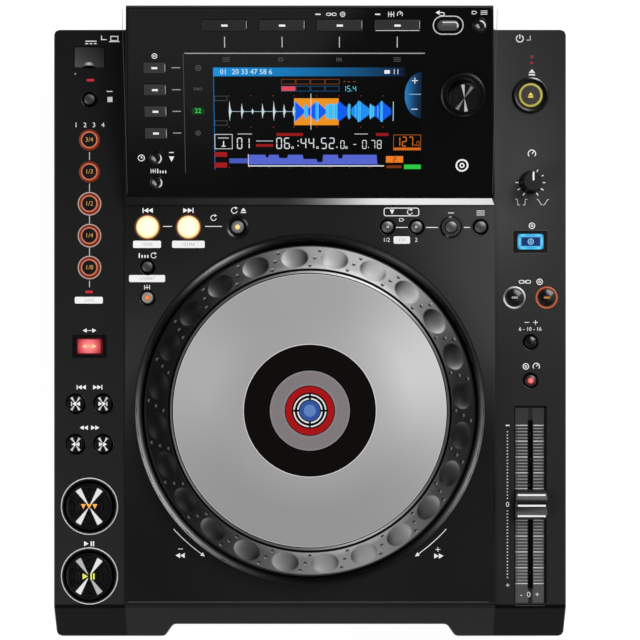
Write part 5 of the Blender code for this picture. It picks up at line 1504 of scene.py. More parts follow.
@dataclass
class RoundButton(Assembly):
    """One round push button: its cap, the ring round it and any light or mark on it."""

    node: str
    plane: Plane
    radius: float
    dish: float
    finish: Finish
    height: float = 0.0014
    crown: float = 0.0002
    bezel: Finish = BEZEL
    lip: float = 0.0004
    rise_by: float = 0.00018
    spot: Spot | None = None
    # Strength of a painted highlight on a domed cap.
    shine: float = 0.0

    def centre(self) -> Spot:
        """Where the button sits on its working face."""
        return self.spot or plan_centre(self.node)

    def build(self, marks: Sequence[Shape] = (), ink: Ink = GLOW) -> None:
        """Make the cap and its ring, and lay marks on the cap.

        Args:
            marks: Dyed shapes, drawn about the cap's middle at its top.
            ink: The marks' finish.
        """
        x, y = self.centre()
        edge = min(CAP_EDGE * (1.0 if self.radius < 0.004 else 1.5), self.radius * 0.2)
        cap = spin(cap_profile(self.radius, self.height, edge, self.crown))
        # Painted highlight on the dome, strongest towards its upper right edge and weaker at the lower left;
        # its outer edge is painted near black.
        if self.shine:
            radius, angle = around(cap.points)
            glint = self.shine * (lobe(angle, 66, 48) + 0.4 * lobe(angle, 225, 40))
            level = 44 + glint * (radius / self.radius) ** 1.4 + 0.2 * self.shine
            cap.tint = greys(np.where(radius > self.radius * 0.87, 4, level))
        self.shop.piece(f"{self.node}_cap", cap.at(x, y).on(self.plane), self.finish, self.node, [self.node])
        if self.dish > 0.0:
            ring = spin(bezel_profile(self.radius + CLEAR, self.dish, self.lip, self.rise_by), ring=True)
            self.shop.piece(f"{self.node}_ring", ring.at(x, y).on(self.plane), self.bezel)
        if marks:
            lifted = gather(marks).at(x, y, self.height + max(self.crown, 0.0)).on(self.plane)
            self.shop.piece(f"{self.node}_mark", lifted, ink, self.node)


@dataclass
class SquareButton(Assembly):
    """One button with four sides and round corners."""

    node: str
    plane: Plane
    size: Spot
    finish: Finish
    radius: float = 0.0008
    height: float = 0.0014
    spot: Spot | None = None
    frame_size: Spot | None = None

    def build(self, marks: Sequence[Shape] = (), ink: Ink = GLOW) -> None:
        """Make the cap with its chamfer, the frame round it, and lay marks on the cap.

        Args:
            marks: Dyed shapes, drawn about the cap's middle at its top.
            ink: The marks' finish.
        """
        x, y = self.spot or plan_centre(self.node)
        width, depth = self.size
        insets = (0.0, 0.0, 0.00012, 0.0004)
        levels = (-CAP_ROOT, self.height - 0.0006, self.height - 0.0002, self.height)
        outlines = [oblong(width - 2 * inset, depth - 2 * inset, max(self.radius - inset, 0.0001))
                    for inset in insets]
        cap = rise(outlines, levels).at(x, y).on(self.plane)
        self.shop.piece(f"{self.node}_cap", cap, self.finish, self.node, [self.node])
        if self.frame_size:
            outer = oblong(self.frame_size[0] + 0.0003, self.frame_size[1] + 0.0003, self.radius)
            inner = oblong(width + 0.0004, depth + 0.0004, self.radius)
            ring = ribbon(outer, inner, -0.0012, 0.0002, True).at(x, y).on(self.plane)
            self.shop.piece(f"{self.node}_frame", ring, BEZEL)
        if marks:
            lifted = gather(marks).at(x, y, self.height).on(self.plane)
            self.shop.piece(f"{self.node}_mark", lifted, ink, self.node)


@dataclass
class LeftColumn(Assembly):
    """The left column: USB door, beat, direction, search, cue and play controls with their prints."""

    x: float = -COLUMN_X
    small: float = 0.0034
    small_dish: float = 0.0047
    beat: float = 0.0052
    beat_dish: float = 0.006
    search: float = 0.0051
    search_dish: float = 0.0062
    play: float = 0.0137
    play_dish: float = 0.0156
    play_ring: float = 0.0169
    play_height: float = 0.0022
    door_size: Spot = (0.0179, 0.0122)
    door_centre: Spot = (-COLUMN_X, 0.161)
    door_thickness: float = 0.0015

    def door(self) -> Shape:
        """The flap: a rounded plate with a crescent scooped from its front edge.

        Returns:
            A closed plate.
        """
        width, depth = self.door_size
        half = width / 2 - 0.0001
        notch = arc(0.0052, 140, 40, 20)
        notch = notch + (0.0, -depth / 2 - notch[0, 1])
        outline = np.vstack(((-half, -depth / 2), notch, (half, -depth / 2), (half, depth / 2 - 0.0006),
                             (half - 0.0005, depth / 2 - 0.0001), (-half + 0.0005, depth / 2 - 0.0001),
                             (-half, depth / 2 - 0.0006)))
        inner = outline * (0.985, 0.98)
        return rise([outline, outline, inner], (-self.door_thickness, -0.0002, 0.0)).at(*self.door_centre)

    def build(self) -> None:
        """Make the column's pieces."""
        door = self.door()
        # The flap's colour is painted light, lighter towards its front left.
        x, y = door.points[:, 0] - self.door_centre[0], door.points[:, 1] - self.door_centre[1]
        door.tint = greys(60 - x * 1500 - y * 2600)
        self.shop.piece("usb_flap", door.on(SIDE), Sheen("door_grey", (*self.door_centre, 0.07), 0.1),
                        "usb_door", ["usb_door"], "usb_flap", 25.0)
        # The scoop's colour is a painted highlight, brightest in the middle of the crescent.
        outer = arc(0.0046, 150, 30, 25) * (1.0, 0.8)
        inner = arc(0.0046, 150, 30, 25) * (0.92, 0.42)
        scoop = ribbon(inner, outer, -0.0008, 0.00006, False)
        bright = 60 + 150 * np.exp(-(np.linspace(-1, 1, 25) / 0.55) ** 2)
        scoop.tint = np.tile(greys(bright), (4, 1))
        scoop = scoop.at(self.door_centre[0] - 0.0004, self.door_centre[1] - self.door_size[1] / 2 - 0.0006)
        self.shop.piece("usb_flap_scoop", scoop.on(SIDE), Sheen("scoop_grey", (*self.door_centre, 0.07), 0.1),
                        "usb_door")
        RoundButton(self.shop, "usb_stop_button", SIDE, self.small, self.small_dish, DOMED, crown=0.0006,
                    shine=80.0).build()
        self._beats()
        self._transport()
        self._prints()

    def _beats(self) -> None:
        """The five lit beat buttons."""
        for index, beat in enumerate(("3/4", "1/3", "1/2", "1/4", "1/8")):
            node = f"beat_{beat.replace('/', '_')}_button"
            x, y = plan_centre(node)
            lamp = Lit(f"beat_glow_{index}", (x, y, SIDE_TOP), self.beat,
                       ((0.0, (0.003, 0.002, 0.002)), (0.8, (0.004, 0.002, 0.002)),
                        (0.84, tone(196, 116, 92)), (0.89, tone(214, 138, 112)),
                        (0.94, tone(196, 84, 46)), (1.0, tone(164, 58, 24))), 0.7)
            ring = glow(f"beat_ring_{index}", node, SIDE, self.beat_dish + 0.0004,
                        ((0.8, 30, 8, 4), (0.87, 150, 50, 20), (0.95, 112, 40, 20), (1, 48, 20, 14)), 0.6)
            button = RoundButton(self.shop, node, SIDE, self.beat, self.beat_dish, lamp, crown=0.0,
                                 bezel=ring)
            button.build([numerals(beat, 0.0038).dyed(tone(196, 146, 84))])
            if index >= 2:
                outer = band(0.0064, 0.007).dyed(tone(190, 164, 160)).at(x, y).on(SIDE)
                self.shop.piece(f"beat_outline_{index}", outer, INK)

    def _transport(self) -> None:
        """Direction, both pairs of search buttons, cue and play."""
        red = glow("direction_glow", "direction_button", SIDE, 0.0085,
                   ((0, 255, 152, 150), (0.55, 226, 92, 98), (0.8, 176, 52, 58), (1, 90, 16, 20)), 0.8)
        edge = stroke(oblong(0.0144, 0.009, 0.0007), 0.0007, True).dyed(tone(66, 10, 14))
        button = SquareButton(self.shop, "direction_button", SIDE, (0.0151, 0.0097), red,
                              frame_size=(0.02, 0.0134))
        button.build([edge, *sign(Sign.BOTH_WAYS, 0.0028, tone(255, 206, 150))])
        kinds = {"track_search_back": Sign.SKIP_BACK, "track_search_forward": Sign.SKIP_FORWARD,
                 "search_back": Sign.WIND_BACK, "search_forward": Sign.WIND_FORWARD}
        for name, kind in kinds.items():
            node = f"{name}_button"
            x, y = plan_centre(node)
            # The spun caps' wedges are painted highlights.
            spun = SpunMetal(f"{name}_spun", (x, y, SIDE_TOP), (0.002, 0.002, 0.0024), tone(244, 244, 246),
                             ((57.0, 0.85), (123.0, 1.0)), 7.0, 5.0, (0.0004, 0.0046), 0.3, 0.2, pitch=0.0002)
            RoundButton(self.shop, node, SIDE, self.search, self.search_dish, spun, crown=-0.0003).build(
                sign(kind, 0.0026), INK)
        cue = [shape.at(x) for x in (-0.0034, 0.0, 0.0034) for shape in sign(Sign.MARKER, 0.003, AMBER)]
        play = sign(Sign.PLAY_PAUSE, 0.0036, tone(226, 228, 110))
        for name, wedges, mark in (("cue", ((57.0, 1.0), (123.0, 1.0)), cue),
                                   ("play_pause", ((57.0, 1.0), (123.0, 0.6)), play)):
            node = f"{name}_button"
            x, y = plan_centre(node)
            # The spun caps' wedges are painted highlights.
            spun = SpunMetal(f"{name}_spun", (x, y, SIDE_TOP), (0.002, 0.002, 0.0024), (1.0, 1.0, 1.0),
                             wedges, 7.0, 3.0, (0.001, 0.0123), 0.28, 0.1, pitch=0.0004)
            button = RoundButton(self.shop, node, SIDE, self.play, self.play_dish, spun, self.play_height,
                                 -0.0004, lip=0.0001, rise_by=0.0007)
            button.build(mark)
            self._silver_ring(name, x, y)

    def _silver_ring(self, name: str, x: float, y: float) -> None:
        """The thin bright ring that stands round cue and play, with painted highlight wedges.

        Args:
            name: The button's name.
            x: Middle across.
            y: Middle along.
        """
        inner, outer, top = self.play_dish + 0.0008, self.play_ring + CLEAR, 0.0007
        loop = np.array(((inner, -0.0002), (outer, -0.0002), (outer, top - 0.0004), (outer - 0.0004, top),
                         (inner + 0.0002, top), (inner, top - 0.0002)))
        silver = SpunMetal(f"{name}_ring_silver", (x, y, SIDE_TOP), tone(232, 232, 234), tone(255, 255, 255),
                           ((60.0, 0.5), (140.0, 0.4)), 10.0, 40.0, roughness=0.3, metallic=0.05,
                           pitch=0.0003)
        self.shop.piece(f"{name}_silver_ring", spin(loop, 120, ring=True).at(x, y).on(SIDE), silver)

    def _prints(self) -> None:
        """White signs, ticks and boxes on the column, and its two red lights."""
        marks = [stroke(((-0.1242, 0.1738), (-0.1242, 0.1715), (-0.1212, 0.1715)), 0.0005).dyed(WHITE),
                 plate(-0.1211, 0.1403, -0.1177, 0.1409).dyed(WHITE),
                 numerals("1   2   3   4", 0.004).dyed(WHITE).at(self.x, 0.1205),
                 *label_box(0.0167, 0.004, -0.13177, 0.01625)]
        placed = ((Sign.DIRECT_CURRENT, 0.0009, 0.1697, 0.0042), (Sign.LAPTOP, 0.0148, 0.1717, 0.0042),
                  (Sign.STOP, 0.0122, 0.1358, 0.003), (Sign.BOTH_WAYS, 0.0, -0.0018, 0.0026),
                  (Sign.SKIP_BACK, -0.005, -0.0356, 0.0027), (Sign.SKIP_FORWARD, 0.005, -0.0356, 0.0027),
                  (Sign.WIND_BACK, -0.0034, -0.0597, 0.0027), (Sign.WIND_FORWARD, 0.0034, -0.0597, 0.0027),
                  (Sign.PLAY_PAUSE, 0.0, -0.1288, 0.003))
        marks += signs(placed, x=self.x)
        for y in (0.1021, 0.0834, 0.0643, 0.0453, 0.0259):
            length = 0.002 if y < 0.03 else 0.0024
            marks.append(bar(self.x, y, 0.00022, length, SOFT_WHITE))
        for x, y in ((-0.1409, -0.0054), (-0.1409, -0.0172), (-0.1398, 0.1511)):
            marks.append(bar(x, y, 0.0004, 0.0004, tone(150, 160, 158)))
        self.shop.marks("left_column_prints", marks, SIDE)
        lights = [slab(oblong(0.0045, 0.0015, 0.0005), high=0.00015).at(x, y).dyed(tone(196, 40, 56))
                  for x, y in ((-0.1308, 0.1473), (-0.1316, 0.0212))]
        self.shop.marks("left_column_lights", lights, SIDE, GLOW)


@dataclass
class RightColumn(Assembly):
    """The right column: eject, speed knob, jog mode, sync, tempo buttons and the tempo fader."""

    x: float = COLUMN_X
    small: float = 0.0034
    small_dish: float = 0.0047
    sync: float = 0.0052
    sync_dish: float = 0.0064
    eject: float = 0.0073
    eject_collar: float = 0.0106
    knob_foot: float = 0.0066
    knob_top: float = 0.0055
    knob_height: float = 0.017
    fader_y: float = -0.1055
    pocket: Spot = (0.0193, 0.1178)
    pocket_depth: float = 0.0008
    scale_step: float = 0.009428
    scale_half: int = 25
    dots_x: float = 0.1176
    rise_sign: float = 0.0034
    rise_row: float = 0.0747
    rise_gap: float = 0.0038
    cap_width: float = 0.0185

    def build(self) -> None:
        """Make the column's pieces."""
        self._eject()
        self._speed_knob()
        self._lit_buttons()
        self._fader()
        self._prints()

    def _eject(self) -> None:
        """The eject button in its standing collar, which has painted highlights."""
        x, y = plan_centre("eject_button")
        lamp = glow("eject_glow", "eject_button", SIDE, self.eject,
                    ((0, 66, 62, 56), (0.7, 44, 42, 36), (0.78, 96, 90, 38),
                     (0.86, 208, 200, 98), (0.93, 186, 178, 62), (1, 48, 46, 16)), 0.6)
        RoundButton(self.shop, "eject_button", SIDE, self.eject, 0.0, lamp, crown=0.0).build(
            sign(Sign.EJECT, 0.003, tone(238, 228, 92)))
        low, high = self.eject + 0.0002, self.eject_collar + CLEAR
        loop = np.array(((low, -0.0012), (high, -0.0002), (high, 0.001), (high - 0.0002, 0.0014),
                         (0.0101, 0.0016), (0.0095, 0.0016), (0.0089, 0.0014), (0.0083, 0.0013),
                         (low, 0.0013)))
        collar = spin(loop, 96, ring=True)
        radius, angle = around(collar.points)
        # Painted highlights: an arc on the collar's outer crest near the top and a smaller one on its inner
        # slope at the lower left.
        collar.tint = greys(3 + 225 * lobe(angle, 73, 21) * (radius > 0.01) +
                            105 * lobe(angle, 250, 20) * (np.abs(radius - 0.0088) < 0.0004))
        self.shop.piece("eject_collar", collar.at(x, y).on(SIDE), DOMED)

    def _speed_knob(self) -> None:
        """The tapered knob with its fluted side and white pointer, with painted light on its side and a
        painted shadow round its foot.
        """
        x, y = plan_centre("speed_adjust_knob")
        turn = np.linspace(0, 2 * math.pi, 144, endpoint=False)
        flute = 1.0 - 0.022 * (0.5 - 0.5 * np.cos(turn * 24))
        outlines, heights, top = [], [], self.knob_height
        for radius, height, depth in ((0.0029, -0.007, 0.0), (0.0029, 0.0004, 0.0),
                                      (self.knob_foot, 0.0004, 0.6), (self.knob_foot, 0.001, 1.0),
                                      (self.knob_top + 0.0001, top - 0.0012, 1.0),
                                      (self.knob_top, top - 0.0004, 0.3), (self.knob_top - 0.0004, top, 0.0),
                                      (self.knob_top * 0.6, top, 0.0)):
            reach = radius * (1.0 + (flute - 1.0) * depth)
            outlines.append(np.column_stack((reach * np.cos(turn), reach * np.sin(turn))))
            heights.append(height)
        knob = rise(outlines, heights)
        _, angle = around(knob.points)
        upper = knob.points[:, 2] > top - 0.0006
        # Painted light: the side is lighter towards the upper right and higher up.
        knob.tint = greys(np.where(upper, 44, 4 + 44 * lobe(angle, 60, 60) * (knob.points[:, 2] / top)))
        self.shop.piece("speed_knob", knob.at(x, y).on(SIDE),
                        Sheen("knob_black", metallic=0.0, streak=0.02, gloss=0.1),
                        "speed_adjust_knob", ["speed_adjust_knob"], "knob")
        pointer = plate(-0.0005, 0.0002, 0.0005, self.knob_top - 0.0003).at(x, y, self.knob_height)
        self.shop.piece("speed_knob_pointer", pointer.dyed(WHITE).on(SIDE), INK, "speed_adjust_knob")
        ticks = [plate(-0.0003, 0.0071, 0.0003, 0.0089).at(turn=math.radians(angle)).dyed(WHITE).at(x, y)
                 for angle in (-150, -120, -90, -60, -30, 90, 120, 150)]
        # A near-black disc round the knob's foot is a painted shadow.
        ticks.append(band(0.004, 0.0069, high=0.00003).dyed(tone(14, 14, 15)).at(x, y))
        self.shop.marks("speed_knob_scale_and_painted_shadow", ticks, SIDE)

    def _lit_buttons(self) -> None:
        """Jog mode, sync, master, tempo range and master tempo."""
        x, y = plan_centre("jog_mode_button")
        blue = Lit("jog_mode_glow", (x, y, SIDE_TOP), 0.0085,
                   ((0.0, tone(30, 96, 160)), (0.45, tone(50, 160, 220)), (0.75, tone(86, 206, 244)),
                    (1.0, tone(24, 84, 150))), 0.9)
        well = slab(oblong(0.0122, 0.0062, 0.0004), high=0.00008).dyed(tone(12, 48, 104))
        rim = stroke(oblong(0.0116, 0.0056, 0.0005), 0.0004, True, high=0.0001).dyed(tone(96, 190, 236))
        button = SquareButton(self.shop, "jog_mode_button", SIDE, (0.0153, 0.0091), blue,
                              frame_size=(0.0204, 0.013))
        disc = [shape.at(z=0.00004) for shape in sign(Sign.DISC, 0.0036, tone(150, 216, 250))]
        button.build([well, rim, *disc])
        edge = stroke(oblong(0.0206, 0.0132, 0.0008), 0.0004, True).dyed(tone(122, 108, 100)).at(x, y)
        self.shop.marks("jog_mode_outline", [edge], SIDE)
        sx, sy = plan_centre("sync_button")
        # The ring round sync has a painted highlight wedge.
        silver = SpunMetal("sync_silver", (sx, sy, SIDE_TOP), tone(120, 120, 122), tone(240, 240, 240),
                           ((235.0, 0.9),), 20.0, 60.0, roughness=0.3, metallic=0.2, pitch=0.0003)
        RoundButton(self.shop, "sync_button", SIDE, self.sync, self.sync_dish, BLACK_CAP, crown=0.0008).build(
            sign(Sign.LINKED, 0.0017, tone(226, 226, 226)))
        self._raised_ring("sync_outer_ring", sx, sy, silver)
        mx, my = plan_centre("master_button")
        orange = Lit("master_ring_glow", (mx, my, SIDE_TOP), self.sync_dish + 0.0004,
                     ((0.76, tone(110, 40, 20)), (0.86, tone(196, 100, 58)), (0.95, tone(176, 80, 40)),
                      (1.0, tone(96, 38, 18))), 0.7)
        master = RoundButton(self.shop, "master_button", SIDE, self.sync, self.sync_dish, BLACK_CAP,
                             crown=0.0008)
        master.build(sign(Sign.LINKED, 0.0017, AMBER))
        self._raised_ring("master_outer_ring", mx, my, orange)
        RoundButton(self.shop, "tempo_range_button", SIDE, self.small, self.small_dish, BLACK_CAP,
                    crown=0.0006).build()
        red = glow("master_tempo_glow", "master_tempo_button", SIDE, self.small,
                   ((0, 255, 150, 150), (0.42, 226, 84, 88), (0.6, 70, 26, 28), (1, 22, 20, 21)), 0.8)
        RoundButton(self.shop, "master_tempo_button", SIDE, self.small, self.small_dish, red,
                    crown=0.0005).build()

    def _raised_ring(self, name: str, x: float, y: float, finish: Finish) -> None:
        """A rounded ring that stands a little above the face round sync and master.

        Args:
            name: The piece's name.
            x: Middle across.
            y: Middle along.
            finish: What it is made of.
        """
        inner, outer = self.sync + 0.0003, self.sync_dish + 0.0003
        bend = np.radians(np.linspace(0, 180, 9))
        crest = np.column_stack(((inner + outer) / 2 + (outer - inner) / 2 * np.cos(bend),
                                 0.0003 * np.sin(bend) + 0.0002))
        loop = np.vstack(((inner, -0.0006), (outer, -0.0002), crest))
        self.shop.piece(name, spin(loop, 96, ring=True).at(x, y).on(SIDE), finish)

    def _fader(self) -> None:
        """The fader's cap with painted light on its slopes and three bright lines of painted highlight, and
        the scale in its pocket.
        """
        flank = np.array(((0.00905, 0.0008), (0.0084, 0.0036), (0.0079, 0.0048), (0.0046, 0.0078),
                          (0.0041, 0.0084), (0.0036, 0.0085), (0.0031, 0.0083), (0.0016, 0.0077)))
        foot = ((-0.00915, -0.0004), (0.00915, -0.0004))
        side = np.vstack((foot, flank, (0.0, 0.0075), flank[::-1] * (-1, 1)))
        half = self.cap_width / 2
        stations = ((-half, 0.94), (-half + 0.0004, 0.985), (-half + 0.0009, 1.0), (half - 0.0009, 1.0),
                    (half - 0.0004, 0.985), (half, 0.94))
        count = len(side)
        rows = [np.column_stack((np.full(count, x), side[:, 0] * share,
                                 (side[:, 1] - 0.002) * share + 0.002)) for x, share in stations]
        faces = [weave(len(rows), count, False, True), np.arange(count)[None, ::-1],
                 np.arange(5 * count, 6 * count)[None]]
        post = plate(-0.0009, -0.0025, 0.0009, 0.0025, -0.007, 0.002)
        body = "tempo_fader_cap"
        whole = gather([Shape(np.concatenate(rows), faces), post])
        y = whole.points[:, 1]
        # The cap's colour is painted light: a highlight band outside each ridge and painted shade inside it.
        whole.tint = greys(44 + 60 * np.exp(-((np.abs(y) - 0.0046) / 0.0014) ** 2)
                           - 34 * np.exp(-((np.abs(y) - 0.0022) / 0.0012) ** 2))
        self.shop.piece("fader_cap", whole.at(self.x, self.fader_y).on(SIDE),
                        Sheen("fader_grey", metallic=0.1), body, [body], "fader", 24.0)
        # The three bright lines are painted highlights.
        lines = [stroke(((-half + 0.001, y), (half - 0.001, y)), wide, low=z - 0.0006, high=z + 0.0001)
                 for y, z, wide in ((0.0061, 0.0067, 0.0013), (0.0, 0.0075, 0.0011),
                                    (-0.0061, 0.0067, 0.0013))]
        self.shop.piece("fader_cap_highlight_lines", gather([line.dyed(WHITE) for line in lines]).at(
            self.x, self.fader_y).on(SIDE), INK, body)
        self._fader_scale()

    def _fader_scale(self) -> None:
        """The pocket's floor with painted shade along it, painted shadow along its walls and round the slot,
        and ruled lines on both sides of the slot, dimmer at their ends.
        """
        floor = -self.pocket_depth
        reach = self.pocket[1] / 2 - 0.0001
        y = np.linspace(-reach, reach, 9)
        halves = []
        for low, high in ((-self.pocket[0] / 2 + 0.0001, -0.0013), (0.0013, self.pocket[0] / 2 - 0.0001)):
            part = ribbon(np.column_stack((np.full(9, high), y)), np.column_stack((np.full(9, low), y)),
                          floor - 0.0002, floor + 0.00003, False)
            # Painted shade: the floor darkens along its length.
            part.tint = np.tile(greys(np.linspace(84, 54, 9)), (4, 1))
            halves.append(part)
        self.shop.piece("fader_pocket_floor", gather(halves).at(self.x, self.fader_y).on(SIDE),
                        Sheen("pocket_grey", streak=0.05, metallic=0.0))
        # Near-black strips along the pocket's walls and round the slot are painted shadow.
        black = (0.0008, 0.0008, 0.0008)
        low, high = floor - 0.0001, floor + 0.0002
        marks = [stroke(oblong(0.0027, 0.1006, 0.0005), 0.0005, True, low, high).dyed(black),
                 plate(0.0081, -reach, 0.0095, reach, low, high).dyed(black),
                 plate(-0.0095, -reach, -0.009, reach, low, high).dyed(black),
                 plate(-0.0095, reach - 0.0012, 0.0095, reach, low, high).dyed(black),
                 numerals("-  0  +", 0.0046, low, high).at(-0.0004, -0.0538).dyed(WHITE)]
        for index in range(-self.scale_half, self.scale_half + 1):
            major = index % 5 == 0
            y = -index * self.scale_step / 5
            for ends in ((-0.0015, -0.0024, -0.007, -0.009 if major else -0.0086),
                         (0.0015, 0.0024, 0.0066, 0.0081 if major else 0.0078)):
                line = stroke([(end, y) for end in ends], 0.00066 if major else 0.00054,
                              low=floor - 0.00003, high=floor + 0.00008)
                shade = greys(np.array((0.8, 1.0, 0.95, 0.7)) * (214 if major else 162))
                line.tint = np.tile(shade, (4, 1))
                marks.append(line)
        self.shop.piece("fader_scale", gather(marks).at(self.x, self.fader_y).on(SIDE), Ink("scale_and_shadow_ink"))

    def _prints(self) -> None:
        """White signs, the dotted tempo scale, a painted highlight along the front edge and the standby
        light.
        """
        marks = [stroke(((0.1312, 0.1738), (0.1312, 0.1712), (0.129, 0.1712)), 0.0005).dyed(SOFT_WHITE),
                 numerals("6 - 10 - 16", 0.0032).dyed(WHITE).at(0.1312, -0.001),
                 # The grey line at the column's front edge is a painted highlight.
                 plate(0.1224, -0.1658, 0.14, -0.1655).dyed(tone(72, 72, 74)),
                 numerals("0", 0.0042).dyed(WHITE).at(0.1177, self.fader_y),
                 plate(0.1166, self.fader_y + 0.0468, 0.1188, self.fader_y + 0.0475).dyed(WHITE)]
        placed = ((Sign.POWER, 0.125, 0.1721, 0.0046), (Sign.EJECT, 0.1322, 0.152, 0.0038),
                  (Sign.DIAL, 0.1322, 0.1035, 0.0044), (Sign.DISC, 0.1322, 0.0606, 0.0038),
                  (Sign.LINKED, 0.128, 0.0272, 0.0034), (Sign.DISC, 0.1368, 0.0272, 0.0038),
                  (Sign.MINUS, 0.1292, 0.003, 0.0028), (Sign.PLUS, 0.1344, 0.003, 0.0028),
                  (Sign.DISC, 0.1286, -0.0232, 0.0038), (Sign.DIAL, 0.1348, -0.0232, 0.0038),
                  (Sign.PLUS, 0.1178, self.fader_y - 0.048, 0.0022))
        marks += signs(placed)
        marks += signs(((Sign.LIST, 0.1322, 0.1612, 0.0014),), tone(196, 70, 64))
        for x, kind in ((0.124, Sign.FAST_RISE), (0.1368, Sign.SLOW_RISE)):
            for shape in sign(kind, self.rise_sign, SOFT_WHITE):
                marks += [shape.at(x, self.rise_row), shape.mirrored().at(x + self.rise_gap, self.rise_row)]
        for index in range(2, self.scale_half - 1):
            marks += [bar(self.dots_x, self.fader_y + side * index * self.scale_step / 5, 0.00042, 0.00034,
                          SOFT_WHITE) for side in (-1, 1)]
        self.shop.marks("right_column_prints_and_painted_highlight", marks, SIDE)
        light = slab(oblong(0.0016, 0.0012, 0.0005), high=0.00015).at(0.1319, 0.1524 + 0.0052)
        self.shop.piece("standby_light", light.dyed(tone(170, 40, 44)).on(SIDE), GLOW)


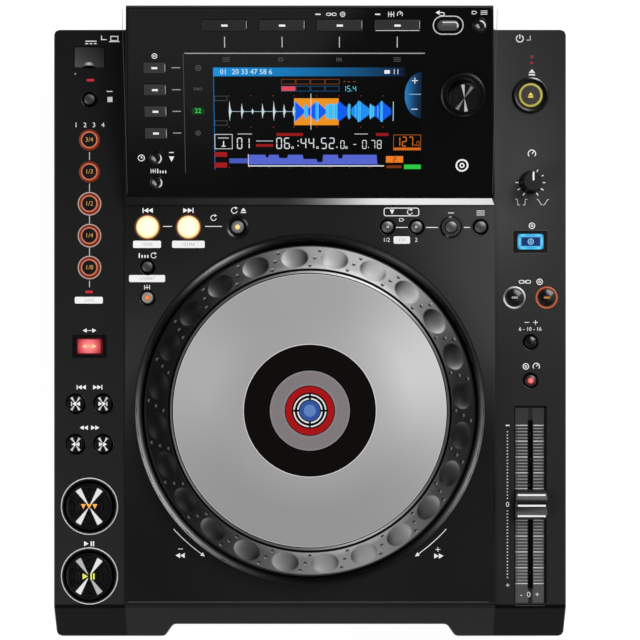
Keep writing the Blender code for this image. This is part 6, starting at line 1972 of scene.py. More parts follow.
@dataclass
class DeckControls(Assembly):
    """The loop, call, delete and memory buttons on the deck, with their prints."""

    small: float = 0.0034
    small_dish: float = 0.0047
    guard: float = 0.0038
    reloop_dish: float = 0.0066
    loop: float = 0.0068
    loop_dish: float = 0.0076
    arrow_rise: float = 0.003
    arrow_radius: float = 0.1098
    arrow_ends: tuple[Spot, Spot] = ((222.4, 234.0), (317.6, 306.0))

    def build(self) -> None:
        """Make the deck's pieces."""
        for name in ("loop_in", "loop_out"):
            node = f"{name}_button"
            lamp = glow(f"{name}_glow", node, DECK, self.loop,
                        ((0, 255, 252, 228), (0.75, 255, 246, 206), (0.9, 248, 222, 156),
                         (1, 200, 150, 90)), 0.85)
            halo = glow(f"{name}_halo", node, DECK, self.loop_dish + 0.0005,
                        ((0.84, 120, 62, 34), (0.92, 82, 36, 22), (1, 30, 18, 15)), 0.6)
            RoundButton(self.shop, node, DECK, self.loop, self.loop_dish, lamp, crown=0.0003,
                        bezel=halo).build()
        centre_lit = glow("reloop_glow", "reloop_button", DECK, self.guard,
                          ((0, 255, 240, 170), (0.3, 250, 220, 120), (0.45, 120, 116, 112),
                           (0.8, 98, 98, 100), (1, 40, 40, 42)), 0.75)
        RoundButton(self.shop, "reloop_button", DECK, self.guard, self.reloop_dish, centre_lit,
                    crown=0.0005).build()
        for name in ("call_back", "call_forward"):
            button = RoundButton(self.shop, f"{name}_button", DECK, self.guard, self.small_dish, DOMED,
                                 crown=0.0005, shine=165.0)
            button.build([triangle(0.0, 0.0018, -1 if name == "call_back" else 1).dyed(SOFT_WHITE)], INK)
        RoundButton(self.shop, "memory_button", DECK, self.guard, self.small_dish, DOMED, crown=0.0006,
                    shine=130.0).build()
        self._delete()
        RoundButton(self.shop, "four_beat_loop_button", DECK, self.small, self.small_dish, DOMED,
                    crown=0.0006, shine=90.0).build()
        slip = glow("slip_glow", "slip_button", DECK, self.small,
                    ((0, 255, 170, 90), (0.3, 236, 116, 44), (0.5, 150, 120, 108),
                     (0.8, 140, 140, 142), (1, 60, 60, 62)), 0.75)
        RoundButton(self.shop, "slip_button", DECK, self.small, self.small_dish, slip, crown=0.0005).build()
        self._prints()

    def _delete(self) -> None:
        """The delete button in its standing guard ring, which has painted highlights."""
        RoundButton(self.shop, "delete_button", DECK, self.guard, 0.0, DOMED, crown=0.0006,
                    shine=150.0).build()
        x, y = plan_centre("delete_button")
        loop = np.array(((0.004, -0.0012), (0.0064, -0.0002), (0.0064, 0.0006), (0.0061, 0.0011),
                         (0.0057, 0.0012), (0.0053, 0.0008), (0.0052, 0.0007), (0.0048, 0.0003),
                         (0.0046, 0.0001), (0.004, -0.0006)))
        ring = spin(loop, 96, ring=True)
        radius, angle = around(ring.points)
        # Painted highlights: glints on the guard's crest at the top and lower left, and a faint grey band on
        # its inner slope.
        glint = 200 * lobe(angle, 95, 10) + 130 * lobe(angle, 248, 11)
        ring.tint = greys(3 + 40 * (np.abs(radius - 0.005) < 0.0003) + glint * (radius > 0.0056))
        self.shop.piece("delete_guard", ring.at(x, y).on(DECK), Sheen("guard_black", gloss=0.05))

    def _prints(self) -> None:
        """White boxes, lines and signs on the deck, the two turning arrows and a painted highlight along its
        front edge.
        """
        marks = []
        for x0, x1 in ((-0.0874, -0.082), (-0.0624, -0.0523), (0.051, 0.0583), (0.069, 0.0761),
                       (0.0916, 0.0952)):
            y = 0.0601 if x0 < 0 else 0.0595
            marks.append(plate(x0, y - 0.00022, x1, y + 0.00022).dyed(WHITE))
        for x0, y0, x1, y1 in ((-0.1052, 0.0473, -0.0886, 0.0516), (-0.082, 0.0473, -0.0626, 0.0516),
                               (-0.1076, 0.027, -0.0862, 0.0312), (0.0497, 0.0498, 0.0595, 0.0542)):
            marks += label_box(x1 - x0, y1 - y0, (x0 + x1) / 2, (y0 + y1) / 2)
        marks.append(stroke(oblong(0.0206, 0.0046, 0.0012), 0.0005, True).at(0.0544, 0.0687).dyed(WHITE))
        placed = ((Sign.SKIP_BACK, -0.0966, 0.0696, 0.003), (Sign.SKIP_FORWARD, -0.0722, 0.0696, 0.003),
                  (Sign.LOOP, -0.045, 0.0696, 0.0034), (Sign.EJECT, -0.0396, 0.0696, 0.003),
                  (Sign.LOOP, -0.0573, 0.0652, 0.0032), (Sign.BEATS, -0.099, 0.0428, 0.0028),
                  (Sign.LOOP, -0.093, 0.0428, 0.003), (Sign.GRID, -0.0969, 0.0238, 0.003),
                  (Sign.MARKER, 0.0488, 0.0687, 0.0028), (Sign.LOOP, 0.0594, 0.0687, 0.003),
                  (Sign.TAG, 0.0545, 0.064, 0.0026), (Sign.MINUS, 0.0838, 0.0681, 0.0034),
                  (Sign.LIST, 0.1015, 0.0681, 0.003), (Sign.MINUS, -0.077, -0.1317, 0.0028),
                  (Sign.PLUS, 0.0761, -0.132, 0.0028), (Sign.WIND_BACK, -0.0772, -0.1356, 0.003),
                  (Sign.WIND_FORWARD, 0.0766, -0.1359, 0.003))
        marks += signs(placed)
        marks.append(numerals("1/2", 0.0034).dyed(WHITE).at(0.0455, 0.052))
        marks.append(numerals("2", 0.0034).dyed(WHITE).at(0.0632, 0.052))
        for start, end in self.arrow_ends:
            path = arc(self.arrow_radius, start, end, 24) + (0.0, JOG_Y + self.arrow_rise)
            marks.append(stroke(path, 0.00045).dyed(WHITE))
            tip = path[-1]
            ahead = (tip - path[-4]) / np.linalg.norm(tip - path[-4])
            across = np.array((-ahead[1], ahead[0]))
            head = slab([tip + ahead * 0.0026, tip - across * 0.0012, tip + across * 0.0012])
            marks.append(head.dyed(WHITE))
        # The grey line along the deck's front edge is a painted highlight.
        marks.append(plate(-0.108, DECK_END + 0.0012, 0.106, DECK_END + 0.0014).dyed(tone(96, 96, 98)))
        self.shop.marks("deck_prints_and_painted_highlight", marks, DECK)


@dataclass
class Selector(Assembly):
    """The rotary selector: a skirted knob with fine knurling and a spun top."""

    spot: Spot = (0.0894, 0.0625)
    skirt: float = 0.0129
    knob: float = 0.0093
    foot: float = 0.0009
    height: float = 0.0127

    def build(self) -> None:
        """Make the knob with its skirt and its top, with painted highlights on the skirt and painted
        highlight wedges on the top.
        """
        x, y = self.spot
        centre = tuple(PANEL.lift(np.array(((x, y, self.height),)))[0])
        turn = np.linspace(0, 2 * math.pi, 360, endpoint=False)
        outlines, heights = [], []
        levels = ((self.skirt, self.foot, 0.0), (self.skirt, 0.0018, 0.0), (self.skirt - 0.0003, 0.0023, 0.0),
                  (self.skirt - 0.001, 0.0025, 0.0), (self.knob + 0.0008, 0.0026, 0.0),
                  (self.knob + 0.0001, 0.0032, 1.0), (self.knob - 0.0001, 0.0112, 1.0),
                  (self.knob - 0.0004, 0.0122, 0.4), (self.knob - 0.0009, 0.0126, 0.0),
                  (self.knob - 0.0012, 0.0127, 0.0), (self.knob - 0.0013, 0.0125, 0.0))
        for radius, height, depth in levels:
            reach = radius - 0.00018 * depth * (0.5 - 0.5 * np.cos(turn * 60))
            outlines.append(np.column_stack((reach * np.cos(turn), reach * np.sin(turn))))
            heights.append(height)
        body = Sheen("selector_grey", centre, 0.0, 0.34, gloss=0.12)
        knob = rise(outlines, heights)
        radius, angle = around(knob.points)
        # Painted light: glints round the skirt's outer edge and a faint light on the rest of it.
        glint = 96 * lobe(angle, 48, 26) + 76 * lobe(angle, 195, 34) + 56 * lobe(angle, 278, 16)
        skirt = 22 + np.where(radius > self.skirt - 0.0008, glint, 8 * lobe(angle, 60, 60))
        knob.tint = greys(np.where(radius < self.knob + 0.0009, 10, skirt))
        self.shop.piece("selector_body", knob.at(x, y).on(PANEL), body, "selector_knob", ["selector_knob"],
                        "knob", 28.0)
        # The top's wedges are painted highlights.
        top = SpunMetal("selector_spun", centre, tone(20, 20, 21), tone(240, 240, 242),
                        ((98.0, 0.8), (57.0, 0.3)), 3.5, 6.0, roughness=0.28, metallic=0.2,
                        tilt=PANEL_TILT, pitch=0.0003)
        disc = spin(np.array(((0.0, -0.0002), (self.knob - 0.0014, -0.0002), (self.knob - 0.0014, 0.0),
                              (self.knob * 0.6, -0.00008), (self.knob * 0.25, -0.0001), (0.0, -0.0001))), 96)
        self.shop.piece("selector_top", disc.at(x, y, 0.01265).on(PANEL), top, "selector_knob")


@dataclass
class Liquid:
    """Collects the lit elements of the screen's picture, a little above the glass."""

    high: float = 0.00006
    parts: list[Shape] = field(default_factory=list)

    def box(self, x0: float, y0: float, x1: float, y1: float, colour: Colour, level: int = 1) -> None:
        """A filled box; a higher level lies on top of a lower one."""
        self.parts.append(plate(x0, y0, x1, y1, INK_LOW, self.high * level).dyed(colour))

    def outline(self, x0: float, y0: float, x1: float, y1: float, colour: Colour, width: float) -> None:
        """The edges of a box."""
        corners = ((x0, y0), (x1, y0), (x1, y1), (x0, y1))
        self.parts.append(stroke(corners, width, True, INK_LOW, self.high * 2).dyed(colour))

    def figures(self, text: str, x: float, y: float, height: float, pitch: float, colour: Colour,
                weight: float = 0.00055, level: int = 2) -> None:
        """Seven-bar figures in a row; a colon or a point takes part of a place.

        Args:
            text: What to write.
            x: Left end.
            y: Foot line.
            height: Height of a figure.
            pitch: Step from figure to figure.
            colour: Their colour.
            weight: Width of a bar.
            level: How high they lie in the picture.
        """
        for figure in text:
            if figure in ":.":
                dots = (0.12,) if figure == "." else (0.28, 0.72)
                for dot in dots:
                    side = weight * 1.2
                    self.box(x, y + height * dot - side / 2,
                             x + side, y + height * dot + side / 2, colour, level)
                x += pitch * 0.35
            elif figure == " ":
                x += pitch * 0.5
            else:
                for bar in segment_figure(figure, pitch * 0.6, height, weight):
                    bar.points[:, 2] = np.where(bar.points[:, 2] > 0, self.high * level, INK_LOW)
                    self.parts.append(bar.at(x + pitch * 0.1, y).dyed(colour))
                x += pitch

    def strip(self, x: np.ndarray, low: np.ndarray, high: np.ndarray, tint: np.ndarray, level: int) -> None:
        """A filled band between a lower and an upper line, coloured from point to point.

        Args:
            x: Places along the band.
            low: Lower line.
            high: Upper line.
            tint: One colour for each place.
            level: How high the band lies in the picture.
        """
        right, left = np.column_stack((x, low)), np.column_stack((x, high))
        shape = ribbon(right, left, INK_LOW, self.high * level, False)
        colours = np.column_stack((tint, np.ones(len(tint))))
        shape.tint = np.tile(colours, (4, 1))
        self.parts.append(shape)


@dataclass
class Screen(Liquid):
    """The screen's picture: title bar, waves, readout and overview."""

    left: float = -0.0562
    right: float = 0.0656
    foot: float = 0.0175
    head: float = 0.0784
    middle: float = 0.0522
    title_low: float = 0.073
    title_high: float = 0.0781
    lens: Spot = (0.0656, 0.0619)
    beat_step: float = 0.0118

    def draw(self) -> list[Shape]:
        """Draw the picture.

        Returns:
            Its lit elements.
        """
        self._header()
        self._waveform()
        self._readout()
        self._overview()
        return self.parts

    def _header(self) -> None:
        """The blue title bar, the left border, the lens at the right and the beat counters."""
        x = np.linspace(self.left, 0.0554, 24)
        share = np.linspace(0.0, 1.0, 24)[:, None]
        tint = (1 - share) * np.array(tone(22, 146, 222)) + share * np.array(tone(8, 14, 44))
        self.strip(x, np.full(24, self.title_low), np.full(24, self.title_high), tint, 1)
        self.box(self.left, self.foot, self.left + 0.0004, self.title_low, tone(20, 110, 176))
        for text, place in (("01", -0.0502), ("20 33 47 58 6", -0.0336)):
            figures = numerals(text, 0.0042, INK_LOW, 0.00012).at(place, 0.0755)
            self.parts.append(figures.dyed(tone(206, 232, 248)))
        self.box(0.0434, 0.0745, 0.0466, 0.0766, tone(232, 232, 236), 2)
        figures = numerals("11", 0.0042, INK_LOW, 0.00012).at(0.0502, 0.0755)
        self.parts.append(figures.dyed(tone(224, 228, 240)))
        x = np.linspace(0.0555, 0.0651, 24)
        middle, height = self.lens
        reach = 0.0136 * np.sqrt(np.clip(1 - ((middle - x) / 0.0102) ** 2, 0, 1))
        share = np.linspace(1.0, 0.0, 24)[:, None]
        tint = share ** 2 * np.array(tone(40, 130, 200)) + (1 - share ** 2) * np.array(tone(8, 34, 62))
        self.strip(x, height - reach, height + reach, tint, 1)
        for kind, y in ((Sign.PLUS, 0.0704), (Sign.MINUS, 0.0536)):
            self.parts += [shape.at(0.0612, y, 0.00006) for shape in sign(kind, 0.0036, WHITE)]
        self.box(0.058, 0.0622, 0.0648, 0.0626, tone(150, 190, 214), 2)
        for x0 in (-0.0165, -0.008, 0.0006, 0.0091):
            self.outline(x0, 0.0684, x0 + 0.008, 0.0712, tone(128, 62, 18), 0.0003)
            self.outline(x0, 0.0643, x0 + 0.008, 0.0671, tone(20, 84, 130), 0.0003)
        self.box(-0.0165, 0.0643, -0.0085, 0.0671, tone(226, 70, 84), 2)
        self.figures("15.4", 0.0192, 0.0641, 0.0032, 0.0025, tone(96, 206, 226), 0.00035)
        for x in (0.0196, 0.0222, 0.0254):
            self.box(x, 0.0697, x + 0.0012, 0.0699, tone(200, 110, 40), 2)

    def _waveform(self) -> None:
        """The scrolling wave: thin spikes, then an orange loop and full blue waves."""
        middle = self.middle
        self.box(-0.0475, middle - 0.0001, -0.0092, middle + 0.0001, tone(196, 226, 236), 2)
        for start, size in ((-0.0473, 0.0104), (-0.0402, 0.008), (-0.034, 0.003), (-0.0281, 0.0078),
                            (-0.0215, 0.01), (-0.0155, 0.0072), (-0.01, 0.0052)):
            x = start + np.linspace(0.0, 0.0019, 6)
            reach = size * np.array((0.1, 1.0, 0.5, 0.2, 0.1, 0.04))
            tint = np.tile(tone(222, 240, 244), (6, 1)) * np.linspace(1.0, 0.45, 6)[:, None]
            self.strip(x, middle - reach * 0.56, middle + reach * 0.62, tint, 3)
        self.box(-0.0092, 0.0441, 0.0169, 0.06, tone(236, 146, 26))
        self._blue_waves()
        self.box(0.0005, 0.0415, 0.0008, 0.0628, tone(240, 240, 240), 5)
        for x in (-0.0473, -0.0344, -0.0215, -0.0092, 0.004, 0.017, 0.0299, 0.0428):
            for y in (0.0613, 0.0428):
                self.box(x - 0.0002, y, x + 0.0002, y + 0.0004, tone(200, 60, 50), 2)
        for y0 in (0.0587, 0.0441):
            self.outline(-0.0556, y0, -0.0484, y0 + 0.0026, tone(74, 74, 78), 0.0003)

    def _blue_waves(self) -> None:
        """Full waves: each rises fast to its tallest and dies away, with lighter strokes in front."""
        middle = self.middle
        deep, sky, pale = tone(14, 98, 250), tone(30, 152, 254), tone(78, 196, 252)
        bursts = ((-9.0, -8.5, -3.4, 5.0, 6.3, 1.2, deep), (-3.4, -2.6, -1.0, 3.0, 4.9, 3.4, pale),
                  (-1.0, 4.1, 9.2, 2.0, 6.3, 1.3, deep), (9.2, 12.8, 16.2, 4.0, 4.7, 4.4, pale),
                  (16.2, 17.2, 22.0, 5.2, 6.3, 2.0, deep), (22.0, 22.8, 23.8, 3.0, 5.0, 4.2, pale),
                  (24.2, 28.9, 34.9, 1.6, 6.6, 1.8, sky), (34.9, 35.6, 37.8, 3.6, 4.5, 3.0, pale),
                  (37.8, 42.0, 47.6, 2.6, 6.4, 1.6, deep))
        for start, peak, end, first, tallest, last, colour in bursts:
            x = np.linspace(start, end, 30)
            reach = np.interp(x, (start, peak, end), (first, tallest, last)) * (0.93 + 0.07 * np.cos(x * 9.0))
            shade = 0.86 + 0.22 * np.sin(x * 5.3)
            self.strip(x / 1000, middle - reach / 1000, middle + reach * 1.03 / 1000,
                       shade[:, None] * np.array(colour), 2)
        strokes = ((-8.8, 6.2), (3.6, 5.6), (4.3, 6.2), (4.9, 5.4), (10.4, 4.6), (12.2, 4.9), (14.0, 4.4),
                   (15.6, 4.7), (26.8, 3.4), (28.4, 6.3), (29.4, 6.0), (35.4, 4.5), (39.8, 3.2), (41.6, 6.0),
                   (42.3, 6.2))
        for x, reach in strokes:
            self.box((x - 0.25) / 1000, middle - reach / 1000,
                     (x + 0.25) / 1000, middle + reach / 1000, pale, 3)
        self.box(0.0486, 0.0466, 0.049, 0.058, tone(150, 226, 244), 3)

    def _readout(self) -> None:
        """Player box, track, time, tempo and beats a minute."""
        pale = tone(226, 230, 234)
        self.outline(-0.0558, 0.03, -0.0456, 0.0386, pale, 0.0003)
        self.box(-0.054, 0.0361, -0.0476, 0.0368, tone(170, 172, 176), 2)
        self.box(-0.051, 0.0313, -0.0504, 0.0346, WHITE, 2)
        self.box(-0.0519, 0.0313, -0.0495, 0.0318, WHITE, 2)
        self.figures("01", -0.043, 0.0302, 0.0062, 0.0043, pale)
        self.figures("06", -0.0199, 0.0302, 0.0062, 0.0046, pale)
        self.figures(":44", -0.0072, 0.0302, 0.0062, 0.0046, pale)
        self.figures("52.", 0.0064, 0.0302, 0.0062, 0.0046, pale)
        self.figures("0", 0.0178, 0.0302, 0.0046, 0.0034, pale, 0.0004)
        self.figures("-", 0.025, 0.0308, 0.0036, 0.0034, pale, 0.0004)
        self.figures("0.78", 0.0306, 0.0302, 0.0048, 0.0037, pale, 0.0004)
        for x in (-0.0101, 0.0046, 0.0216):
            self.outline(x - 0.0006, 0.0302, x + 0.0004, 0.0312, pale, 0.0003)
        for x0, y0, x1, y1 in ((-0.0196, 0.0377, -0.004, 0.0394), (0.0388, 0.0377, 0.0462, 0.0394),
                               (-0.0316, 0.0312, -0.0216, 0.0328)):
            self.box(x0, y0, x1, y1, tone(150, 20, 22))
        for x0, x1, y in ((-0.0424, -0.034, 0.0386), (-0.0316, -0.0216, 0.0344), (0.0262, 0.034, 0.0386)):
            self.box(x0, y, x1, y + 0.0005, tone(180, 182, 186))
        self.outline(0.0492, 0.0292, 0.0651, 0.0383, tone(172, 88, 26), 0.0003)
        self.box(0.0492, 0.0292, 0.0651, 0.0307, tone(214, 104, 26), 2)
        self.figures("127.", 0.0502, 0.0316, 0.0054, 0.0038, tone(240, 128, 44), 0.0004)
        self.figures("0", 0.0626, 0.0318, 0.0026, 0.0024, tone(200, 96, 30), 0.0003)

    def _overview(self) -> None:
        """The whole track's wave, its progress line and the coloured status boxes."""
        self.box(-0.0475, 0.0213, -0.0362, 0.0242, tone(70, 88, 190))
        x = np.linspace(-0.0361, 0.041, 180)
        reach = np.full(len(x), 0.0058)
        for low, high, drop in ((-0.0258, -0.0242, 0.0016), (-0.0183, -0.0132, 0.002),
                                (-0.0038, 0.0041, 0.0026), (0.0041, 0.0076, 0.0044),
                                (0.0167, 0.0191, 0.0022), (0.0396, 0.042, 0.0056)):
            reach = np.where((x > low) & (x < high), 0.0058 - drop, reach)
        tint = np.tile(tone(84, 100, 206), (len(x), 1))
        self.strip(x, np.full(len(x), 0.0206), 0.0206 + reach, tint, 2)
        self.box(-0.0363, 0.0194, 0.0437, 0.02, tone(232, 234, 236), 2)
        for index in range(8):
            x = -0.0475 + index * self.beat_step
            self.box(x, 0.0183, x + 0.0002, 0.019, tone(190, 110, 60), 2)
        self.box(-0.0364, 0.0192, -0.0361, 0.0268, tone(240, 240, 240), 3)
        self.box(0.0448, 0.0217, 0.0549, 0.0256, tone(238, 124, 36))
        self.figures("2", 0.0488, 0.0224, 0.0024, 0.0028, tone(90, 34, 10), 0.0004)
        self.box(0.0555, 0.0178, 0.0654, 0.0205, tone(40, 200, 66))
        self.box(0.0452, 0.0184, 0.054, 0.02, tone(120, 52, 16))
        for y0, y1 in ((0.0252, 0.028), (0.0187, 0.0217)):
            self.box(-0.0562, y0, -0.0488, y1, tone(160, 22, 28))


@dataclass
class Display(Assembly):
    """The sloping display: glass, screen picture, buttons, selector, prints and the front strip."""

    small: float = 0.0034
    source: Spot = (0.013, 0.0064)
    menu: Spot = (0.0265, 0.0064)
    source_x: float = -0.0901
    source_rows: tuple[float, ...] = (0.0394, 0.0523, 0.0651, 0.078)
    menu_places: tuple[float, ...] = (-0.0492, -0.0159, 0.0174, 0.0507)
    menu_row: float = 0.1027
    strip_half: float = 0.1094
    strip_top_end: float = 0.1078
    strip_low: Spot = (0.073, 0.0691)
    strip_steps: int = 40

    def build(self) -> None:
        """Make the display's pieces."""
        self._buttons()
        self._prints()
        self._screen()
        self._front_strip()
        Selector(self.shop).build()

    def _buttons(self) -> None:
        """Source, menu, back, tag, time mode and quantize buttons."""
        # Both greys get a stronger painted light towards the right.
        source_grey = Moulded("source_grey", tone(58, 58, 60), 0.4, grain=0.0006, depth=0.00006, lighter=1.6,
                              gloss=0.25)
        menu_grey = Moulded("menu_grey", tone(36, 36, 37), 0.4, grain=0.0006, depth=0.00006, lighter=2.4,
                            gloss=0.2)
        for index, row in enumerate(self.source_rows):
            x = self.source_x
            # A white bar, and a thin line near the right edge that is a painted highlight.
            dash_and_glint = [plate(-0.0017, -0.0006, 0.0017, 0.0006).dyed(WHITE).at(-0.0001),
                    plate(0.0058, -0.002, 0.0062, 0.0024).dyed(GREY)]
            SquareButton(self.shop, f"source_{index + 1}_button", PANEL, self.source, source_grey, 0.0004,
                         spot=(x, row)).build(dash_and_glint, INK)
        for index, x in enumerate(self.menu_places):
            # A white bar, a thin line near the right edge that is a painted highlight, and on the last button
            # a line along the lower edge.
            dash_and_glint = [plate(-0.0018, -0.0006, 0.0018, 0.0006).dyed(WHITE),
                    plate(0.0126, -0.0016, 0.0128, 0.0026).dyed(SOFT_WHITE)]
            if index == 3:
                dash_and_glint.append(plate(-0.0126, -0.003, 0.0126, -0.00275).dyed(WHITE))
            SquareButton(self.shop, f"menu_{index + 1}_button", PANEL, self.menu, menu_grey, 0.0004,
                         spot=(x, self.menu_row)).build(dash_and_glint, INK)
        # Painted highlights on the back button: a bright line along its top and round its right end, and a
        # grey bar.
        edge = np.vstack(((-0.0034, 0.0019), arc(0.0019, 90, -35, 8) + (0.0036, 0.0)))
        shine = [stroke(edge, 0.0008, high=0.00005).dyed(tone(206, 206, 208)),
                 plate(-0.0038, 0.0002, 0.004, 0.0005).dyed(tone(122, 122, 124))]
        SquareButton(self.shop, "back_button", PANEL, (0.0125, 0.0061), source_grey, 0.0029,
                     spot=(0.08, self.menu_row)).build(shine, INK)
        for node, spot in (("tag_track_button", (0.0985, self.menu_row)),
                           ("time_mode_button", (-0.0901, 0.0245)), ("quantize_button", (-0.0901, 0.0099))):
            RoundButton(self.shop, node, PANEL, self.small, 0.0037, BLACK_CAP, crown=0.0007, lip=0.0006,
                        spot=spot).build(self._crescent(node), INK)

    def _crescent(self, node: str) -> list[Shape]:
        """The painted highlight on a small domed cap: a bright sickle.

        Args:
            node: The button, which sets the way it turns.

        Returns:
            The painted sickle highlight and its spark.
        """
        turn = 40.0 if node == "tag_track_button" else -12.0
        outer = arc(0.003, turn - 62, turn + 62, 20)
        inner = arc(0.0033, turn + 44, turn - 44, 20) + 0.0011 * np.array(
            (-math.cos(math.radians(turn)), -math.sin(math.radians(turn))))
        spark = slab(oblong(0.0014, 0.0026, 0.0006), -0.0006, 0.0001).at(turn=0.5).at(-0.0014, -0.0003)
        return [slab(np.vstack((outer, inner[1:-1])), -0.0006, -0.00005).dyed(tone(214, 214, 216)),
                spark.dyed(tone(150, 150, 152))]

    def _prints(self) -> None:
        """Silver lines, ticks and white signs on the glass, and painted highlights along its two side edges.
        """
        silver = tone(158, 158, 160)
        marks = [plate(-0.0726, 0.0861, 0.0668, 0.0867).dyed(silver),
                 plate(-0.0736, 0.0154, -0.0732, 0.0864).dyed(tone(70, 70, 72))]
        for x in (-0.0493, -0.016, 0.0172, 0.0507):
            marks.append(bar(x, 0.0929, 0.00024, 0.0031, SOFT_WHITE))
        for row in self.source_rows:
            marks.append(plate(-0.0803, row - 0.00026, -0.0754, row + 0.00026).dyed(silver))
        for x in (0.0048, 0.0392):
            marks.append(bar(x, 0.109, 0.0015, 0.00035))
        ring = stroke(oblong(0.0172, 0.0104, 0.0051), 0.0006, True).at(0.08, self.menu_row)
        marks.append(ring.dyed(SOFT_WHITE))
        placed = ((Sign.LINKED, 0.0125, 0.109, 0.0028), (Sign.DISC, 0.019, 0.109, 0.003),
                  (Sign.GRID, 0.047, 0.109, 0.003), (Sign.DIAL, 0.052, 0.109, 0.003),
                  (Sign.RETURN, 0.0757, 0.1091, 0.0036), (Sign.TAG, 0.095, 0.11, 0.0026),
                  (Sign.LIST, 0.1005, 0.11, 0.0024), (Sign.DISC, -0.0901, 0.0848, 0.0032),
                  (Sign.CLOCK, -0.0993, 0.0245, 0.0036), (Sign.MARKER, -0.0815, 0.0238, 0.0032),
                  (Sign.GRID, -0.0925, 0.0166, 0.0026), (Sign.BEATS, -0.0875, 0.0166, 0.0026),
                  (Sign.DISC, 0.0897, 0.02, 0.0076))
        marks += signs(placed)
        # The two thin grey lines at x = 0.108 and x = -0.108 are painted highlights along the glass's side
        # edges.
        marks += [plate(-0.0829, 0.0275, -0.0801, 0.028).dyed(WHITE),
                  plate(0.108, 0.003, 0.10825, 0.1122).dyed(tone(74, 74, 76)),
                  plate(-0.10825, 0.003, -0.108, 0.1122).dyed(tone(66, 66, 68))]
        dim = ((Sign.LIST, -0.0486, 0.0828, 0.0026), (Sign.TAG, -0.0167, 0.0828, 0.0028),
               (Sign.GRID, 0.017, 0.0828, 0.0026), (Sign.LIST, 0.0507, 0.0828, 0.0026),
               (Sign.DISC, -0.0649, 0.0778, 0.0034), (Sign.LINKED, -0.0652, 0.0655, 0.0024),
               (Sign.DISC, -0.0656, 0.0394, 0.003))
        marks += signs(dim, DIM)
        self.shop.marks("panel_prints_and_painted_highlights", marks, PANEL)
        lamp = slab(oblong(0.0076, 0.0042, 0.0018), high=0.00004).at(-0.0654, 0.0525)
        green = [lamp.dyed(tone(12, 60, 22)),
                 numerals("22", 0.0038).dyed(tone(70, 220, 96)).at(-0.0654, 0.0525, 0.00003)]
        self.shop.marks("panel_green_light", green, PANEL, GLOW)

    def _screen(self) -> None:
        """The screen's dark face and its lit picture."""
        screen = Screen()
        face = plate(screen.left, screen.foot, screen.right, screen.head, -0.0001, 0.00003)
        black = Gloss("screen_black", (0.0012, 0.0013, 0.0016), 0.12, 0.3)
        self.shop.piece("screen_face", face.on(PANEL), black)
        self.shop.piece("screen_picture", gather(screen.draw()).on(PANEL), Ink("screen_light", 1.0, 0.05),
                        sharp=10.0)

    def _front_strip(self) -> None:
        """The chamfer along the display's front edge, with a painted reflection from dark at the left to
        silver.
        """
        count = self.strip_steps
        x = np.linspace(-self.strip_half, self.strip_half, count)
        line = [np.column_stack((x, np.full(count, y - CLEAR), np.full(count, z + CLEAR)))
                for y, z in (self.strip_low, PANEL_FOOT)]
        line[1][:, 0] = np.minimum(line[1][:, 0], self.strip_top_end)
        under = [points + (0.0, 0.0004, -0.0004) for points in line]
        rows = np.concatenate((under[0], line[0], line[1], under[1]))
        faces = [weave(4, count, True, False), np.array((np.arange(4) * count,
                                                         np.arange(4)[::-1] * count + count - 1))]
        # The strip's colour is a painted reflection, and it glows a little.
        climb = np.clip((x + 0.02) / 0.067, 0.0, 1.0)
        level = 21 + 35 * np.clip((x + 0.106) / 0.076, 0.0, 1.0) + 204 * climb ** 2 * (3 - 2 * climb)
        strip = Shape(rows, faces, np.tile(greys(level - 18 * np.clip((x - 0.06) / 0.05, 0.0, 1.0)), (4, 1)))
        self.shop.piece("display_front_strip", strip, Ink("strip_painted_reflection", 0.2, 1.0), slot="display_case",
                        sharp=20.0)


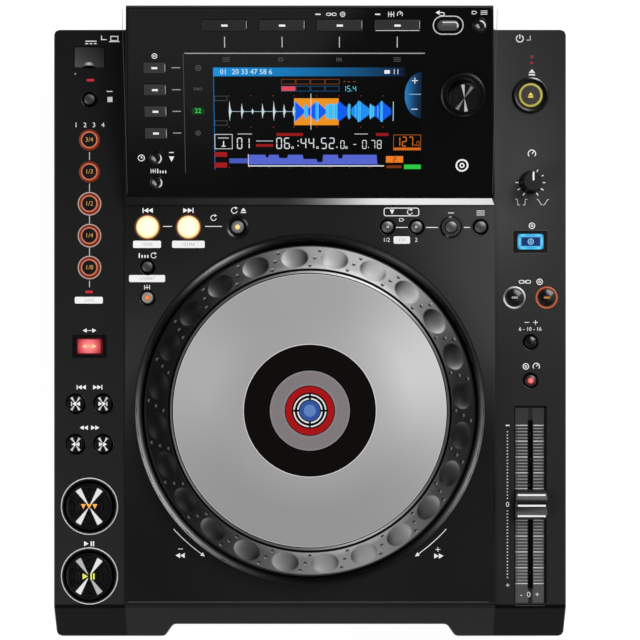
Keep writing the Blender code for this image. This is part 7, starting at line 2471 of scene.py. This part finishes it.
@dataclass
class Back(Assembly):
    """What shows from behind and below: sockets, screws, marks and smooth feet."""

    level: float = 0.0234
    phono_places: tuple[float, ...] = (-0.03, -0.015, 0.0)
    phono: float = 0.0043
    phono_reach: float = 0.006
    network: tuple[float, ...] = (0.062, 0.0241, 0.0166, 0.0154, 0.0116, 0.009, -0.0128, 0.0004)
    square: tuple[float, ...] = (0.102, 0.0228, 0.0124, 0.0128, 0.0084, 0.007, -0.0132, 0.0004)
    inlet: tuple[float, ...] = (-0.1, 0.0249, 0.0236, 0.0174, 0.016, 0.0078, -0.0156, 0.0004)
    screw_rows: tuple[float, float] = (0.0118, 0.0575)
    screw_columns: tuple[float, ...] = (-0.142, -0.08, 0.025, 0.08, 0.142)
    feet: tuple[Spot, ...] = ((-0.1255, -0.1591), (0.1255, -0.1591), (-0.1255, 0.1504), (0.1255, 0.1504))
    foot_radius: float = 0.01
    foot_height: float = 0.006

    def build(self) -> None:
        """Make the feet, sockets, screws and marks; the rear's x runs right as seen from behind."""
        side = np.array(((0.0, 0.0), (self.foot_radius - 0.0012, 0.0), (self.foot_radius, 0.0012),
                         (self.foot_radius + 0.0001, 0.0052), (self.foot_radius + 0.0001, self.foot_height),
                         (0.0, self.foot_height)))
        self.shop.piece("rubber_feet", gather([spin(side, 64).at(x, y) for x, y in self.feet]),
                        Rubber("foot_rubber"))
        black = Moulded("socket_black", (0.008, 0.008, 0.0085), 0.4, grain=0.0004)
        nickel = SheetSteel("socket_nickel", tone(196, 194, 188), 1.0, 0.28)
        plate_under = slab(oblong(0.045, 0.015, 0.001), -0.0001, 0.0006).at(-0.015, self.level)
        shells = [self._shell(self.square, nickel, "square_usb_shell"),
                  self._shell(self.inlet, black, "mains_inlet_shell"),
                  self._shell(self.network, nickel, "network_shell")]
        self._piece("phono_plate", plate_under, black)
        self._piece("socket_floors", gather(shells), black)
        self._piece("phono_sleeves", gather([self._sleeve(x) for x in self.phono_places]), nickel)
        self._piece("phono_rings", gather(self._rings()), INK)
        self._piece("contacts", gather(self._contacts()),
                    SheetSteel("contact_gold", tone(226, 184, 96), 1.0, 0.24))
        x, z = self.square[:2]
        tongue = slab(oblong(0.0058, 0.0036, 0.0003), -0.013, -0.0013).at(x, z)
        self._piece("square_usb_tongue", tongue,
                    Moulded("tongue_white", tone(206, 206, 200), 0.4, grain=0.0004))
        self._piece("rear_screws", gather(self._screws()),
                    SheetSteel("screw_black", (0.05, 0.05, 0.052), 0.6, 0.32))
        self._piece("rear_marks", gather(self._marks()), INK)

    def _piece(self, name: str, shape: Shape, finish: Finish) -> None:
        """Lay a shape on the rear face and hand it over."""
        self.shop.piece(name, shape.on(REAR).at(turn=math.pi), finish, sharp=30.0)

    def _shell(self, sizes: tuple[float, ...], finish: Finish, name: str) -> Shape:
        """A socket's shell: a chamfered frame whose throat runs inwards.

        Args:
            sizes: Place across and up, outer width and height, throat width and height, inner and outer end.
            finish: Finish of the shell.
            name: Name of the shell.

        Returns:
            The dark floor at the end of the throat.
        """
        x, z, width, height, throat, tall, low, high = sizes
        bevel = 0.0004
        profile = ((0.0, low, 0), (0.0, high - bevel, 0), (bevel, high, 0), (-bevel, high, 1),
                   (0.0, high - bevel, 1), (0.0, low, 1))
        rows = []
        for inset, level, inner in profile:
            sides = (throat, tall) if inner else (width, height)
            rows.append(np.column_stack((oblong(sides[0] - 2 * inset, sides[1] - 2 * inset, 0.0008),
                                         np.full(24, level))))
        shape = Shape(np.concatenate(rows), [weave(len(profile), 24, True, True)])
        self._piece(name, shape.at(x, z), finish)
        return slab(oblong(throat + 0.0004, tall + 0.0004, 0.0008), low, low + 0.0002).at(x, z)

    def _sleeve(self, x: float) -> Shape:
        """The metal sleeve of a phono socket, with a flange at its root.

        Args:
            x: Middle across.

        Returns:
            A turned solid.
        """
        outer, reach = self.phono, self.phono_reach
        loop = np.array(((0.0036, 0.0002), (outer + 0.0011, 0.0002), (outer + 0.0011, 0.0011),
                         (outer + 0.0008, 0.0014), (outer, 0.0014), (outer, reach - 0.0003),
                         (outer - 0.0003, reach), (0.0036, reach)))
        return spin(loop, 48, ring=True).at(x, self.level)

    def _rings(self) -> list[Shape]:
        """The coloured insulators inside the phono sleeves.

        Returns:
            Turned rings.
        """
        loop = np.array(((0.0013, -0.001), (0.0036, 0.004), (0.0036, self.phono_reach - 0.0002),
                         (0.0017, self.phono_reach - 0.0002), (0.0013, self.phono_reach - 0.0008)))
        colours = (tone(176, 20, 22), tone(220, 220, 216), tone(222, 112, 20))
        return [spin(loop, 32, ring=True).dyed(colour).at(x, self.level)
                for x, colour in zip(self.phono_places, colours)]

    def _contacts(self) -> list[Shape]:
        """Springs of the network socket, blades of the square one and pins of the inlet.

        Returns:
            Closed shapes.
        """
        x, z = self.network[:2]
        parts = [plate(-0.0002, 0.003, 0.0002, 0.0036, -0.012, -0.002).at(x + (index - 3.5) * 0.001, z)
                 for index in range(8)]
        x, z = self.square[:2]
        parts += [plate(-0.0005, side * 0.0018 - 0.0001, 0.0005, side * 0.0018 + 0.0001, -0.012, -0.0016).at(
            x + across * 0.0012, z) for side in (-1, 1) for across in (-1, 1)]
        x, z = self.inlet[:2]
        pin = spin(cap_profile(0.0013, -0.0028, root=0.0154), 24)
        return parts + [pin.at(x + side * 0.0043, z) for side in (-1, 1)]

    def _screws(self) -> list[Shape]:
        """Pan head screws with a cross cut in each.

        Returns:
            Heads and their crosses.
        """
        head = spin(np.array(((0.0, -0.0002), (0.0031, -0.0002), (0.0031, 0.0002), (0.0026, 0.0006),
                              (0.0012, 0.0008), (0.0, 0.0008))), 32)
        bars = [plate(-0.0018, -0.0003, 0.0018, 0.0003, 0.0004, 0.0009),
                plate(-0.0003, -0.0018, 0.0003, 0.0018, 0.0004, 0.0009)]
        return [part.at(x, z, turn=x * 20) for z in self.screw_rows for x in self.screw_columns
                for part in (head, *bars)]

    def _marks(self) -> list[Shape]:
        """Thin frames and plain numbers beside the sockets.

        Returns:
            Dyed shapes.
        """
        marks = [stroke(oblong(0.048, 0.018, 0.0015), 0.0003, True).at(-0.015, self.level),
                 numerals("0", 0.0042).at(-0.13, 0.035), numerals("1", 0.0042).at(-0.13, 0.014)]
        marks += [numerals(str(index + 1), 0.004).at(x, self.level + 0.0118)
                  for index, x in enumerate(self.phono_places)]
        for x, z, width, height in (self.network[:4], self.square[:4], self.inlet[:4]):
            marks.append(stroke(oblong(width + 0.004, height + 0.004, 0.0015), 0.0003, True).at(x, z))
        return [mark.dyed(SOFT_WHITE) for mark in marks]


@dataclass
class Frame(Assembly):
    """The CAD nodes that stay in view, each with a finish of its own."""

    def build(self) -> None:
        """Dress every node by what it is made of."""
        top = CoverPlastic("case_top_black")
        case = Moulded("display_case_black", (0.003, 0.003, 0.0034), 0.3, grain=0.0004, depth=0.000006,
                       coat=0.1)
        finishes = {
            "top_cover": top, "display_housing": case,
            "display_window": Gloss("display_glass", (0.0016, 0.0016, 0.0019), 0.03),
            "lower_case": SheetSteel("tray_black_steel", (0.014, 0.014, 0.015)),
            "display_board": Board("display_board_mask", tone(22, 58, 110)),
            "main_board": Board("main_board_mask", tone(20, 74, 44)),
            "power_board": Board("power_board_mask", tone(92, 70, 40)),
            "control_board": Board("control_board_mask", tone(20, 70, 42)),
            "drive_frame": SheetSteel("drive_zinc", tone(168, 170, 172), 0.9, 0.38),
            "disc_turntable": Moulded("turntable_black", (0.02, 0.02, 0.021), 0.45),
            "loading_roller": Rubber("roller_rubber"),
            "selector_shaft": SheetSteel("shaft_steel", tone(190, 190, 192), 1.0, 0.26),
            "power_switch": Moulded("switch_black", (0.012, 0.012, 0.013), 0.4),
        }
        plain = Moulded("button_black", (0.01, 0.01, 0.011), 0.3, grain=0.0003)
        for node in frame["nodes"]:
            self.shop.dress(node, finishes.get(node, plain))


@dataclass
class Studio:
    """The pale floor, the soft light of the room and the camera straight above."""

    camera: tuple[float, float, float] = (0.00596, 0.00445, 1.25)
    focal: float = 111.8
    floor_half: float = 6.0
    floor_white: float = 0.86
    paper_light: float = 1.34
    paper_share: float = 0.65
    horizon: float = 0.78
    overhead: float = 0.07
    right_panel: float = 0.5
    left_panel: float = 0.31
    aim_height: float = 0.05

    def build(self) -> None:
        """Set up the stage."""
        self._floor()
        self._world()
        self._lamp("key", (0.95, 1.05, 1.7), 1.1, 27.0)
        self._lamp("fill", (-1.35, -0.55, 1.3), 0.9, 11.0)
        self._camera()
        settings = bpy.context.scene.view_settings
        settings.view_transform = "Standard"

    def _floor(self) -> None:
        """A large sheet of pale paper that stays white in view and keeps the object's shadow."""
        half = self.floor_half
        mesh = bpy.data.meshes.new("floor")
        mesh.from_pydata(((-half, -half, 0.0), (half, -half, 0.0), (half, half, 0.0), (-half, half, 0.0)), (),
                         ((0, 1, 2, 3),))
        sheet = Sheet("floor_paper")
        paper = sheet.noise(sheet.place(), 0.004)
        white = self.floor_white
        diffuse = sheet.node("ShaderNodeBsdfDiffuse", values={
            "Color": sheet.mix(paper, (white, white, white), (white - 0.02, white - 0.02, white - 0.02))})
        light = sheet.node("ShaderNodeEmission",
                           values={"Color": (1.0, 1.0, 1.0, 1.0), "Strength": self.paper_light})
        path = sheet.node("ShaderNodeLightPath")
        seen = [Signal(sheet, path.outputs[f"Is {kind} Ray"])
                for kind in ("Camera", "Glossy", "Transmission")]
        factor = sheet.math("MINIMUM", seen[0] + seen[1] + seen[2], 1.0) * self.paper_share
        mixed = sheet.node("ShaderNodeMixShader",
                           values={0: factor, 1: diffuse.outputs[0], 2: light.outputs[0]})
        sheet.node("ShaderNodeOutputMaterial", values={"Surface": mixed.outputs[0]})
        mesh.materials.append(sheet.material)
        floor = bpy.data.objects.new("floor", mesh)
        bpy.context.scene.collection.objects.link(floor)

    def _world(self) -> None:
        """Room light by direction: pale at the horizon, dim overhead, with two soft panels."""
        world = bpy.data.worlds.new("room")
        bpy.context.scene.world = world
        world.use_nodes = True
        sheet = Sheet("room", world.node_tree)
        way = sheet.node("ShaderNodeTexCoord").outputs["Generated"]
        x, y, z = sheet.parts(way)
        up = sheet.math("MAXIMUM", z, 0.02)
        across, along = x / up, y / up
        level = z.eased(0.85, 0.1) * self.horizon + self.overhead
        right = across.eased(0.02, 0.3) * across.eased(1.3, 0.7) * abs(along).eased(0.42, 0.22)
        slant = (along * 0.687 - across + 0.343).eased(-0.004, 0.004)
        fade = along.eased(-0.585, -0.49) * 0.95 + 0.05
        left = slant * across.eased(-0.6, -0.3) * along.eased(-0.9, -0.8) * along.eased(-0.35, -0.45) * fade
        total = level + right * self.right_panel + left * self.left_panel
        shade = sheet.node("ShaderNodeBackground", values={"Color": (1.0, 1.0, 1.0, 1.0), "Strength": total})
        sheet.node("ShaderNodeOutputWorld", values={"Surface": shade.outputs[0]})

    def _lamp(self, name: str, place: tuple[float, float, float], size: float, power: float) -> None:
        """A soft square lamp that looks at the object.

        Args:
            name: The lamp's name.
            place: Where it hangs.
            size: Its side.
            power: Its power in watts.
        """
        data = bpy.data.lights.new(name, "AREA")
        data.size = size
        data.energy = power
        lamp = bpy.data.objects.new(name, data)
        bpy.context.scene.collection.objects.link(lamp)
        x, y, z = place
        flat = math.hypot(x, y)
        lamp.location = place
        lamp.rotation_euler = (math.atan2(flat, z - self.aim_height), 0.0, math.atan2(y, x) + math.pi / 2)

    def _camera(self) -> None:
        """The camera, straight above the player."""
        data = bpy.data.cameras.new("camera")
        data.lens = self.focal
        data.clip_end = 50.0
        camera = bpy.data.objects.new("camera", data)
        camera.location = self.camera
        bpy.context.scene.collection.objects.link(camera)
        bpy.context.scene.camera = camera


def main() -> None:
    """Build the player's looks in order."""
    logging.basicConfig(level=logging.INFO, format="%(name)s: %(message)s")
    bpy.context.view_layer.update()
    Studio().build()
    shop = Workshop()
    for kind in (Frame, JogSurround, JogWheel, LeftColumn, RightColumn, DeckControls, Display, Back):
        kind(shop).build()
    LOG.info("%d pieces made", shop.count)


if __name__ == "__main__":
    main()
